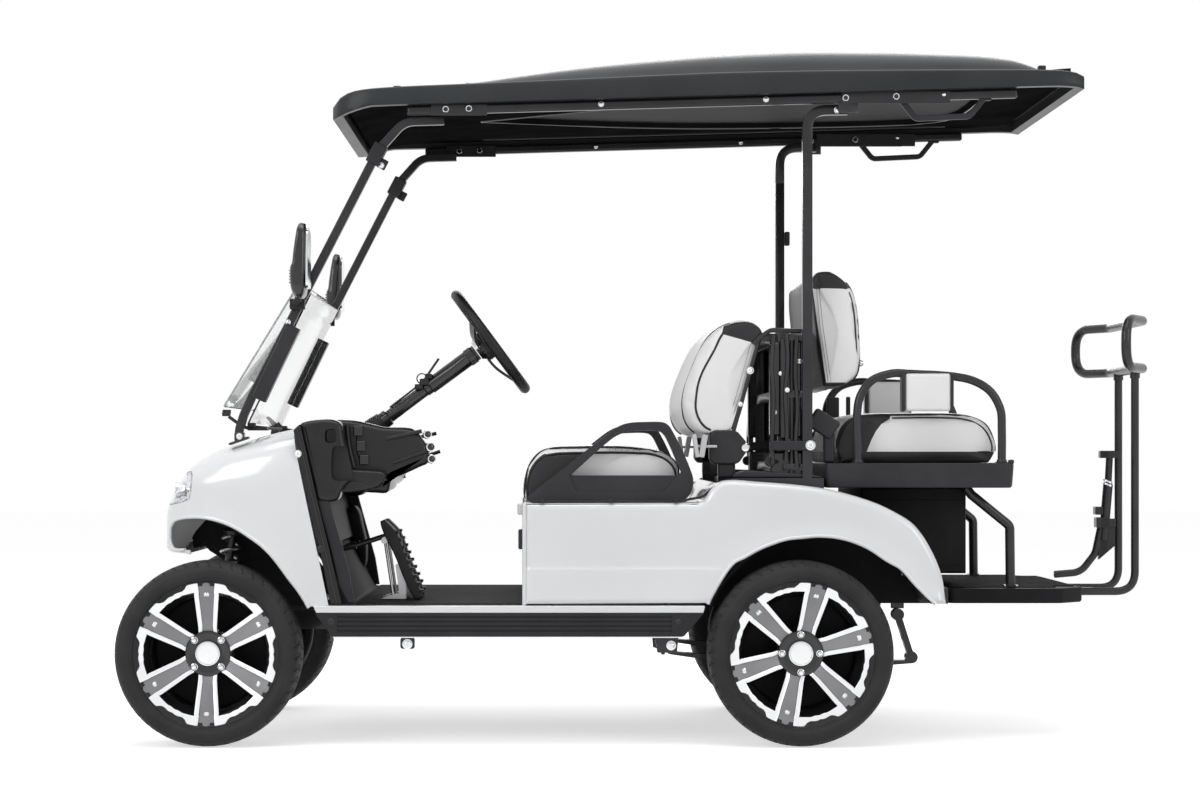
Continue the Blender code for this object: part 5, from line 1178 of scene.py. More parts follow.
def soft_block(x_low, x_high, y_low, y_high, z_low, z_high, lean=0.0):
    """A block that leans about its own middle, seen from the side."""
    middle = Vector(((x_low + x_high) / 2, (y_low + y_high) / 2, (z_low + z_high) / 2))
    made = block(x_low, x_high, y_low, y_high, z_low, z_high)
    turn = Matrix.Translation(middle) @ Matrix.Rotation(math.radians(lean), 4, "Y")
    made.transform(turn @ Matrix.Translation(-middle))
    return made


def hinge_boxes():
    """Boxes that hold the foot of the bench back, with their bright hooks and knobs."""
    boxes = [
        (1.428, 0.878), (1.44, 0.897), (1.5, 0.897), (1.512, 0.89), (1.536, 0.862),
        (1.538, 0.838), (1.516, 0.806), (1.506, 0.799), (1.44, 0.799), (1.428, 0.812),
    ]
    outline = [Vector((x, 0, z)) for x, z in boxes]
    cover = plate([(p.x, p.z) for p in outline], -0.462, -0.4)
    foot = block(1.455, 1.5, -0.45, -0.41, 0.7595, 0.802)
    piece("bench_hinge_boxes", both(gathered([cover, foot])), PLASTIC, bevel=0.006, steps=3)
    hooks = []
    for low, high, lean in ((1.382, 1.394, -8), (1.402, 1.418, 10)):
        hooks.append(soft_block(low, high, -0.49, -0.4612, 0.818, 0.884, lean))
    hooks.append(block(1.388, 1.45, -0.472, -0.4615, 0.846, 0.854))
    piece("bench_hinge_hooks", both(gathered(hooks)), ZINC, bevel=0.002)
    knob = turned(
        [(0, 0), (0.004, 0), (0.004, 0.008), (0.0125, 0.012), (0.014, 0.02), (0.0105, 0.028), (0, 0.03)],
        24, (1.531, -0.448, 0.846), (0, -1, 0),
    )
    piece("bench_hinge_knobs", both(knob), CHROME)


def frame_bundle():
    """Upright rods and hoses between the frame posts and the struts."""
    rods = []
    for place, side, radius in (
        (1.672, -0.452, 0.011), (1.612, -0.447, 0.0085), (1.682, -0.428, 0.0085), (1.664, -0.474, 0.007)
    ):
        rods.append(tube([(place, side, 0.7592), (place, side, 1.165)], radius, 12))
    piece("frame_rods", both(gathered(rods)), SATIN)
    clamp = block(1.604, 1.727, -0.5, -0.42, 0.838, 0.866)
    piece("frame_clamps", both(clamp), PLASTIC, bevel=0.004)
    shiny = bolt((1.716, -0.5, 0.853), 0.01)
    piece("frame_clamp_bolts", both(shiny), CHROME)
    knob = gathered([
        cylinder((1.602, -0.455, 0.806), 0.015, 0, 0.026, 20),
        tube([(1.602, -0.468, 0.806), (1.628, -0.455, 0.806)], 0.007, 12, across=(0, 0, 1)),
    ])
    piece("frame_knobs", both(knob), PLASTIC, bevel=0.003)


def belt_boxes():
    """Belt reels that lean at the front corners of the rear cushion."""
    box = soft_block(1.716, 1.798, -0.4665, -0.437, 0.885, 0.945, 33)
    foot = block(1.757, 1.79, -0.46, -0.437, 0.8022, 0.9)
    piece("belt_reels", both(gathered([box, foot])), PLASTIC, bevel=0.008, steps=3)


def side_pads():
    """Padded arms that hang in the rear rails."""
    for name, side in SIDES:
        low, high = sorted((side * 0.446, side * 0.484))
        mesh = block(1.99, 2.122, low, high, 0.951, 1.06)
        made = piece("side_pad_" + name, mesh, WHITE_VINYL, bevel=0.01, steps=4)


def grab_fittings():
    """Hinge and catch between the grab bar's posts."""
    start = 2.528
    side = 0.12
    path = [(start, side, 0.455), (2.61, side, 0.462), (2.655, side, 0.52), (2.672, side, 0.6)]
    brace = tube(rounded(path, 0.06, 8), 0.0115, 16)
    strut = tube([(2.68, side, 0.56), (2.695, side, 0.735)], 0.015, 20)
    upper = tube([(2.695, side, 0.735), (2.7, side, 0.83)], 0.011, 16)
    cross = block(2.668, 2.73, side - 0.016, side + 0.016, 0.815, 0.838)
    blocks = [
        block(2.652, 2.676, side - 0.02, side + 0.02, 0.64, 0.665),
        block(2.655, 2.69, side - 0.022, side + 0.022, 0.6, 0.632),
        block(2.69, 2.716, side - 0.018, side + 0.018, 0.602, 0.628),
    ]
    wedge = plate([(2.664, 0.5), (2.664, 0.61), (2.716, 0.61), (2.716, 0.545)], side - 0.01, side + 0.01)
    mesh = gathered([brace, strut, upper, cross, wedge, *blocks])
    piece("grab_bar_catch", mesh, SATIN, bevel=0.002)
    rings = [tube([(2.692, side, z), (2.694, side, z + 0.005)], 0.0165, 20) for z in (0.73, 0.74)]
    piece("grab_bar_rings", gathered(rings), CHROME)


hinge_boxes()
frame_bundle()
belt_boxes()
side_pads()
grab_fittings()


# Nodes whose own shape is kept, with their edges rounded or a better surface
softened("frame", SATIN, 0.003)
softened("front_beam", SATIN, 0.003)
softened("floor_pan", MAT, 0.004)
softened("battery_block", BATTERY, 0.006)
PAINTED_NODES = (
    (SATIN, ("rack_housing", "rear_axle", "leaf_spring_left", "leaf_spring_right")),
    (ZINC, ("knuckle_left", "knuckle_right", "tie_rods")),
    (SCREEN, ("windshield_lower", "windshield_upper")),
)
for surface, kept_nodes in PAINTED_NODES:
    for kept in kept_nodes:
        painted(kept, surface)


# Soft seats: crowned pads with piping, panels in two colours and sewn channels
PIPE = 0.0034
PIPE_SIDES = 10
PAD_ROWS = 22
PAD_EDGE_STEPS = 6
PAD_SIDE_SHARES = (0.1, 0.35, 0.6, 0.8, 0.93)
CHANNEL_DEPTH = 0.0035
CHANNEL_WIDTH = 0.006
SETTLE_FRAMES = 14
SETTLE_PRESSURE = 1.6


def crowned(outer, side, edge, half, crown, base=None, channels=(), bulge=0.004):
    """A closed pad: an outline for its middle, a smaller one for its sides, and a soft crown."""
    count = len(outer)
    middle = (sum(p[0] for p in side) / count, sum(p[1] for p in side) / count)
    rings = []
    for share in PAD_SIDE_SHARES:
        out = half + bulge * (1 - share * share)
        rings.append([
            (middle[0] + (x - middle[0]) * share, -out, middle[1] + (z - middle[1]) * share) for x, z in side
        ])
    steps = PAD_EDGE_STEPS
    for k in range(steps + 1):
        angle = math.pi / 2 * k / steps
        near = math.sin(angle)
        place = -edge - (half - edge) * math.cos(angle)
        rings.append([
            (b[0] + (a[0] - b[0]) * near, place, b[1] + (a[1] - b[1]) * near) for a, b in zip(outer, side)
        ])
    for k in range(1, PAD_ROWS):
        place = -edge + 2 * edge * k / PAD_ROWS
        share = 1 - (place / edge) ** 2
        swell = crown * share ** 0.7
        for channel in channels:
            swell -= CHANNEL_DEPTH * math.exp(-((place - channel) / CHANNEL_WIDTH) ** 2)
        rings.append([(x, place, z) for x, z in inset(outer, -swell)])
    first_half = rings[:len(PAD_SIDE_SHARES) + steps + 1]
    rings += [[(x, -y, z) for x, y, z in ring] for ring in first_half[::-1]]
    if base is not None:
        rings = [[(x, y, max(z, base)) for x, y, z in ring] for ring in rings]
    return loft(rings)


def two_outlines(rows, sharp=(), steps=5):
    outer = curved([(row[0], 0, row[1]) for row in rows], steps, True, sharp)
    side = curved([(row[2], 0, row[3]) for row in rows], steps, True, sharp)
    return [(p.x, p.z) for p in outer], [(p.x, p.z) for p in side]


def piping(outline, place):
    """A cord along an outline."""
    return tube([(x, place, z) for x, z in outline], PIPE, PIPE_SIDES)


def unbroken(points, keep):
    """The longest run of neighbouring points that pass a test."""
    best = []
    run = []
    for p in points:
        run = [*run, p] if keep(p) else []
        if len(run) > len(best):
            best = run
    return best


def above(outline, low):
    """The part of an outline that lies above a height, as one run of points."""
    count = len(outline)
    start = next(i for i in range(count) if outline[i][1] > low and outline[i - 1][1] <= low)
    run = []
    for k in range(count):
        point = outline[(start + k) % count]
        if point[1] <= low:
            break
        run.append(point)
    return run


def settled(made, reach, pinned):
    """A short cloth run that fills a pad like a cushion, with a cap on how far a point may move."""
    scene = bpy.context.scene
    mesh = made.data
    start = [vertex.co.copy() for vertex in mesh.vertices]
    if pinned is not None:
        group = made.vertex_groups.new(name="kept")
        group.add([v.index for v in mesh.vertices if pinned(v.co)], 1.0, "REPLACE")
    cloth = made.modifiers.new("cloth", "CLOTH")
    rules = cloth.settings
    rules.quality = 4
    rules.mass = 0.3
    rules.tension_stiffness = 12
    rules.compression_stiffness = 12
    rules.shear_stiffness = 8
    rules.bending_stiffness = 0.6
    rules.use_pressure = True
    rules.uniform_pressure_force = SETTLE_PRESSURE
    rules.effector_weights.gravity = 0
    rules.shrink_min = -0.012
    if pinned is not None:
        rules.vertex_group_mass = "kept"
    cloth.collision_settings.use_collision = False
    cloth.point_cache.frame_start = 1
    cloth.point_cache.frame_end = SETTLE_FRAMES
    for frame_number in range(1, SETTLE_FRAMES + 1):
        scene.frame_set(frame_number)
    graph = bpy.context.evaluated_depsgraph_get()
    settled_mesh = bpy.data.meshes.new_from_object(made.evaluated_get(graph))
    moved = [vertex.co.copy() for vertex in settled_mesh.vertices]
    made.modifiers.remove(cloth)
    bpy.data.meshes.remove(settled_mesh)
    for vertex, before, after in zip(mesh.vertices, start, moved):
        step = after - before
        if step.length > reach:
            step *= reach / step.length
        vertex.co = before + step
    scene.frame_set(1)


def soft_form(mesh, reach, base=None):
    """Runs the cloth step on a bare mesh and gives the mesh back."""
    made = bpy.data.objects.new("soft_form", mesh)
    bpy.context.scene.collection.objects.link(made)
    pinned = (lambda co: co.z < base + 0.002) if base is not None else None
    settled(made, reach, pinned)
    bpy.context.scene.collection.objects.unlink(made)
    bpy.data.objects.remove(made)


BENCH_ROWS = (
    # full outline, then the outline of the side panel
    (0.8975, 0.6935, 0.905, 0.696),
    (0.896, 0.73, 0.903, 0.73),
    (0.903, 0.776, 0.911, 0.77),
    (0.917, 0.808, 0.928, 0.802),
    (0.941, 0.833, 0.952, 0.821),
    (0.969, 0.843, 0.976, 0.8275),
    (1.0056, 0.8465, 1.0096, 0.8305),
    (1.1544, 0.848, 1.15, 0.832),
    (1.219, 0.844, 1.213, 0.831),
    (1.275, 0.835, 1.264, 0.827),
    (1.315, 0.819, 1.302, 0.812),
    (1.337, 0.793, 1.326, 0.786),
    (1.34, 0.75, 1.333, 0.748),
    (1.338, 0.6935, 1.331, 0.696),
)
BENCH_BASE = 0.6928
BENCH_SPLIT = ((0.8, 0.6), (0.9, 0.686), (1.14, 0.88), (0.8, 0.95))


def make_bench_cushion():
    outer, side = two_outlines(BENCH_ROWS, sharp=(0, 13))
    form = crowned(outer, side, 0.432, 0.4515, 0.004, BENCH_BASE, (-0.215, 0.215), bulge=0.0025)
    soft_form(form, 0.004, BENCH_BASE)
    dark = []
    space = plate(BENCH_SPLIT, -0.6, -0.4508)
    dark.append(combined(form.copy(), [space], "INTERSECT"))
    dark.append(combined(form.copy(), [mirrored(space)], "INTERSECT"))
    white = cut(form, space, mirrored(space))
    made = piece("bench_cushion_cover", white, WHITE_VINYL, "bench_seat", replaces=("bench_cushion",))
    piece("bench_cushion_front_sides", gathered(dark), BLACK_VINYL, "bench_seat")
    cords = [
        both(piping(above(outer, 0.7), -0.434)),
        both(piping(above(side, 0.701), -0.4525)),
        both(tube([(0.9175, -0.4535, 0.701), (1.079, -0.4535, 0.83)], 0.0022, 8)),
    ]
    piece("bench_cushion_piping", gathered(cords), PIPING, "bench_seat")
    # stitches that gather the band between the two cords
    ticks = []
    for k in range(9):
        x = 1.14 + 0.017 * k
        ticks.append(tube([(x, -0.4395, 0.8465 - k * 0.0004), (x + 0.002, -0.4465, 0.8395 - k * 0.0004)],
                          0.0007, 6))
    piece("bench_cushion_stitches", both(gathered(ticks)), STITCH, "bench_seat")


BACK_ROWS = (
    (1.394, 0.889, 1.4376, 0.896),
    (1.369, 0.908, 1.413, 0.909),
    (1.355, 0.942, 1.394, 0.94),
    (1.3535, 0.9897, 1.389, 0.9753),
    (1.369, 1.0474, 1.4015, 1.0474),
    (1.4124, 1.1448, 1.444, 1.13),
    (1.4448, 1.183, 1.4664, 1.1736),
    (1.481, 1.2024, 1.49, 1.192),
    (1.524, 1.2118, 1.525, 1.202),
    (1.5565, 1.2075, 1.554, 1.199),
    (1.576, 1.193, 1.57, 1.188),
    (1.578, 1.17, 1.572, 1.168),
    (1.55, 1.07, 1.544, 1.07),
    (1.507, 0.916, 1.502, 0.918),
    (1.493, 0.896, 1.488, 0.9),
    (1.44, 0.887, 1.464, 0.896),
)
BACK_DARK = (
    (1.488, 1.26), (1.464, 1.1745), (1.564, 1.146), (1.523, 1.0), (1.49, 0.898),
    (1.486, 0.86), (1.63, 0.86), (1.63, 1.26),
)


def make_bench_back():
    outer, side = two_outlines(BACK_ROWS)
    form = crowned(outer, side, 0.418, 0.4495, 0.007, None, (-0.215, 0.215), bulge=0.004)
    soft_form(form, 0.005)
    region = plate(BACK_DARK, -0.6, 0.6)
    shell = combined(form.copy(), [region], "INTERSECT")
    white = cut(form, region)
    made = piece("bench_back_cover", white, WHITE_VINYL, "chassis", replaces=("bench_back",))
    piece("bench_back_shell", shell, BLACK_VINYL, "chassis")
    front = above(outer, 0.889)
    front = unbroken(front, lambda p: p[0] < 1.49 and p[1] < 1.206)
    panel = unbroken(above(side, 0.8962), lambda p: p[0] < 1.47 and p[1] < 1.175)
    seam = [(1.465, -0.452, 1.1748), (1.514, -0.4535, 1.1605), (1.563, -0.452, 1.1462)]
    rear = [(1.563, -0.452, 1.1462), (1.5226, -0.4525, 1.0), (1.4915, -0.4515, 0.902)]
    cords = [
        both(piping(front, -0.42)),
        both(piping(panel, -0.4535)),
        both(tube(seam, 0.0026, 8)),
    ]
    piece("bench_back_piping", gathered(cords), PIPING, "chassis")
    lines = [
        both(tube([(x - 0.015, y, z + 0.001) for x, y, z in rear], 0.0009, 6)),
        both(tube([(x - 0.006, y, z) for x, y, z in rear], 0.0009, 6)),
    ]
    piece("bench_back_stitches", gathered(lines), STITCH, "chassis")
    # bright screws on the black edge
    shiny = [bolt((1.546, -0.4545, 1.069), 0.0075), bolt((1.518, -0.4545, 0.972), 0.005)]
    piece("bench_back_screws", both(gathered(shiny)), CHROME, "chassis")


REAR_ROWS = (
    (1.806, 0.804, 1.815, 0.806),
    (1.801, 0.835, 1.809, 0.835),
    (1.804, 0.875, 1.813, 0.872),
    (1.818, 0.908, 1.829, 0.902),
    (1.846, 0.931, 1.856, 0.922),
    (1.89, 0.94, 1.896, 0.93),
    (1.974, 0.942, 1.974, 0.9325),
    (2.133, 0.942, 2.133, 0.9325),
    (2.191, 0.934, 2.186, 0.924),
    (2.233, 0.912, 2.223, 0.902),
    (2.254, 0.87, 2.244, 0.866),
    (2.258, 0.836, 2.247, 0.836),
    (2.24, 0.804, 2.232, 0.806),
)
REAR_BASE = 0.8028
REAR_DARK = (
    (1.7, 0.7), (2.4, 0.7), (2.4, 0.835), (1.885, 0.835), (1.898, 0.868), (1.912, 0.895),
    (1.93, 0.918), (1.952, 0.933), (1.97, 0.96), (1.7, 0.96),
)
REAR_SPLIT_HEIGHT = 0.835


def make_rear_cushion():
    outer, side = two_outlines(REAR_ROWS, sharp=(0, 12))
    form = crowned(outer, side, 0.405, 0.426, 0.004, REAR_BASE, (-0.205, 0.205), bulge=0.003)
    soft_form(form, 0.004, REAR_BASE)
    region = plate(REAR_DARK, -0.6, -0.4)
    lower = plate([(1.7, 0.7), (2.4, 0.7), (2.4, REAR_SPLIT_HEIGHT), (1.7, REAR_SPLIT_HEIGHT)], -0.4, 0.4)
    dark = [
        combined(form.copy(), [region], "INTERSECT"),
        combined(form.copy(), [mirrored(region)], "INTERSECT"),
        combined(form.copy(), [lower], "INTERSECT"),
    ]
    white = cut(form, region, mirrored(region), lower)
    made = piece("rear_cushion_cover", white, WHITE_VINYL, "rear_seat", replaces=("rear_cushion",))
    piece("rear_cushion_gussets", gathered(dark), BLACK_VINYL, "rear_seat")
    edge = [
        (1.885, REAR_SPLIT_HEIGHT), (1.898, 0.868), (1.912, 0.895), (1.93, 0.918), (1.952, 0.933),
    ]
    panel = [(x, -0.4285, z) for x, z in edge]
    top = [(p[0], -0.4265, p[1]) for p in above(side, 0.836) if p[0] > 1.956]
    cords = [
        both(tube(curved(panel, 4, closed=False), 0.0024, 8)),
        both(tube(top, 0.0024, 8)),
        both(piping(above(outer, 0.836), -0.407)),
        both(tube([(1.886, -0.429, REAR_SPLIT_HEIGHT), (2.24, -0.4285, REAR_SPLIT_HEIGHT)], 0.0016, 8)),
    ]
    piece("rear_cushion_piping", gathered(cords), PIPING, "rear_seat")


REAR_BACK_ROWS = (
    (1.77, 1.0215, 1.774, 1.029),
    (1.764, 1.023, 1.768, 1.03),
    (1.736, 1.27, 1.742, 1.27),
    (1.735, 1.33, 1.741, 1.325),
    (1.74, 1.352, 1.746, 1.342),
    (1.756, 1.358, 1.76, 1.348),
    (1.78, 1.354, 1.78, 1.344),
    (1.815, 1.336, 1.81, 1.327),
    (1.84, 1.306, 1.832, 1.301),
    (1.856, 1.25, 1.847, 1.248),
    (1.863, 1.17, 1.854, 1.17),
    (1.865, 1.09, 1.856, 1.088),
    (1.857, 1.056, 1.848, 1.06),
    (1.833, 1.033, 1.828, 1.041),
    (1.8, 1.024, 1.8, 1.032),
)
REAR_BACK_WHITE = (
    (1.731, 1.308), (1.829, 1.306), (1.9, 1.33), (1.9, 1.0), (1.83, 1.005), (1.825, 1.035),
    (1.768, 1.035), (1.745, 1.2),
)


def make_rear_back():
    outer, side = two_outlines(REAR_BACK_ROWS)
    form = crowned(outer, side, 0.402, 0.425, 0.003, None, (-0.205, 0.205), bulge=0.003)
    soft_form(form, 0.004)
    region = plate(REAR_BACK_WHITE, -0.6, 0.6)
    white = combined(form.copy(), [region], "INTERSECT")
    shell = cut(form, region)
    made = piece("rear_back_cover", white, WHITE_VINYL, "chassis", replaces=("rear_back",))
    piece("rear_back_shell", shell, BLACK_VINYL, "chassis")
    run = unbroken(above(side, 1.042), lambda p: p[0] > 1.82 and p[1] < 1.305)
    rear = unbroken(above(outer, 1.045), lambda p: p[0] > 1.815 and p[1] < 1.33)
    start = (1.733, -0.4275, 1.308)
    foot = (1.769, -0.4275, 1.035)
    cords = [
        both(tube([(x, -0.4245, z) for x, z in run], 0.0024, 8)),
        both(tube([(x, -0.404, z) for x, z in rear], PIPE, 10)),
        both(tube([start, (1.828, -0.4275, 1.306)], 0.0022, 8)),
    ]
    piece("rear_back_piping", gathered(cords), PIPING, "chassis")
    lines = []
    for shift in (0.005, 0.013):
        points = [(1.735 + shift, -0.428, 1.306), (1.745 + shift, -0.429, 1.2),
                  (foot[0] + shift, -0.428, 1.037)]
        lines.append(both(tube(points, 0.0009, 6)))
    piece("rear_back_stitches", gathered(lines), STITCH, "chassis")
    knob = turned(
        [(0, 0), (0.006, 0), (0.006, 0.01), (0.0095, 0.014), (0.01, 0.02), (0.007, 0.026), (0, 0.027)],
        24, (1.856, -0.36, 1.093), (1, 0, 0),
    )
    piece("rear_back_knobs", both(knob), CHROME, "chassis")


make_bench_cushion()
make_bench_back()
make_rear_cushion()
make_rear_back()


# Roof with its crown, hanging lip, lining, rails and hand grips
ROOF_FRONT = 0.347
ROOF_LENGTH = 2.143
ROOF_HALF = 0.58
ROOF_HEIGHT = 1.821
ROOF_DEPTH = 0.225
LIP_HEIGHT = 1.8155
LIP_SLOPE_SHARE = 0.0286
ROOF_ROWS = (
    # share along, share of half width, lip drop, lip top and crown as shares of the roof's rise
    (0.0, 0.86, 0.127, 0.01, 0.015),
    (0.006, 0.9, 0.12, 0.08, 0.085),
    (0.016, 0.935, 0.085, 0.14, 0.145),
    (0.03, 0.96, 0.045, 0.185, 0.19),
    (0.056, 0.985, 0.0, 0.212, 0.225),
    (0.11, 0.998, 0.0, 0.238, 0.25),
    (0.175, 1.0, 0.0, 0.262, 0.43),
    (0.3, 1.0, 0.0, 0.315, 0.7),
    (0.42, 1.0, 0.0, 0.368, 0.855),
    (0.53, 1.0, 0.0, 0.41, 0.95),
    (0.65, 1.0, 0.0, 0.431, 0.997),
    (0.76, 1.0, 0.0, 0.44, 0.985),
    (0.86, 1.0, 0.0, 0.444, 0.94),
    (0.915, 0.997, 0.0, 0.445, 0.86),
    (0.942, 0.994, 0.0, 0.444, 0.7),
    (0.958, 0.991, 0.0, 0.442, 0.52),
    (0.972, 0.988, 0.004, 0.436, 0.45),
    (0.988, 0.978, 0.015, 0.415, 0.418),
    (0.996, 0.97, 0.035, 0.392, 0.392),
    (1.0, 0.96, 0.043, 0.372, 0.372),
)
ROOF_STEPS = 96
ROOF_RAIL_SIDE = 0.53
ROOF_RAIL_START = 0.561
ROOF_RAIL_END = 2.303
RAIL_DROP = 0.014
RAIL_SIZE = 0.0262


def roof_low(x):
    return LIP_HEIGHT + (x - ROOF_FRONT) * LIP_SLOPE_SHARE


def roof_ring(share, wall=0.0):
    wide, drop, high, crown = (smooth_between(ROOF_ROWS, share, column) for column in (1, 2, 3, 4))
    x = ROOF_FRONT + share * ROOF_LENGTH
    half = ROOF_HALF * wide
    low = roof_low(x) - drop * ROOF_DEPTH
    high = ROOF_HEIGHT + high * ROOF_DEPTH
    top = max(ROOF_HEIGHT + crown * ROOF_DEPTH, high + 0.0015)
    soft = min(0.01, (high - low) * 0.3)
    if wall:
        return [(x, y, z) for y, z in (
            (-half + 0.034, low - 0.02), (-half + 0.034, high - wall), (half - 0.034, high - wall),
            (half - 0.034, low - 0.02),
        )]
    left = [(half - 0.0015, low), (half, low + 0.002), (half, low + 0.01)]
    left += [(half, high - soft), (half - soft * 0.3, high - soft * 0.3), (half - soft, high)]
    ledge = 0.9 * half
    left += [(ledge + 0.006, high + 0.0008), (ledge, high + 0.0012)]
    for rise, in_share in ((0.02, 0.885), (0.08, 0.868), (0.17, 0.85), (0.28, 0.82), (0.39, 0.78),
                           (0.5, 0.72), (0.6, 0.64), (0.69, 0.54), (0.77, 0.42), (0.86, 0.28), (0.93, 0.15)):
        left.append((in_share * half, high + 0.0012 + (top - high - 0.0012) * rise))
    ring = [(x, -y, z) for y, z in left]
    ring.append((x, 0, top))
    ring += [(x, y, z) for y, z in left[::-1]]
    return ring


def roof_top(x, side):
    """Height of the roof's skin at a place."""
    ring = [p for p in roof_ring((x - ROOF_FRONT) / ROOF_LENGTH) if p[1] <= 0]
    for first, second in zip(ring, ring[1:]):
        if first[1] <= -abs(side) <= second[1] and second[1] > first[1]:
            return first[2] + (second[2] - first[2]) * (-abs(side) - first[1]) / (second[1] - first[1])
    return ring[-1][2]


def make_roof():
    outer = loft([roof_ring(k / ROOF_STEPS) for k in range(ROOF_STEPS + 1)])
    low, high = 0.014, 0.988
    inner = loft([roof_ring(low + (high - low) * k / ROOF_STEPS, 0.01) for k in range(ROOF_STEPS + 1)])
    piece("roof_skin", cut(outer, inner), ROOF_BLACK, angle=38, replaces=("roof",))
    # lining with a long drop shaped recess
    rings = []
    for k in range(ROOF_STEPS + 1):
        share = 0.02 + 0.964 * k / ROOF_STEPS
        x = ROOF_FRONT + share * ROOF_LENGTH
        wide = smooth_between(ROOF_ROWS, share, 1)
        half = ROOF_HALF * wide - 0.0345
        dip = 0.03 * max(0, 1 - share / 0.1) ** 2
        base = roof_low(x) + 0.016 - dip + 0.01 * max(0, (share - 0.93) / 0.07)
        base = max(base, roof_low(x) - 0.012)
        rings.append([(x, -half, base), (x, half, base), (x, half, base + 0.03), (x, -half, base + 0.03)])
    lining = loft(rings)
    half_rows = (
        (0.76, 0.004), (0.86, 0.06), (1.0, 0.14), (1.2, 0.245), (1.45, 0.335), (1.75, 0.385),
        (2.0, 0.4), (2.12, 0.385), (2.2, 0.33), (2.24, 0.24), (2.252, 0.1),
    )
    near = [(x, -y) for x, y in half_rows]
    far = [(x, y) for x, y in half_rows[::-1]]
    line = curved([(x, y, 0) for x, y in near + far], 5, True, sharp=(0,))
    flat = [(p.x, p.y) for p in line]

    def level(outline, rise):
        return [(x, y, roof_low(x) + rise) for x, y in outline]

    middle = (flat[0][0] + max(x for x, y in flat)) / 2
    within = [(middle + (x - middle) * 0.985, y * 0.975) for x, y in flat]
    space = loft([level(flat, -0.02), level(flat, 0.01), level(within, 0.032)])
    lining = cut(lining, space)
    piece("roof_lining", lining, ROOF_LINING, angle=30)
    panel = loft([level(within, 0.03), level(within, 0.036)])
    piece("roof_recess_panel", panel, ROOF_PANEL)
    bead = tube(level(flat, 0.015), 0.0032, 8, closed=True, across=(0, 0, 1))
    piece("roof_recess_edge", bead, GLOSS_BLACK)
    # long beads pressed into the lining beside the rails
    beads = []
    for side in (-0.47, 0.47):
        run = [(x, side, roof_low(x) + 0.016) for x in (0.75, 1.3, 1.9, 2.24)]
        beads.append(tube(run, 0.005, 10))
    piece("roof_beads", gathered(beads), ROOF_BLACK)
    # small rubber stops on top
    stops = []
    for x, side in ((0.52, -0.49), (0.72, -0.3), (2.38, -0.43), (2.405, -0.38)):
        for y in (side, -side):
            base = roof_top(x, side)
            stops.append(block(x, x + 0.022, y - 0.012, y + 0.012, base - 0.002, base + 0.011))
    piece("roof_stops", gathered(stops), PLASTIC, bevel=0.003)


def make_roof_rails():
    for name, side in SIDES:
        start = (ROOF_RAIL_START, side * ROOF_RAIL_SIDE, roof_low(ROOF_RAIL_START) - RAIL_DROP)
        end = (ROOF_RAIL_END, side * ROOF_RAIL_SIDE, roof_low(ROOF_RAIL_END) - RAIL_DROP)
        rail = sweep([start, end], box_section(RAIL_SIZE, RAIL_SIZE))
        piece(
            "roof_channel_" + name, rail, SATIN, bevel=0.007, steps=4,
            replaces=("roof_rail_" + name,),
        )
        plates = []
        for low, high in ((0.63, 0.79), (1.8, 2.11)):
            face = side * (ROOF_RAIL_SIDE + 0.0125)
            near, far = sorted((face, face + side * 0.0035))
            plates.append(block(low, high, near, far, roof_low(low) - 0.03, roof_low(high) - 0.003))
        if side > 0:
            inner = side * (ROOF_RAIL_SIDE - 0.0125)
            for low, high in ((0.63, 0.79), (1.83, 2.15)):
                plates.append(block(low, high, inner - 0.0035, inner, roof_low(low) - 0.033,
                                    roof_low(high) - 0.001))
        piece("roof_plates_" + name, gathered(plates), SATIN, bevel=0.0015)
        shiny = []
        dark = []
        for outside in (1, -1):
            face = side * (ROOF_RAIL_SIDE + outside * 0.016)
            axis = (0, side * outside, 0)
            for x in (0.672, 0.738, 1.812, 1.956):
                ring = [
                    (0.0058, 0), (0.0098, 0), (0.0098, 0.0022), (0.0088, 0.0034), (0.007, 0.0034),
                    (0.0058, 0.002),
                ]
                at = (x, face, roof_low(x) - RAIL_DROP)
                shiny.append(turned(ring, 28, at, axis, ring=True))
                dark.append(cylinder(at, 0.006, 0, 0.0024, 20, axis))
            for x in (1.115, 1.585, 2.092):
                shiny.append(bolt((x, face - side * outside * 0.0025, roof_low(x) - 0.012), 0.0058, axis, 14))
        piece("roof_bolts_" + name, gathered(shiny), CHROME)
        piece("roof_bolt_heads_" + name, gathered(dark), GLOSS_BLACK)
        foot, tip, drop = 1.965, 2.215, 0.062
        grip = [
            (foot, side * ROOF_RAIL_SIDE, roof_low(foot) - 0.016),
            (foot + 0.048, side * ROOF_RAIL_SIDE, roof_low(foot) - RAIL_DROP - drop),
            (tip - 0.048, side * ROOF_RAIL_SIDE, roof_low(tip) - RAIL_DROP - drop),
            (tip, side * ROOF_RAIL_SIDE, roof_low(tip) - 0.016),
        ]
        grip = sweep(rounded(grip, 0.024, 6), box_section(0.0165, 0.0165))
        pads = [
            block(foot - 0.014, foot + 0.02, side * ROOF_RAIL_SIDE - 0.01, side * ROOF_RAIL_SIDE + 0.01,
                  roof_low(foot) - 0.032, roof_low(foot) - 0.026),
            block(tip - 0.02, tip + 0.014, side * ROOF_RAIL_SIDE - 0.01, side * ROOF_RAIL_SIDE + 0.01,
                  roof_low(tip) - 0.032, roof_low(tip) - 0.026),
        ]
        piece("roof_grip_" + name, gathered([grip, *pads]), PLASTIC, bevel=0.004, steps=3)


make_roof()
make_roof_rails()


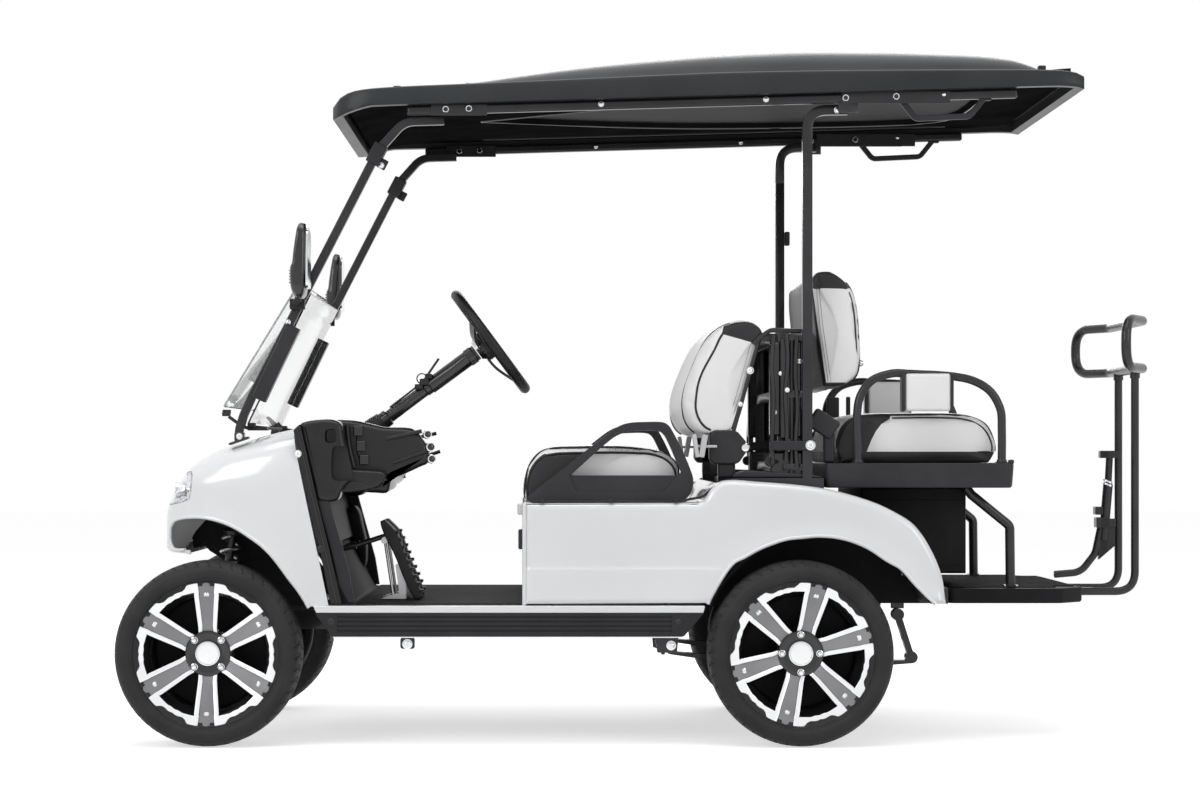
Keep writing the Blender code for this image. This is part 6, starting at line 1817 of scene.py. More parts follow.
# Armrests, rear tray, rails, pads, box, step and hand loop
ARM_OUTLINE = (
    (0.918, 0.6945), (0.907, 0.7), (0.908, 0.708), (1.1134, 0.8705), (1.15, 0.898), (1.1773, 0.9125),
    (1.2053, 0.9185), (1.24, 0.92), (1.29, 0.9195), (1.308, 0.911), (1.321, 0.892), (1.3491, 0.8366),
    (1.3711, 0.7846), (1.38, 0.752), (1.374, 0.72), (1.358, 0.7), (1.33, 0.6945),
)
ARM_WINDOW = (
    (1.0275, 0.7667), (1.1134, 0.8446), (1.15, 0.874), (1.1693, 0.8845), (1.1933, 0.8925), (1.225, 0.895),
    (1.2692, 0.895), (1.288, 0.89), (1.3032, 0.8705), (1.3451, 0.7767), (1.34, 0.7667),
)
ARM_RECESS = (
    (1.024, 0.77), (1.0275, 0.756), (1.0375, 0.7327), (1.0495, 0.72), (1.065, 0.717), (1.275, 0.717),
    (1.292, 0.72), (1.3051, 0.731), (1.3331, 0.7647), (1.34, 0.77),
)


def make_armrests():
    outline = curved([(x, 0, z) for x, z in ARM_OUTLINE], 5, True, sharp=(3,))
    window = curved([(x, 0, z) for x, z in ARM_WINDOW], 5, True, sharp=(0, 1, 9, 10))
    recess = curved([(x, 0, z) for x, z in ARM_RECESS], 5, True, sharp=(0, 9))
    body = plate([(p.x, p.z) for p in outline], -0.5068, -0.4612)
    hole = plate([(p.x, p.z) for p in window], -0.6, -0.4)
    flat = [(p.x, p.z) for p in recess]
    pocket = plate(flat, -0.6, -0.499)
    mesh = cut(body, hole, pocket)
    for name, side in SIDES:
        made = mesh.copy() if side < 0 else mirrored(mesh)
        piece(
            "armrest_frame_" + name, made, ARM_BLACK, bevel=0.0045, steps=4,
            replaces=("armrest_" + name,),
        )


TRAY_HALF_WIDTH = 0.499
TRAY_RAIL_FRONT = 1.856
TRAY_RAIL_REAR = 2.27
TRAY_BOTTOM = 0.731
TRAY_TOP = 0.802


def make_tray():
    # a shallow tray with rounded corners and an upstand at the rear
    def ring(grow, z):
        corners = [(1.756, -TRAY_HALF_WIDTH), (2.304, -TRAY_HALF_WIDTH), (2.304, TRAY_HALF_WIDTH),
                   (1.756, TRAY_HALF_WIDTH)]
        path = rounded([(x, y, 0) for x, y in corners], 0.03, 6, True)
        flat = inset([(p.x, p.y) for p in path], -grow)
        return [(x, y, z) for x, y in flat]

    outer = loft([
        ring(-0.011, TRAY_BOTTOM), ring(-0.0075, TRAY_BOTTOM + 0.002), ring(-0.005, TRAY_BOTTOM + 0.008),
        ring(-0.001, TRAY_TOP - 0.006), ring(-0.002, TRAY_TOP - 0.0015), ring(-0.005, TRAY_TOP),
    ])
    hollow = loft([ring(-0.018, TRAY_BOTTOM - 0.02), ring(-0.016, TRAY_TOP - 0.008)])
    lips = [block(2.285, 2.301, -0.495, -0.48, TRAY_TOP - 0.002, TRAY_TOP + 0.01)]
    lips.append(mirrored(lips[0]))
    piece("tray_shell", cut(outer, hollow), PLASTIC, angle=35, replaces=("rear_tray",))
    piece("tray_upstands", gathered(lips), PLASTIC, bevel=0.003)
    rails = []
    for side in (-0.465, 0.465):
        path = [
            (TRAY_RAIL_FRONT, side, 0.8), (TRAY_RAIL_FRONT, side, 0.97), (1.89, side, 1.035),
            (1.95, side, 1.0595),
            (2.0, side, 1.0595), (2.16, side, 1.047), (2.23, side, 1.015), (2.265, side, 0.96),
            (TRAY_RAIL_REAR, side, 0.9), (TRAY_RAIL_REAR, side, 0.8),
        ]
        line = curved(path, 6, False, sharp=(0,))
        rails.append(tube(line, 0.0122, 20))
        for x in (TRAY_RAIL_FRONT, TRAY_RAIL_REAR):
            rails.append(turned(
                [(0, 0), (0.02, 0), (0.02, 0.004), (0.015, 0.006), (0.014, 0.012), (0, 0.012)],
                24, (x, side, 0.8005), (0, 0, 1),
            ))
    piece("tray_rails", gathered(rails), SATIN, angle=40)
    # dark backing and clamps for the arm pads
    straps = []
    for side in (-1, 1):
        y_low, y_high = sorted((side * 0.443, side * 0.487))
        straps.append(block(1.979, 1.99, y_low, y_high, 0.95, 1.062))
        straps.append(block(2.1222, 2.129, y_low, y_high, 0.953, 1.06))
    piece("side_pad_edges", gathered(straps), BLACK_VINYL, bevel=0.003, steps=3)
    lever = block(TRAY_RAIL_FRONT, 1.896, 0.4368, 0.452, 0.944, 1.01)
    strip = block(1.918, 1.932, 0.4368, 0.452, 0.944, 1.012)
    piece("tray_inner_latches", gathered([lever, strip]), PLASTIC, bevel=0.005, steps=3)


STEP_LEG_SIDE = 0.35
STEP_LEG_FOOT = 2.3135


def make_box_and_step():
    outline = [(1.88, 0.478), (2.188, 0.478), (2.188, 0.73), (1.88, 0.73)]
    box = rounded_sides(outline, -0.329, 0.329, 0.008, 4)
    ribs = [block(1.9, 2.168, -0.331, -0.328, z, z + 0.004) for z in (0.5, 0.69)]
    ribs += [mirrored(rib) for rib in ribs]
    door = block(2.187, 2.1905, -0.29, 0.29, 0.5, 0.706)
    piece(
        "box_shell", gathered([box, door, *ribs]), DARK_PANEL, bevel=0.003, steps=3,
        replaces=("storage_box",),
    )
    catch = turned([(0, 0), (0.016, 0), (0.016, 0.005), (0.012, 0.008), (0, 0.008)], 24, (2.19, 0, 0.64),
                   (1, 0, 0))
    piece("box_catch", catch, ZINC)
    # foot plate with a ribbed top and a thick rim
    half, tail, low, high = 0.4195, 0.34, 0.3955, 0.439
    plan = [(2.1208, -half), (2.45, -half), (2.5268, -tail), (2.5268, tail), (2.45, half), (2.1208, half)]
    path = rounded([(x, y, 0) for x, y in plan], 0.03, 5, True)
    flat = [(p.x, p.y) for p in path]
    rings = [
        [(x, y, low) for x, y in inset(flat, 0.005)], [(x, y, low + 0.004) for x, y in inset(flat, 0.001)],
        [(x, y, high - 0.004) for x, y in flat], [(x, y, high - 0.001) for x, y in inset(flat, 0.0012)],
        [(x, y, high) for x, y in inset(flat, 0.0045)],
    ]
    base = loft(rings)
    ribs = []
    for k in range(21):
        side = -0.38 + 0.038 * k
        reach = 2.44 if abs(side) > 0.33 else 2.508
        ribs.append(block(2.142, reach, side - 0.007, side + 0.007, high - 0.001, high + 0.0035))
    piece("step_plate", base, DARK_PANEL, angle=35, replaces=("footstep",))
    piece("step_ribs", gathered(ribs), MAT, bevel=0.0012)
    legs = []
    for side in (-STEP_LEG_SIDE, STEP_LEG_SIDE):
        path = [
            (2.185, side, 0.728), (2.2, side, 0.709), (2.312, side, 0.618), (2.314, side, 0.438),
        ]
        legs.append(tube(rounded(path, 0.022, 6), 0.014, 20))
        legs.append(tube([(STEP_LEG_FOOT, side, 0.4385), (STEP_LEG_FOOT, side, 0.447)], 0.021, 20))
    piece("step_supports", gathered(legs), SATIN, angle=40)
    shiny = [bolt((STEP_LEG_FOOT + dx, side - 0.0105, 0.443), 0.004, (0, 0, 1))
             for side in (-STEP_LEG_SIDE, STEP_LEG_SIDE) for dx in (-0.017, 0.017)]
    piece("step_bolts", gathered(shiny), CHROME)


LOOP_PLACE = 2.727
LOOP_POST_SIDE = 0.12
LOOP_FOOT_HEIGHT = 0.415
LOOP_BASE = 1.082
LOOP_TOP = 1.223


def make_hand_loop():
    parts = []
    for side in (-LOOP_POST_SIDE, LOOP_POST_SIDE):
        path = [(2.5282, side, LOOP_FOOT_HEIGHT), (LOOP_PLACE, side, LOOP_FOOT_HEIGHT),
                (LOOP_PLACE, side, LOOP_BASE)]
        parts.append(tube(rounded(path, 0.06, 10), 0.012, 24))
    corners = [
        (LOOP_PLACE, 0.23, LOOP_BASE), (2.645, 0.385, LOOP_BASE), (2.645, 0.385, LOOP_TOP),
        (LOOP_PLACE, 0.23, LOOP_TOP),
    ]
    path = corners + [(x, -y, z) for x, y, z in corners[::-1]]
    parts.append(tube(rounded(path, 0.065, 12, True), 0.0145, 24, True, across=(1, 0, 0)))
    piece("hand_loop", gathered(parts), SATIN, angle=40, replaces=("grab_bar",))
    collars = []
    for side in (-LOOP_POST_SIDE, LOOP_POST_SIDE):
        collars.append(tube([(LOOP_PLACE, side, 1.056), (LOOP_PLACE, side, 1.076)], 0.015, 24))
        collars.append(tube([(2.53, side, LOOP_FOOT_HEIGHT), (2.542, side, LOOP_FOOT_HEIGHT)], 0.017, 24,
                            across=(0, 0, 1)))
    piece("hand_loop_collars", gathered(collars), SATIN, angle=40)


# Black bundle between the seat backs, and the bent bar at its top
def make_bundle():
    parts = []
    covers = [
        (1.602, 1.633, -0.47, -0.43, 0.88, 1.15),
        (1.63, 1.662, -0.478, -0.44, 0.87, 1.16),
        (1.66, 1.696, -0.466, -0.42, 0.875, 1.155),
    ]
    for low, high, y_low, y_high, z_low, z_high in covers:
        parts.append(block(low, high, y_low, y_high, z_low, z_high))
    parts.append(block(1.605, 1.7, -0.462, -0.415, 0.76, 0.836))
    piece("frame_covers", both(gathered(parts)), GLOSS_BLACK, bevel=0.008, steps=4)
    # folded belts and hoses that hang beside the posts
    hoses = []
    rows = (
        ((1.612, 1.17), (1.606, 1.08), (1.612, 0.98), (1.607, 0.88), (1.609, 0.8)),
        ((1.648, 1.175), (1.652, 1.09), (1.645, 1.0), (1.65, 0.9), (1.647, 0.81)),
        ((1.678, 1.165), (1.674, 1.06), (1.68, 0.96), (1.675, 0.86), (1.679, 0.79)),
    )
    for row in rows:
        line = curved([(x, -0.484, z) for x, z in row], 6, False)
        hoses.append(tube(line, 0.0062, 12))
    piece("frame_hoses", both(gathered(hoses)), SATIN)
    bar = []
    for side in (-0.44, 0.44):
        path = [(1.556, side, 1.145), (1.575, side, 1.165), (1.605, side, 1.186), (1.695, side, 1.183)]
        bar.append(sweep(rounded(path, 0.03, 6), box_section(0.013, 0.03)))
        drop = [(1.572, side, 1.162), (1.564, side, 1.13), (1.495, side, 0.88)]
        bar.append(sweep(rounded(drop, 0.02, 5), box_section(0.011, 0.026)))
    piece("frame_bent_bars", gathered(bar), SATIN, bevel=0.003)
    shiny = [
        bolt((1.65, -0.4905, 1.012), 0.005), bolt((1.615, -0.476, 0.948), 0.0045),
        bolt((1.686, -0.476, 1.095), 0.0045), bolt((1.632, -0.476, 1.06), 0.0042),
    ]
    piece("frame_screws", both(gathered(shiny)), CHROME)
    deck = plate(
        [(1.495, 0.76), (1.495, 0.77), (1.53, 0.78), (1.71, 0.772), (1.75, 0.76)],
        -0.49, -0.34,
    )
    piece("deck_covers", both(gathered([deck])), PLASTIC, bevel=0.006, steps=3)


make_armrests()
make_tray()
make_box_and_step()
make_hand_loop()
make_bundle()


# Dash, pillars, column, steering wheel, pedals, floor and sills
BEZEL = (
    (0.2576, 0.909), (0.2701, 0.9193), (0.3122, 0.9261), (0.3525, 0.9261), (0.3753, 0.9136), (0.3824, 0.8766),
    (0.3952, 0.8198), (0.4037, 0.78), (0.4065, 0.7573), (0.3895, 0.7402), (0.3753, 0.7203), (0.3639, 0.698),
    (0.3298, 0.692), (0.3042, 0.699), (0.2971, 0.7317), (0.2843, 0.7828), (0.2673, 0.8539),
)
CONSOLE = (
    (0.3349, 0.9147), (0.3925, 0.9262), (0.4559, 0.9147), (0.4963, 0.9061), (0.5655, 0.9032),
    (0.5885, 0.8916),
    (0.6058, 0.8686), (0.618, 0.8513), (0.6195, 0.8052), (0.5943, 0.7908), (0.5511, 0.7706), (0.5136, 0.7533),
    (0.5021, 0.7187), (0.4732, 0.7158), (0.3925, 0.7245), (0.33, 0.7533),
)
CONSOLE_SIDE = 0.469
CONSOLE_ROOT = 0.33
CONSOLE_TAPER_SHARE = 0.2
FIREWALL_SIDE = 0.54
PILLAR_SIDE = 0.5775
PILLAR_FACE = 0.578


def flat_curve(rows, steps=4, sharp=()):
    return [(p.x, p.z) for p in curved([(x, 0, z) for x, z in rows], steps, True, sharp)]


def make_dash():
    """Dash with its console, pillar strips, firewall and kick panels."""
    bezel = rounded_sides(flat_curve(BEZEL), -0.567, -0.47, 0.016, 6)
    hole = rounded_sides(
        flat_curve([(0.33, 0.866), (0.33, 0.89), (0.334, 0.897), (0.356, 0.898), (0.36, 0.892),
                    (0.362, 0.868), (0.357, 0.862), (0.335, 0.861)]),
        -0.6, -0.53, 0.003, 3,
    )
    tray = flat_curve([(0.348, 0.77), (0.35, 0.84), (0.356, 0.85), (0.38, 0.85), (0.42, 0.84),
                       (0.42, 0.762), (0.38, 0.752), (0.354, 0.756)])
    bezel = cut(bezel, hole, plate(tray, -0.6, -0.535))
    console = rounded_sides(flat_curve(CONSOLE), -CONSOLE_SIDE, CONSOLE_SIDE, 0.02, 6)
    for vertex in console.vertices:
        share = (vertex.co.y + CONSOLE_SIDE) / (2 * CONSOLE_SIDE)
        vertex.co.x = CONSOLE_ROOT + (vertex.co.x - CONSOLE_ROOT) * (1 - CONSOLE_TAPER_SHARE * share)
    shelf = rounded_sides(
        flat_curve([(0.3, 0.76), (0.3, 0.78), (0.47, 0.78), (0.5, 0.768), (0.47, 0.73), (0.33, 0.72)]),
        -0.52, 0.52, 0.01, 4,
    )
    mesh = gathered([bezel, mirrored(bezel), console, shelf])
    piece("dash_skin", mesh, DASH_BLACK, angle=32, replaces=("dash",))
    ribs = []
    for start, end in (((0.4997, 0.872), (0.6, 0.894)), ((0.517, 0.8029), (0.612, 0.836)),
                       ((0.43, 0.742), (0.5, 0.756))):
        ribs.append(tube([(start[0], -CONSOLE_SIDE, start[1]), (end[0], -CONSOLE_SIDE, end[1])], 0.006, 12))
    ribs.append(tube(curved([(0.42, -CONSOLE_SIDE, 0.908), (0.415, -CONSOLE_SIDE, 0.85),
                             (0.428, -CONSOLE_SIDE, 0.8)], 5, False), 0.005, 12))
    ribs.append(tube(curved([(0.386, -0.49, 0.912), (0.392, -0.49, 0.85), (0.406, -0.49, 0.79)], 5, False),
                     0.006, 12))
    piece("dash_ribs", both(gathered(ribs)), DASH_BLACK)
    keys = []
    for x, z in ((0.403, 0.896), (0.411, 0.852), (0.42, 0.812)):
        keys.append(block(x, x + 0.028, -0.48, -0.466, z - 0.016, z + 0.014))
    piece("dash_switches", both(gathered(keys)), GLOSS_BLACK, bevel=0.004, steps=3)
    rings = []
    eyes = []
    for x, z, radius in ((0.614, 0.8838, 0.013), (0.623, 0.8477, 0.0145), (0.626, 0.813, 0.013)):
        profile = [
            (radius * 0.55, 0), (radius, 0), (radius * 1.04, 0.006), (radius * 0.94, 0.011),
            (radius * 0.72, 0.012),
            (radius * 0.55, 0.008),
        ]
        rings.append(turned(profile, 28, (x, -0.455, z), (0.3, -1, 0.08), ring=True))
        eyes.append(turned([(0, 0), (radius * 0.6, 0), (radius * 0.56, 0.008), (0, 0.01)], 20,
                           (x, -0.455, z), (0.3, -1, 0.08)))
    piece("dash_key_rings", gathered(rings), CHROME)
    piece("dash_key_eyes", gathered(eyes), GLOSS_BLACK)
    # black strips behind the cowl's rear edge, with a thin line and bolts
    strip = [
        (0.24, 0.8964), (0.2797, 0.6978), (0.3166, 0.5502), (0.346, 0.4), (0.379, 0.4), (0.342, 0.56),
        (0.3052, 0.7091), (0.2598, 0.914),
    ]
    posts = plate(strip, -PILLAR_SIDE, -0.5605)
    piece("pillar_strips", both(posts), DASH_BLACK, bevel=0.004, steps=3)
    line = [(0.252, -PILLAR_FACE, 0.9), (0.295, -PILLAR_FACE, 0.704), (0.331, -PILLAR_FACE, 0.556),
            (0.364, -PILLAR_FACE, 0.406)]
    piece("pillar_lines", both(tube(line, 0.0016, 8)), GLOSS_BLACK)
    shiny = [bolt((0.2535, -PILLAR_SIDE, 0.829), 0.0075)]
    piece("pillar_bolts", both(gathered(shiny)), CHROME)
    dull = [bolt((0.318, -PILLAR_SIDE, 0.559), 0.0075)]
    piece("pillar_screws", both(gathered(dull)), SATIN)
    # firewall and kick panels inside the pillars
    wall = plate([(0.286, 0.708), (0.3, 0.708), (0.335, 0.564), (0.322, 0.562)], -FIREWALL_SIDE,
                 FIREWALL_SIDE)
    kick = plate(
        [(0.306, 0.7), (0.34, 0.7), (0.362, 0.62), (0.398, 0.49), (0.412, 0.403), (0.38, 0.403),
         (0.343, 0.56)],
        -0.559, -FIREWALL_SIDE,
    )
    ledge = rounded_sides(
        flat_curve([(0.31, 0.64), (0.34, 0.66), (0.362, 0.6), (0.376, 0.52), (0.36, 0.46), (0.34, 0.52)]),
        -FIREWALL_SIDE, -0.43, 0.014, 5,
    )
    piece("firewall_panel", wall, DARK_PANEL, bevel=0.003)
    piece("kick_panels", both(kick), PLASTIC, bevel=0.004, steps=3)
    piece("kick_ledges", both(ledge), DARK_PANEL, angle=35)


COLUMN_SIDE = -0.27
RIM_STEPS = 72
RIM_RADIUS = 0.1695
STEERING_CENTRE = Vector((0.793, COLUMN_SIDE, 1.159))
STEERING_AXIS = Vector((0.80443, 0, 0.59404)).normalized()


def make_steering():
    axis = STEERING_AXIS
    foot = Vector((0.468, COLUMN_SIDE, 0.919))
    tip = STEERING_CENTRE - axis * 0.05
    length = (tip - foot).length
    profile = [
        (0, 0.004), (0.025, 0.004), (0.025, 0.03), (0.019, 0.034), (0.018, length * 0.46),
        (0.0205, length * 0.47),
        (0.0205, length * 0.51), (0.0235, length * 0.52), (0.024, length * 0.9), (0.0265, length * 0.91),
        (0.0265, length * 0.965), (0.024, length * 0.975), (0.024, length - 0.001), (0, length - 0.001),
    ]
    piece("column_tube", turned(profile, 40, foot, axis), GLOSS_BLACK,
          replaces=("steering_column",))
    # split shroud and boot where the column leaves the dash
    shroud = turned([(0, -0.085), (0.034, -0.085), (0.031, -0.02), (0.0285, 0.008), (0.0265, 0.01),
                     (0, 0.01)], 36, foot, axis)
    piece("column_shroud", shroud, DASH_BLACK)
    folds = []
    boot_axis = Vector((0.28, 0, -1)).normalized()
    start = Vector((0.47, COLUMN_SIDE, 0.896))
    for k in range(5):
        radius = 0.03 - 0.0028 * k
        at = start + boot_axis * (0.011 * k)
        folds.append(turned([(0, 0), (radius * 0.86, 0), (radius, 0.0045), (radius * 0.86, 0.009),
                             (0, 0.009)], 28, at, boot_axis))
    piece("column_boot", gathered(folds), RUBBER)
    # clamp, catch and lever part way up
    at = foot + axis * (length * 0.5)
    up = Vector((-axis.z, 0, axis.x))
    parts = []
    for shift, rise, size in ((0, 0.02, 0.014), (0.02, 0.026, 0.011), (-0.022, 0.018, 0.012)):
        spot = at + axis * shift + up * rise
        parts.append(block(spot.x - size, spot.x + size, -0.295, -0.245, spot.z - size * 0.7,
                           spot.z + size * 0.7))
    piece("column_clamp", gathered(parts), PLASTIC, bevel=0.004, steps=3)
    aside = Vector((0, -0.02, 0))
    lever = tube([at + up * 0.024 + aside, at + axis * 0.075 + up * 0.05 + aside], 0.0036, 14)
    loop = turned([(0.013, 0), (0.0165, 0.002), (0.0165, 0.006), (0.013, 0.008)], 28,
                  at + up * 0.032 + Vector((0, -0.016, 0)), (0, -1, 0), ring=True)
    cable = tube([foot + axis * 0.05 + up * 0.021, foot + axis * (length * 0.46) + up * 0.023], 0.003, 12)
    piece("column_lever", gathered([lever, loop, cable]), SATIN)
    # steering wheel
    side = Vector((0, 1, 0))
    rise = axis.cross(side).normalized()
    path = []
    for k in range(RIM_STEPS):
        angle = 2 * math.pi * k / RIM_STEPS
        path.append(STEERING_CENTRE + (side * math.cos(angle) + rise * math.sin(angle)) * RIM_RADIUS)
    rim = sweep(path, ring_section(0.016, 18), True, axis)
    spokes = []
    for degrees in (-90, 30, 150):
        angle = math.radians(degrees)
        out = side * math.cos(angle) + rise * math.sin(angle)
        line = [
            STEERING_CENTRE - axis * 0.036 + out * 0.02, STEERING_CENTRE - axis * 0.033 + out * 0.07,
            STEERING_CENTRE - axis * 0.015 + out * 0.125, STEERING_CENTRE + out * 0.16,
        ]
        line = curved(line, 6, False)
        spokes.append(sweep(line, box_section(0.008, 0.03), False, out.cross(axis)))
    hub = turned(
        [(0, -0.046), (0.028, -0.046), (0.042, -0.036), (0.045, -0.024), (0.043, -0.014), (0.033, -0.008),
         (0, -0.005)],
        40, STEERING_CENTRE, axis,
    )
    piece(
        "steering_rim", rim, WHEEL_GRIP, "steering_wheel", centre=STEERING_CENTRE,
        replaces=("steering_wheel",),
    )
    piece("steering_spokes", gathered([*spokes, hub]), DASH_BLACK, "steering_wheel", centre=STEERING_CENTRE,
          bevel=0.002)
    bell = turned(
        [(0, -0.049), (0.03, -0.049), (0.033, -0.045), (0.04, -0.038), (0.044, -0.033), (0.038, -0.033),
         (0, -0.04)],
        40, STEERING_CENTRE, axis,
    )
    piece("steering_bell", bell, CHROME, "steering_wheel", centre=STEERING_CENTRE)


PEDAL_PAD = (
    (0.474, 0.6301), (0.481, 0.635), (0.488, 0.6336), (0.5232, 0.5949), (0.5513, 0.5176), (0.574, 0.465),
    (0.5935, 0.4156), (0.59, 0.407), (0.574, 0.407), (0.5443, 0.4613), (0.5162, 0.5316), (0.4845, 0.5949),
)


PEDAL_SIDES = (-0.33, -0.18)
PEDAL_HALF_WIDTHS = (0.046, 0.034)


def make_pedals():
    pads = []
    metal = []
    for side, half in zip(PEDAL_SIDES, PEDAL_HALF_WIDTHS):
        outline = flat_curve(PEDAL_PAD)
        pads.append(rounded_sides(outline, side - half, side + half, 0.005, 3))
        for k in range(9):
            share = k / 8
            x = 0.515 + 0.072 * share
            z = 0.6 - 0.172 * share
            pads.append(block(x - 0.003, x + 0.011, side - half + 0.006, side + half - 0.006, z - 0.004,
                              z + 0.004))
        metal.append(tube([(0.4866, side - 0.02, 0.5738), (0.5107, side - 0.02, 0.412)], 0.0045, 14))
        metal.append(turned([(0, -0.01), (0.0105, -0.01), (0.0105, 0.01), (0, 0.01)], 20,
                            (0.486, side - 0.02, 0.576), (0, 1, 0)))
        bracket = [(0.5162, 0.5035), (0.5302, 0.5105), (0.548, 0.4824), (0.55, 0.406), (0.5268, 0.406),
                   (0.5232, 0.4543)]
        metal.append(plate(bracket, side - 0.012, side - 0.006))
        metal.append(plate([(0.47, 0.4045), (0.5232, 0.42), (0.548, 0.42), (0.548, 0.4045)], side - 0.026,
                           side + 0.01))
    links = [
        *[tube([(0.401, side, 0.56), (0.478, side, 0.585)], 0.007, 14) for side in PEDAL_SIDES],
        turned([(0, 0), (0.018, 0), (0.018, 0.016), (0.012, 0.02), (0, 0.02)], 24, (0.34, -0.33, 0.548),
               (1, 0, 0.3)),
        *[tube([(0.345, side, 0.55), (0.401, side, 0.56)], 0.0095, 16) for side in PEDAL_SIDES],
    ]
    piece("pedal_pads", gathered(pads), RUBBER, bevel=0.0012, replaces=("pedals",))
    piece("pedal_arms", gathered(metal), ZINC, bevel=0.0008)
    piece("pedal_links", gathered(links), SATIN)


HANGER_TOP = 0.312


def make_mats_and_sills():
    ribs = []
    for k in range(37):
        side = -0.54 + 0.03 * k
        ribs.append(block(0.415, 0.888, side - 0.009, side + 0.009, 0.399, 0.4025))
    piece("floor_mat_ribs", gathered(ribs), MAT, bevel=0.001)
    rocker = [
        (0.305, 0.3785), (0.354, 0.3125), (1.348, 0.3125), (1.404, 0.3785),
    ]
    body = plate(rocker, -0.613, -0.561)
    grooves = []
    for z in (0.329, 0.342, 0.355, 0.368):
        grooves.append(block(0.37, 1.312, -0.63, -0.608, z - 0.0026, z + 0.0026))
    joints = [block(0.368, 0.3695, -0.63, -0.611, 0.3, 0.39), block(1.3125, 1.314, -0.63, -0.611, 0.3, 0.39)]
    body = cut(body, *grooves, *joints)
    for name, side in SIDES:
        made = body.copy() if side < 0 else mirrored(body)
        piece("sill_rocker_" + name, made, SILL_BLACK, bevel=0.002, replaces=("sill_" + name,))
    strip = plate([(0.3, 0.399), (0.308, 0.3792), (1.4035, 0.3792), (1.408, 0.399)], -0.6145, -0.562)
    piece("sill_white_strips", both(strip), WHITE, bevel=0.003, steps=3)
    bright = block(0.356, 1.344, -0.6125, -0.57, 0.3085, 0.3125)
    piece("sill_bright_lines", both(bright), CHROME, bevel=0.001)
    screws = [bolt((0.351, -0.613, 0.3555), 0.0075), bolt((1.332, -0.613, 0.3555), 0.0065)]
    piece("sill_screws", both(gathered(screws)), SATIN)
    tab = plate(rounded_flat([(0.545, 0.3085), (0.545, 0.276), (0.5865, 0.276), (0.5865, 0.3085)], 0.008),
                -0.595, -0.585)
    hanger = plate([(1.266, HANGER_TOP), (1.27, 0.262), (1.3, 0.254), (1.334, 0.26), (1.334, HANGER_TOP)],
                   -0.338, -0.315)
    outer_hanger = plate([(1.266, HANGER_TOP), (1.274, 0.264), (1.33, 0.264), (1.334, HANGER_TOP)], -0.58,
                         -0.57)
    piece("sill_brackets", both(gathered([tab, hanger, outer_hanger])), SATIN, bevel=0.002)
    nuts = [bolt((0.5655, -0.595, 0.29), 0.01), bolt((1.313, -0.58, 0.285), 0.0095)]
    rings = [
        turned([(0.0105, 0), (0.014, 0), (0.014, 0.002), (0.0105, 0.002)], 24, (0.5655, -0.595, 0.29),
               (0, -1, 0), ring=True),
        turned([(0.01, 0), (0.013, 0), (0.013, 0.002), (0.01, 0.002)], 24, (1.313, -0.58, 0.285),
               (0, -1, 0), ring=True),
    ]
    piece("sill_bracket_bolts", both(gathered([*nuts, *rings])), CHROME)


def rounded_flat(rows, radius):
    return [(p.x, p.z) for p in rounded([(x, 0, z) for x, z in rows], radius, 5, True)]


# Posts, sleeves, mirrors, screen trim, shocks and liners
def post_ends(side):
    """Foot and head of the straight part of a roof post."""
    return Vector((0.072, side, 0.858)), Vector((0.476, side, 1.7))


def make_front_posts():
    for name, side in SIDES:
        y = side * 0.485
        rail = roof_low(0.6) - 0.027
        path = [
            (0.079, y, 0.87), (0.076, y, 0.895), (0.09, y, 0.94), (0.1136, y, 0.9933),
            (0.476, y, 1.7), (0.55, y, rail - 0.013), (0.665, y, rail - 0.01),
        ]
        post = sweep(rounded(path, 0.07, 9), box_section(0.025, 0.025))
        foot = [
            sweep([(0.048, y, 0.856), (0.105, y, 0.876)], box_section(0.007, 0.044)),
            block(0.064, 0.092, y - 0.02, y + 0.02, 0.866, 0.89),
        ]
        piece(
            "roof_post_" + name, gathered([post, *foot]), SATIN, bevel=0.0035, steps=3,
            replaces=("front_post_" + name,),
        )
        base, head = post_ends(y)
        sleeve = sweep([base.lerp(head, 0.15), base.lerp(head, 0.4)], box_section(0.042, 0.042))
        piece("post_sleeve_" + name, sleeve, ARM_BLACK, bevel=0.003, steps=3)
        low = base.lerp(head, 0.955)
        high = head + Vector((0.01, 0, 0.016))
        clamp = sweep([low, high], box_section(0.04, 0.04))
        away = Vector((0.03, 0, -0.018))
        ear = sweep([low + away * 0.8, low + away * 0.8 + Vector((0.014, 0, 0.026))],
                    box_section(0.024, 0.014))
        piece("post_clamp_" + name, gathered([clamp, ear]), PLASTIC, bevel=0.003, steps=3)
        shiny = [
            bolt((0.242, y + side * 0.0125, 1.256), 0.007, (0, side, 0)),
            bolt((0.218, y + side * 0.0125, 1.206), 0.0055, (0, side, 0)),
            bolt((0.079, y + side * 0.02, 0.879), 0.0065, (0, side, 0)),
            bolt(tuple(low + away * 0.9 + Vector((0, side * 0.007, 0.01))), 0.006, (0, side, 0)),
        ]
        piece("post_bolts_" + name, gathered(shiny), CHROME)


MIRROR_OUTLINE = (
    (0.2616, 1.478), (0.2745, 1.4815), (0.283, 1.477), (0.287, 1.451), (0.285, 1.3389), (0.2794, 1.285),
    (0.27, 1.268), (0.256, 1.268), (0.2438, 1.2803), (0.237, 1.3083), (0.237, 1.3542), (0.242, 1.3644),
    (0.2463, 1.4), (0.254, 1.451),
)


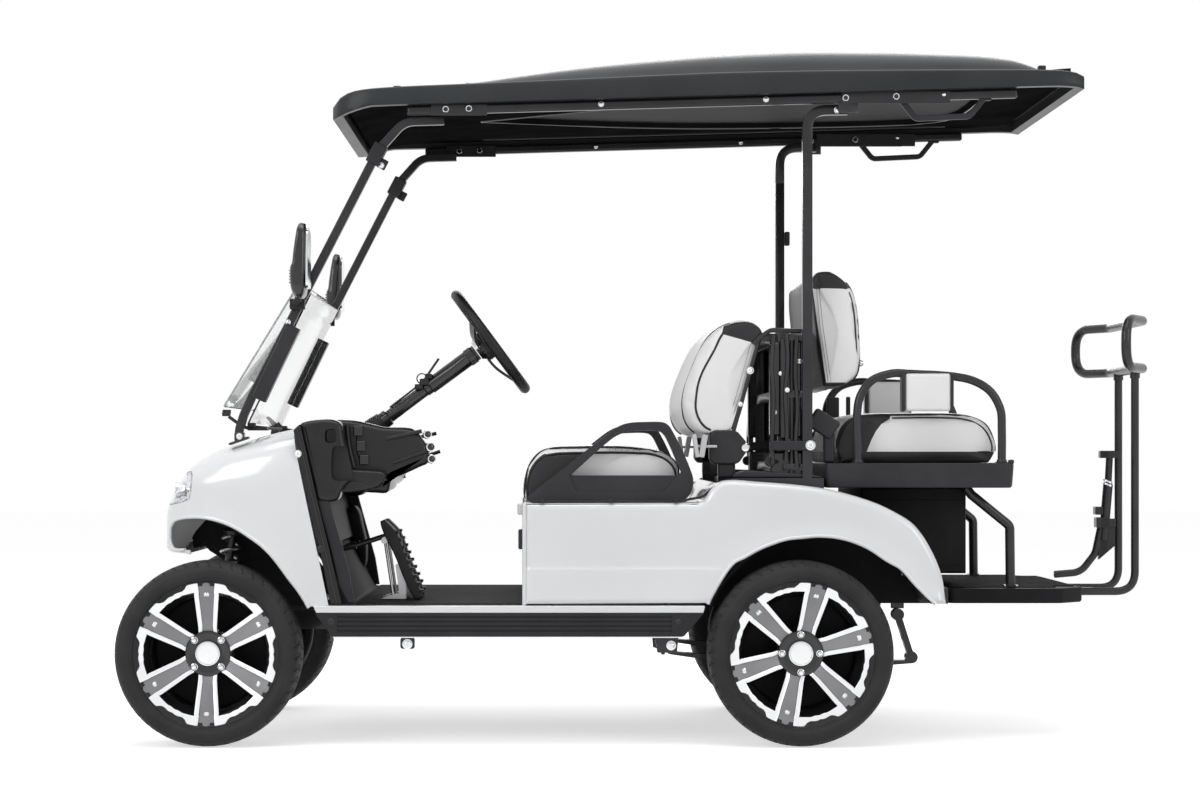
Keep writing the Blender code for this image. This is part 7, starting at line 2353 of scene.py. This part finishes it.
def make_mirrors():
    outline = flat_curve(MIRROR_OUTLINE)
    count = len(outline)
    middle = (sum(p[0] for p in outline) / count, sum(p[1] for p in outline) / count)
    rings = []
    for place, wide, tall in (
        (0.531, 0.4, 0.55), (0.534, 0.66, 0.74), (0.54, 0.84, 0.87), (0.55, 0.95, 0.95), (0.565, 1.0, 0.99),
        (0.62, 1.0, 1.0), (0.64, 0.97, 0.98), (0.655, 0.9, 0.93), (0.664, 0.76, 0.84), (0.6685, 0.58, 0.7),
        (0.6695, 0.4, 0.56),
    ):
        rings.append([(middle[0] + (x - middle[0]) * wide, -place, middle[1] + (z - middle[1]) * tall)
                      for x, z in outline])
    shell = loft(rings)
    glass = []
    for grow, x in ((-0.002, 0.283), (0, 0.2885)):
        path = rounded([(0.544, 0, 1.295), (0.66, 0, 1.295), (0.656, 0, 1.462), (0.546, 0, 1.462)], 0.026,
                       6, True)
        flat = inset([(p.x, p.z) for p in path], grow + 0.002)
        glass.append([(x, -y, z) for y, z in flat])
    pane = loft(glass)
    arm = gathered([
        sweep([(0.235, -0.5, 1.252), (0.256, -0.545, 1.276), (0.26, -0.585, 1.3)], box_section(0.02, 0.026)),
        block(0.225, 0.268, -0.524, -0.4985, 1.242, 1.272),
    ])
    ribs = [block(0.2335, 0.24, -0.63, -0.555, z, z + 0.004) for z in (1.31, 1.3185, 1.327, 1.3355, 1.344)]
    piece("mirror_shells", both(shell), MIRROR_BLACK, angle=40)
    piece("mirror_panes", both(pane), CHROME)
    piece("mirror_arms", both(gathered([arm, *ribs])), PLASTIC, bevel=0.002)


def make_screen_trim():
    edges = []
    low, high = post_ends(0)

    def on_post(z):
        return low.lerp(high, (z - low.z) / (high.z - low.z))

    top = on_post(1.29)
    foot = on_post(0.917)
    half = 0.46
    edges.append(tube([(top.x, -half, top.z), (top.x, half, top.z)], 0.0026, 10, across=(0, 0, 1)))
    corners = [(0.03, -half, 0.965), (0.2473, -half, 1.322), (0.2473, half, 1.322), (0.03, half, 0.965)]
    edges.append(tube(rounded(corners, 0.02, 5, True), 0.0022, 10, True, across=(-0.85, 0, 0.52)))
    piece("screen_edges", gathered(edges), SCREEN_EDGE)
    clips = []
    for side in (-1, 1):
        for x, y, z in ((0.036, 0.44, 0.95), (0.03, 0.4, 0.944), (0.11, 0.455, 0.912)):
            clips.append(block(x - 0.012, x + 0.01, side * y - 0.014, side * y + 0.014, z - 0.006, z + 0.006))
        clips.append(tube([(0.044, side * 0.47, 0.936), (0.08, side * 0.47, 0.91),
                           (0.105, side * 0.455, 0.9)], 0.005, 12))
        clips.append(plate([(0.095, 0.896), (0.112, 0.912), (0.152, 0.906), (0.156, 0.896)],
                           side * 0.44 - 0.012, side * 0.44 + 0.012))
    piece("screen_clips", gathered(clips), PLASTIC, bevel=0.002)
    seal = tube([(foot.x + 0.004, -half, foot.z - 0.01), (foot.x + 0.004, half, foot.z - 0.01)], 0.005, 12,
                across=(0, 0, 1))
    piece("screen_seal", seal, RUBBER)


SHOCK_TURNS = 6.5
SHOCK_STEPS = 20


def make_shocks():
    for name, side in SIDES:
        foot = Vector((0.002, side * 0.355, 0.288))
        head = Vector((0.0475, side * 0.355, 0.638))
        axis = (head - foot).normalized()
        length = (head - foot).length
        body = turned(
            [(0, 0), (0.013, 0), (0.013, 0.02), (0.019, 0.024), (0.019, length * 0.55),
             (0.012, length * 0.56),
             (0.012, length * 0.86), (0.029, length * 0.87), (0.029, length * 0.9), (0.014, length * 0.92),
             (0.014, length), (0, length)],
            28, foot, axis,
        )
        seat = turned([(0, 0.04), (0.03, 0.04), (0.03, 0.05), (0, 0.05)], 28, foot, axis)
        across = Vector((0, 1, 0))
        other = axis.cross(across).normalized()
        coil = []
        steps = int(SHOCK_TURNS * SHOCK_STEPS)
        for k in range(steps + 1):
            share = k / steps
            angle = 2 * math.pi * SHOCK_TURNS * share
            spot = foot + axis * (0.052 + (length * 0.865 - 0.054) * share)
            coil.append(spot + (across * math.cos(angle) + other * math.sin(angle)) * 0.0265)
        piece(
            "shock_body_" + name, gathered([body, seat]), SATIN,
            replaces=("front_shock_" + name,),
        )
        piece("shock_coil_" + name, sweep(coil, ring_section(0.0048, 10), False, axis), ZINC)


WELL_CENTRE = (1.74, 0.255)
WELL_START = 26
WELL_WALL_START = 24
WELL_END = 158
WELL_STEPS = 40


def make_liners():
    def around(radius, low, high):
        angles = [math.radians(low + (high - low) * k / WELL_STEPS) for k in range(WELL_STEPS + 1)]
        return [(WELL_CENTRE[0] + radius * math.cos(a), WELL_CENTRE[1] + radius * math.sin(a))
                for a in angles]

    for name, side in SIDES:
        rim = around(0.346, WELL_START, WELL_END) + around(0.341, WELL_START, WELL_END)[::-1]
        ring = plate(rim, -0.551, -0.335)
        wall = plate(around(0.34, WELL_WALL_START, WELL_END), -0.34, -0.3352)
        mesh = gathered([ring, wall])
        if side > 0:
            mesh = mirrored(mesh)
        piece("wheel_well_" + name, mesh, DARK_PANEL, replaces=("rear_liner_" + name,))
    front = [
        (-0.078, 0.554), (-0.054, 0.556), (-0.051, 0.57), (-0.047, 0.56), (-0.028, 0.542), (0.0, 0.525),
        (0.09, 0.45), (0.09, 0.382), (0.3, 0.382), (0.3, 0.39), (0.276, 0.416), (0.254, 0.448),
        (0.232, 0.476), (0.208, 0.509), (0.182, 0.542), (0.151, 0.572), (0.116, 0.596), (0.081, 0.618),
        (0.045, 0.634), (0.011, 0.65), (-0.02, 0.66), (-0.09, 0.656),
    ]
    parts = [plate(front, -0.314, -0.3095)]
    for z in (0.415, 0.45, 0.485, 0.52):
        reach = 0.235 - (z - 0.42) * 0.75
        parts.append(block(0.095, reach, -0.319, -0.313, z, z + 0.006))
    # strip that hugs the arch from the inner wall out to the lip
    rings = []
    for p in arch_line():
        if p.x > 0.02 and p.z > 0.4:
            rings.append([(p.x - 0.01, -0.312, p.z - 0.008), (p.x - 0.01, -0.535, p.z - 0.008),
                          (p.x - 0.006, -0.535, p.z - 0.005), (p.x - 0.006, -0.312, p.z - 0.005)])
    parts.append(loft(rings))
    piece("front_wheel_wells", both(gathered(parts)), DARK_PANEL, bevel=0.0008)
    # inner face of the nose, from the arch's edge in to its curved rear edge, in white plastic a little
    # darker than the body paint as painted shade
    outer = [p for p in arch_line() if p.x < -0.015]
    inner = [(-0.102, 0.545), (-0.0883, 0.562), (-0.0708, 0.597), (-0.05, 0.622), (-0.0325, 0.6406),
             (-0.02, 0.648)]
    inner = [(p.x, p.z) for p in curved([(x, 0, z) for x, z in inner], 8, False)]
    rings = []
    for k, p in enumerate(outer):
        place = k / (len(outer) - 1) * (len(inner) - 1)
        first = inner[int(place)]
        second = inner[min(int(place) + 1, len(inner) - 1)]
        part = place - int(place)
        goal = (first[0] + (second[0] - first[0]) * part, first[1] + (second[1] - first[1]) * part)
        start = -skin_side(p.x, p.z) + 0.012
        line = []
        for step in range(9):
            t = step / 8
            bend = t ** 2.2
            line.append((p.x + (goal[0] - p.x) * bend, start + (-0.345 - start) * t,
                         p.z + (goal[1] - p.z) * bend))
        back = [(x - 0.0015, y, z + 0.0015) for x, y, z in line[::-1]]
        rings.append(line + back)
    piece("nose_inner_faces", both(loft(rings)), SHADED_WHITE)
    # round shields inside the wheels
    for name, side in SIDES:
        for end, x, body in (("front", 0.0, "knuckle_" + name), ("rear", 1.68, "chassis")):
            profile = [
                (0.064, 0.0), (0.07, 0.0), (0.085, 0.006), (0.15, 0.006), (0.16, 0.0), (0.166, 0.0),
                (0.166, 0.004), (0.158, 0.01), (0.083, 0.01), (0.068, 0.004), (0.064, 0.004),
            ]
            disc = turned(profile, 48, (x, side * 0.496, 0.263), (0, side, 0), ring=True)
            cups = [cylinder((x + 0.115 * math.cos(a), side * 0.502, 0.263 + 0.115 * math.sin(a)), 0.012, 0,
                             0.009, 16, (0, side, 0))
                    for a in (0.6, 2.2, 3.9, 5.4)]
            piece("brake_shield_" + end + "_" + name, gathered([disc, *cups]), DARK_PANEL, body)


def make_strut_heads():
    parts = []
    for side in (-1, 1):
        y = side * 0.482
        rail = roof_low(1.79) - 0.028
        path = [(1.708, y, 1.7), (1.708, y, rail - 0.014), (1.824, y, rail - 0.012)]
        parts.append(sweep(rounded(path, 0.08, 12), box_section(0.0278, 0.0278)))
    mesh = NODES["rear_frame"].data.copy()
    mesh.transform(Matrix.Translation((-FRONT_AXLE, 0, 0)) @ NODES["rear_frame"].matrix_world)
    upper = [block(1.6, 2.0, side * 0.482 - 0.06, side * 0.482 + 0.06, 1.7005, 1.95) for side in (-1, 1)]
    frame_mesh = cut(mesh, *upper)
    piece("seat_frame", gathered([frame_mesh, *parts]), SATIN, bevel=0.003, replaces=("rear_frame",))
    shiny = []
    for side in (-1, 1):
        shiny.append(bolt((1.795, side * 0.496, roof_low(1.79) - 0.042), 0.008, (0, side, 0)))
        shiny.append(bolt((1.795, side * 0.468, roof_low(1.79) - 0.042), 0.008, (0, -side, 0)))
    piece("strut_bolts", gathered(shiny), CHROME)
    pad = block(1.7235, 1.74, 0.47, 0.496, 1.5, 1.545)
    piece("strut_latch", pad, PLASTIC, bevel=0.004)


make_dash()
make_steering()
make_pedals()
make_mats_and_sills()
make_front_posts()
make_mirrors()
make_screen_trim()
make_shocks()
make_liners()
make_strut_heads()
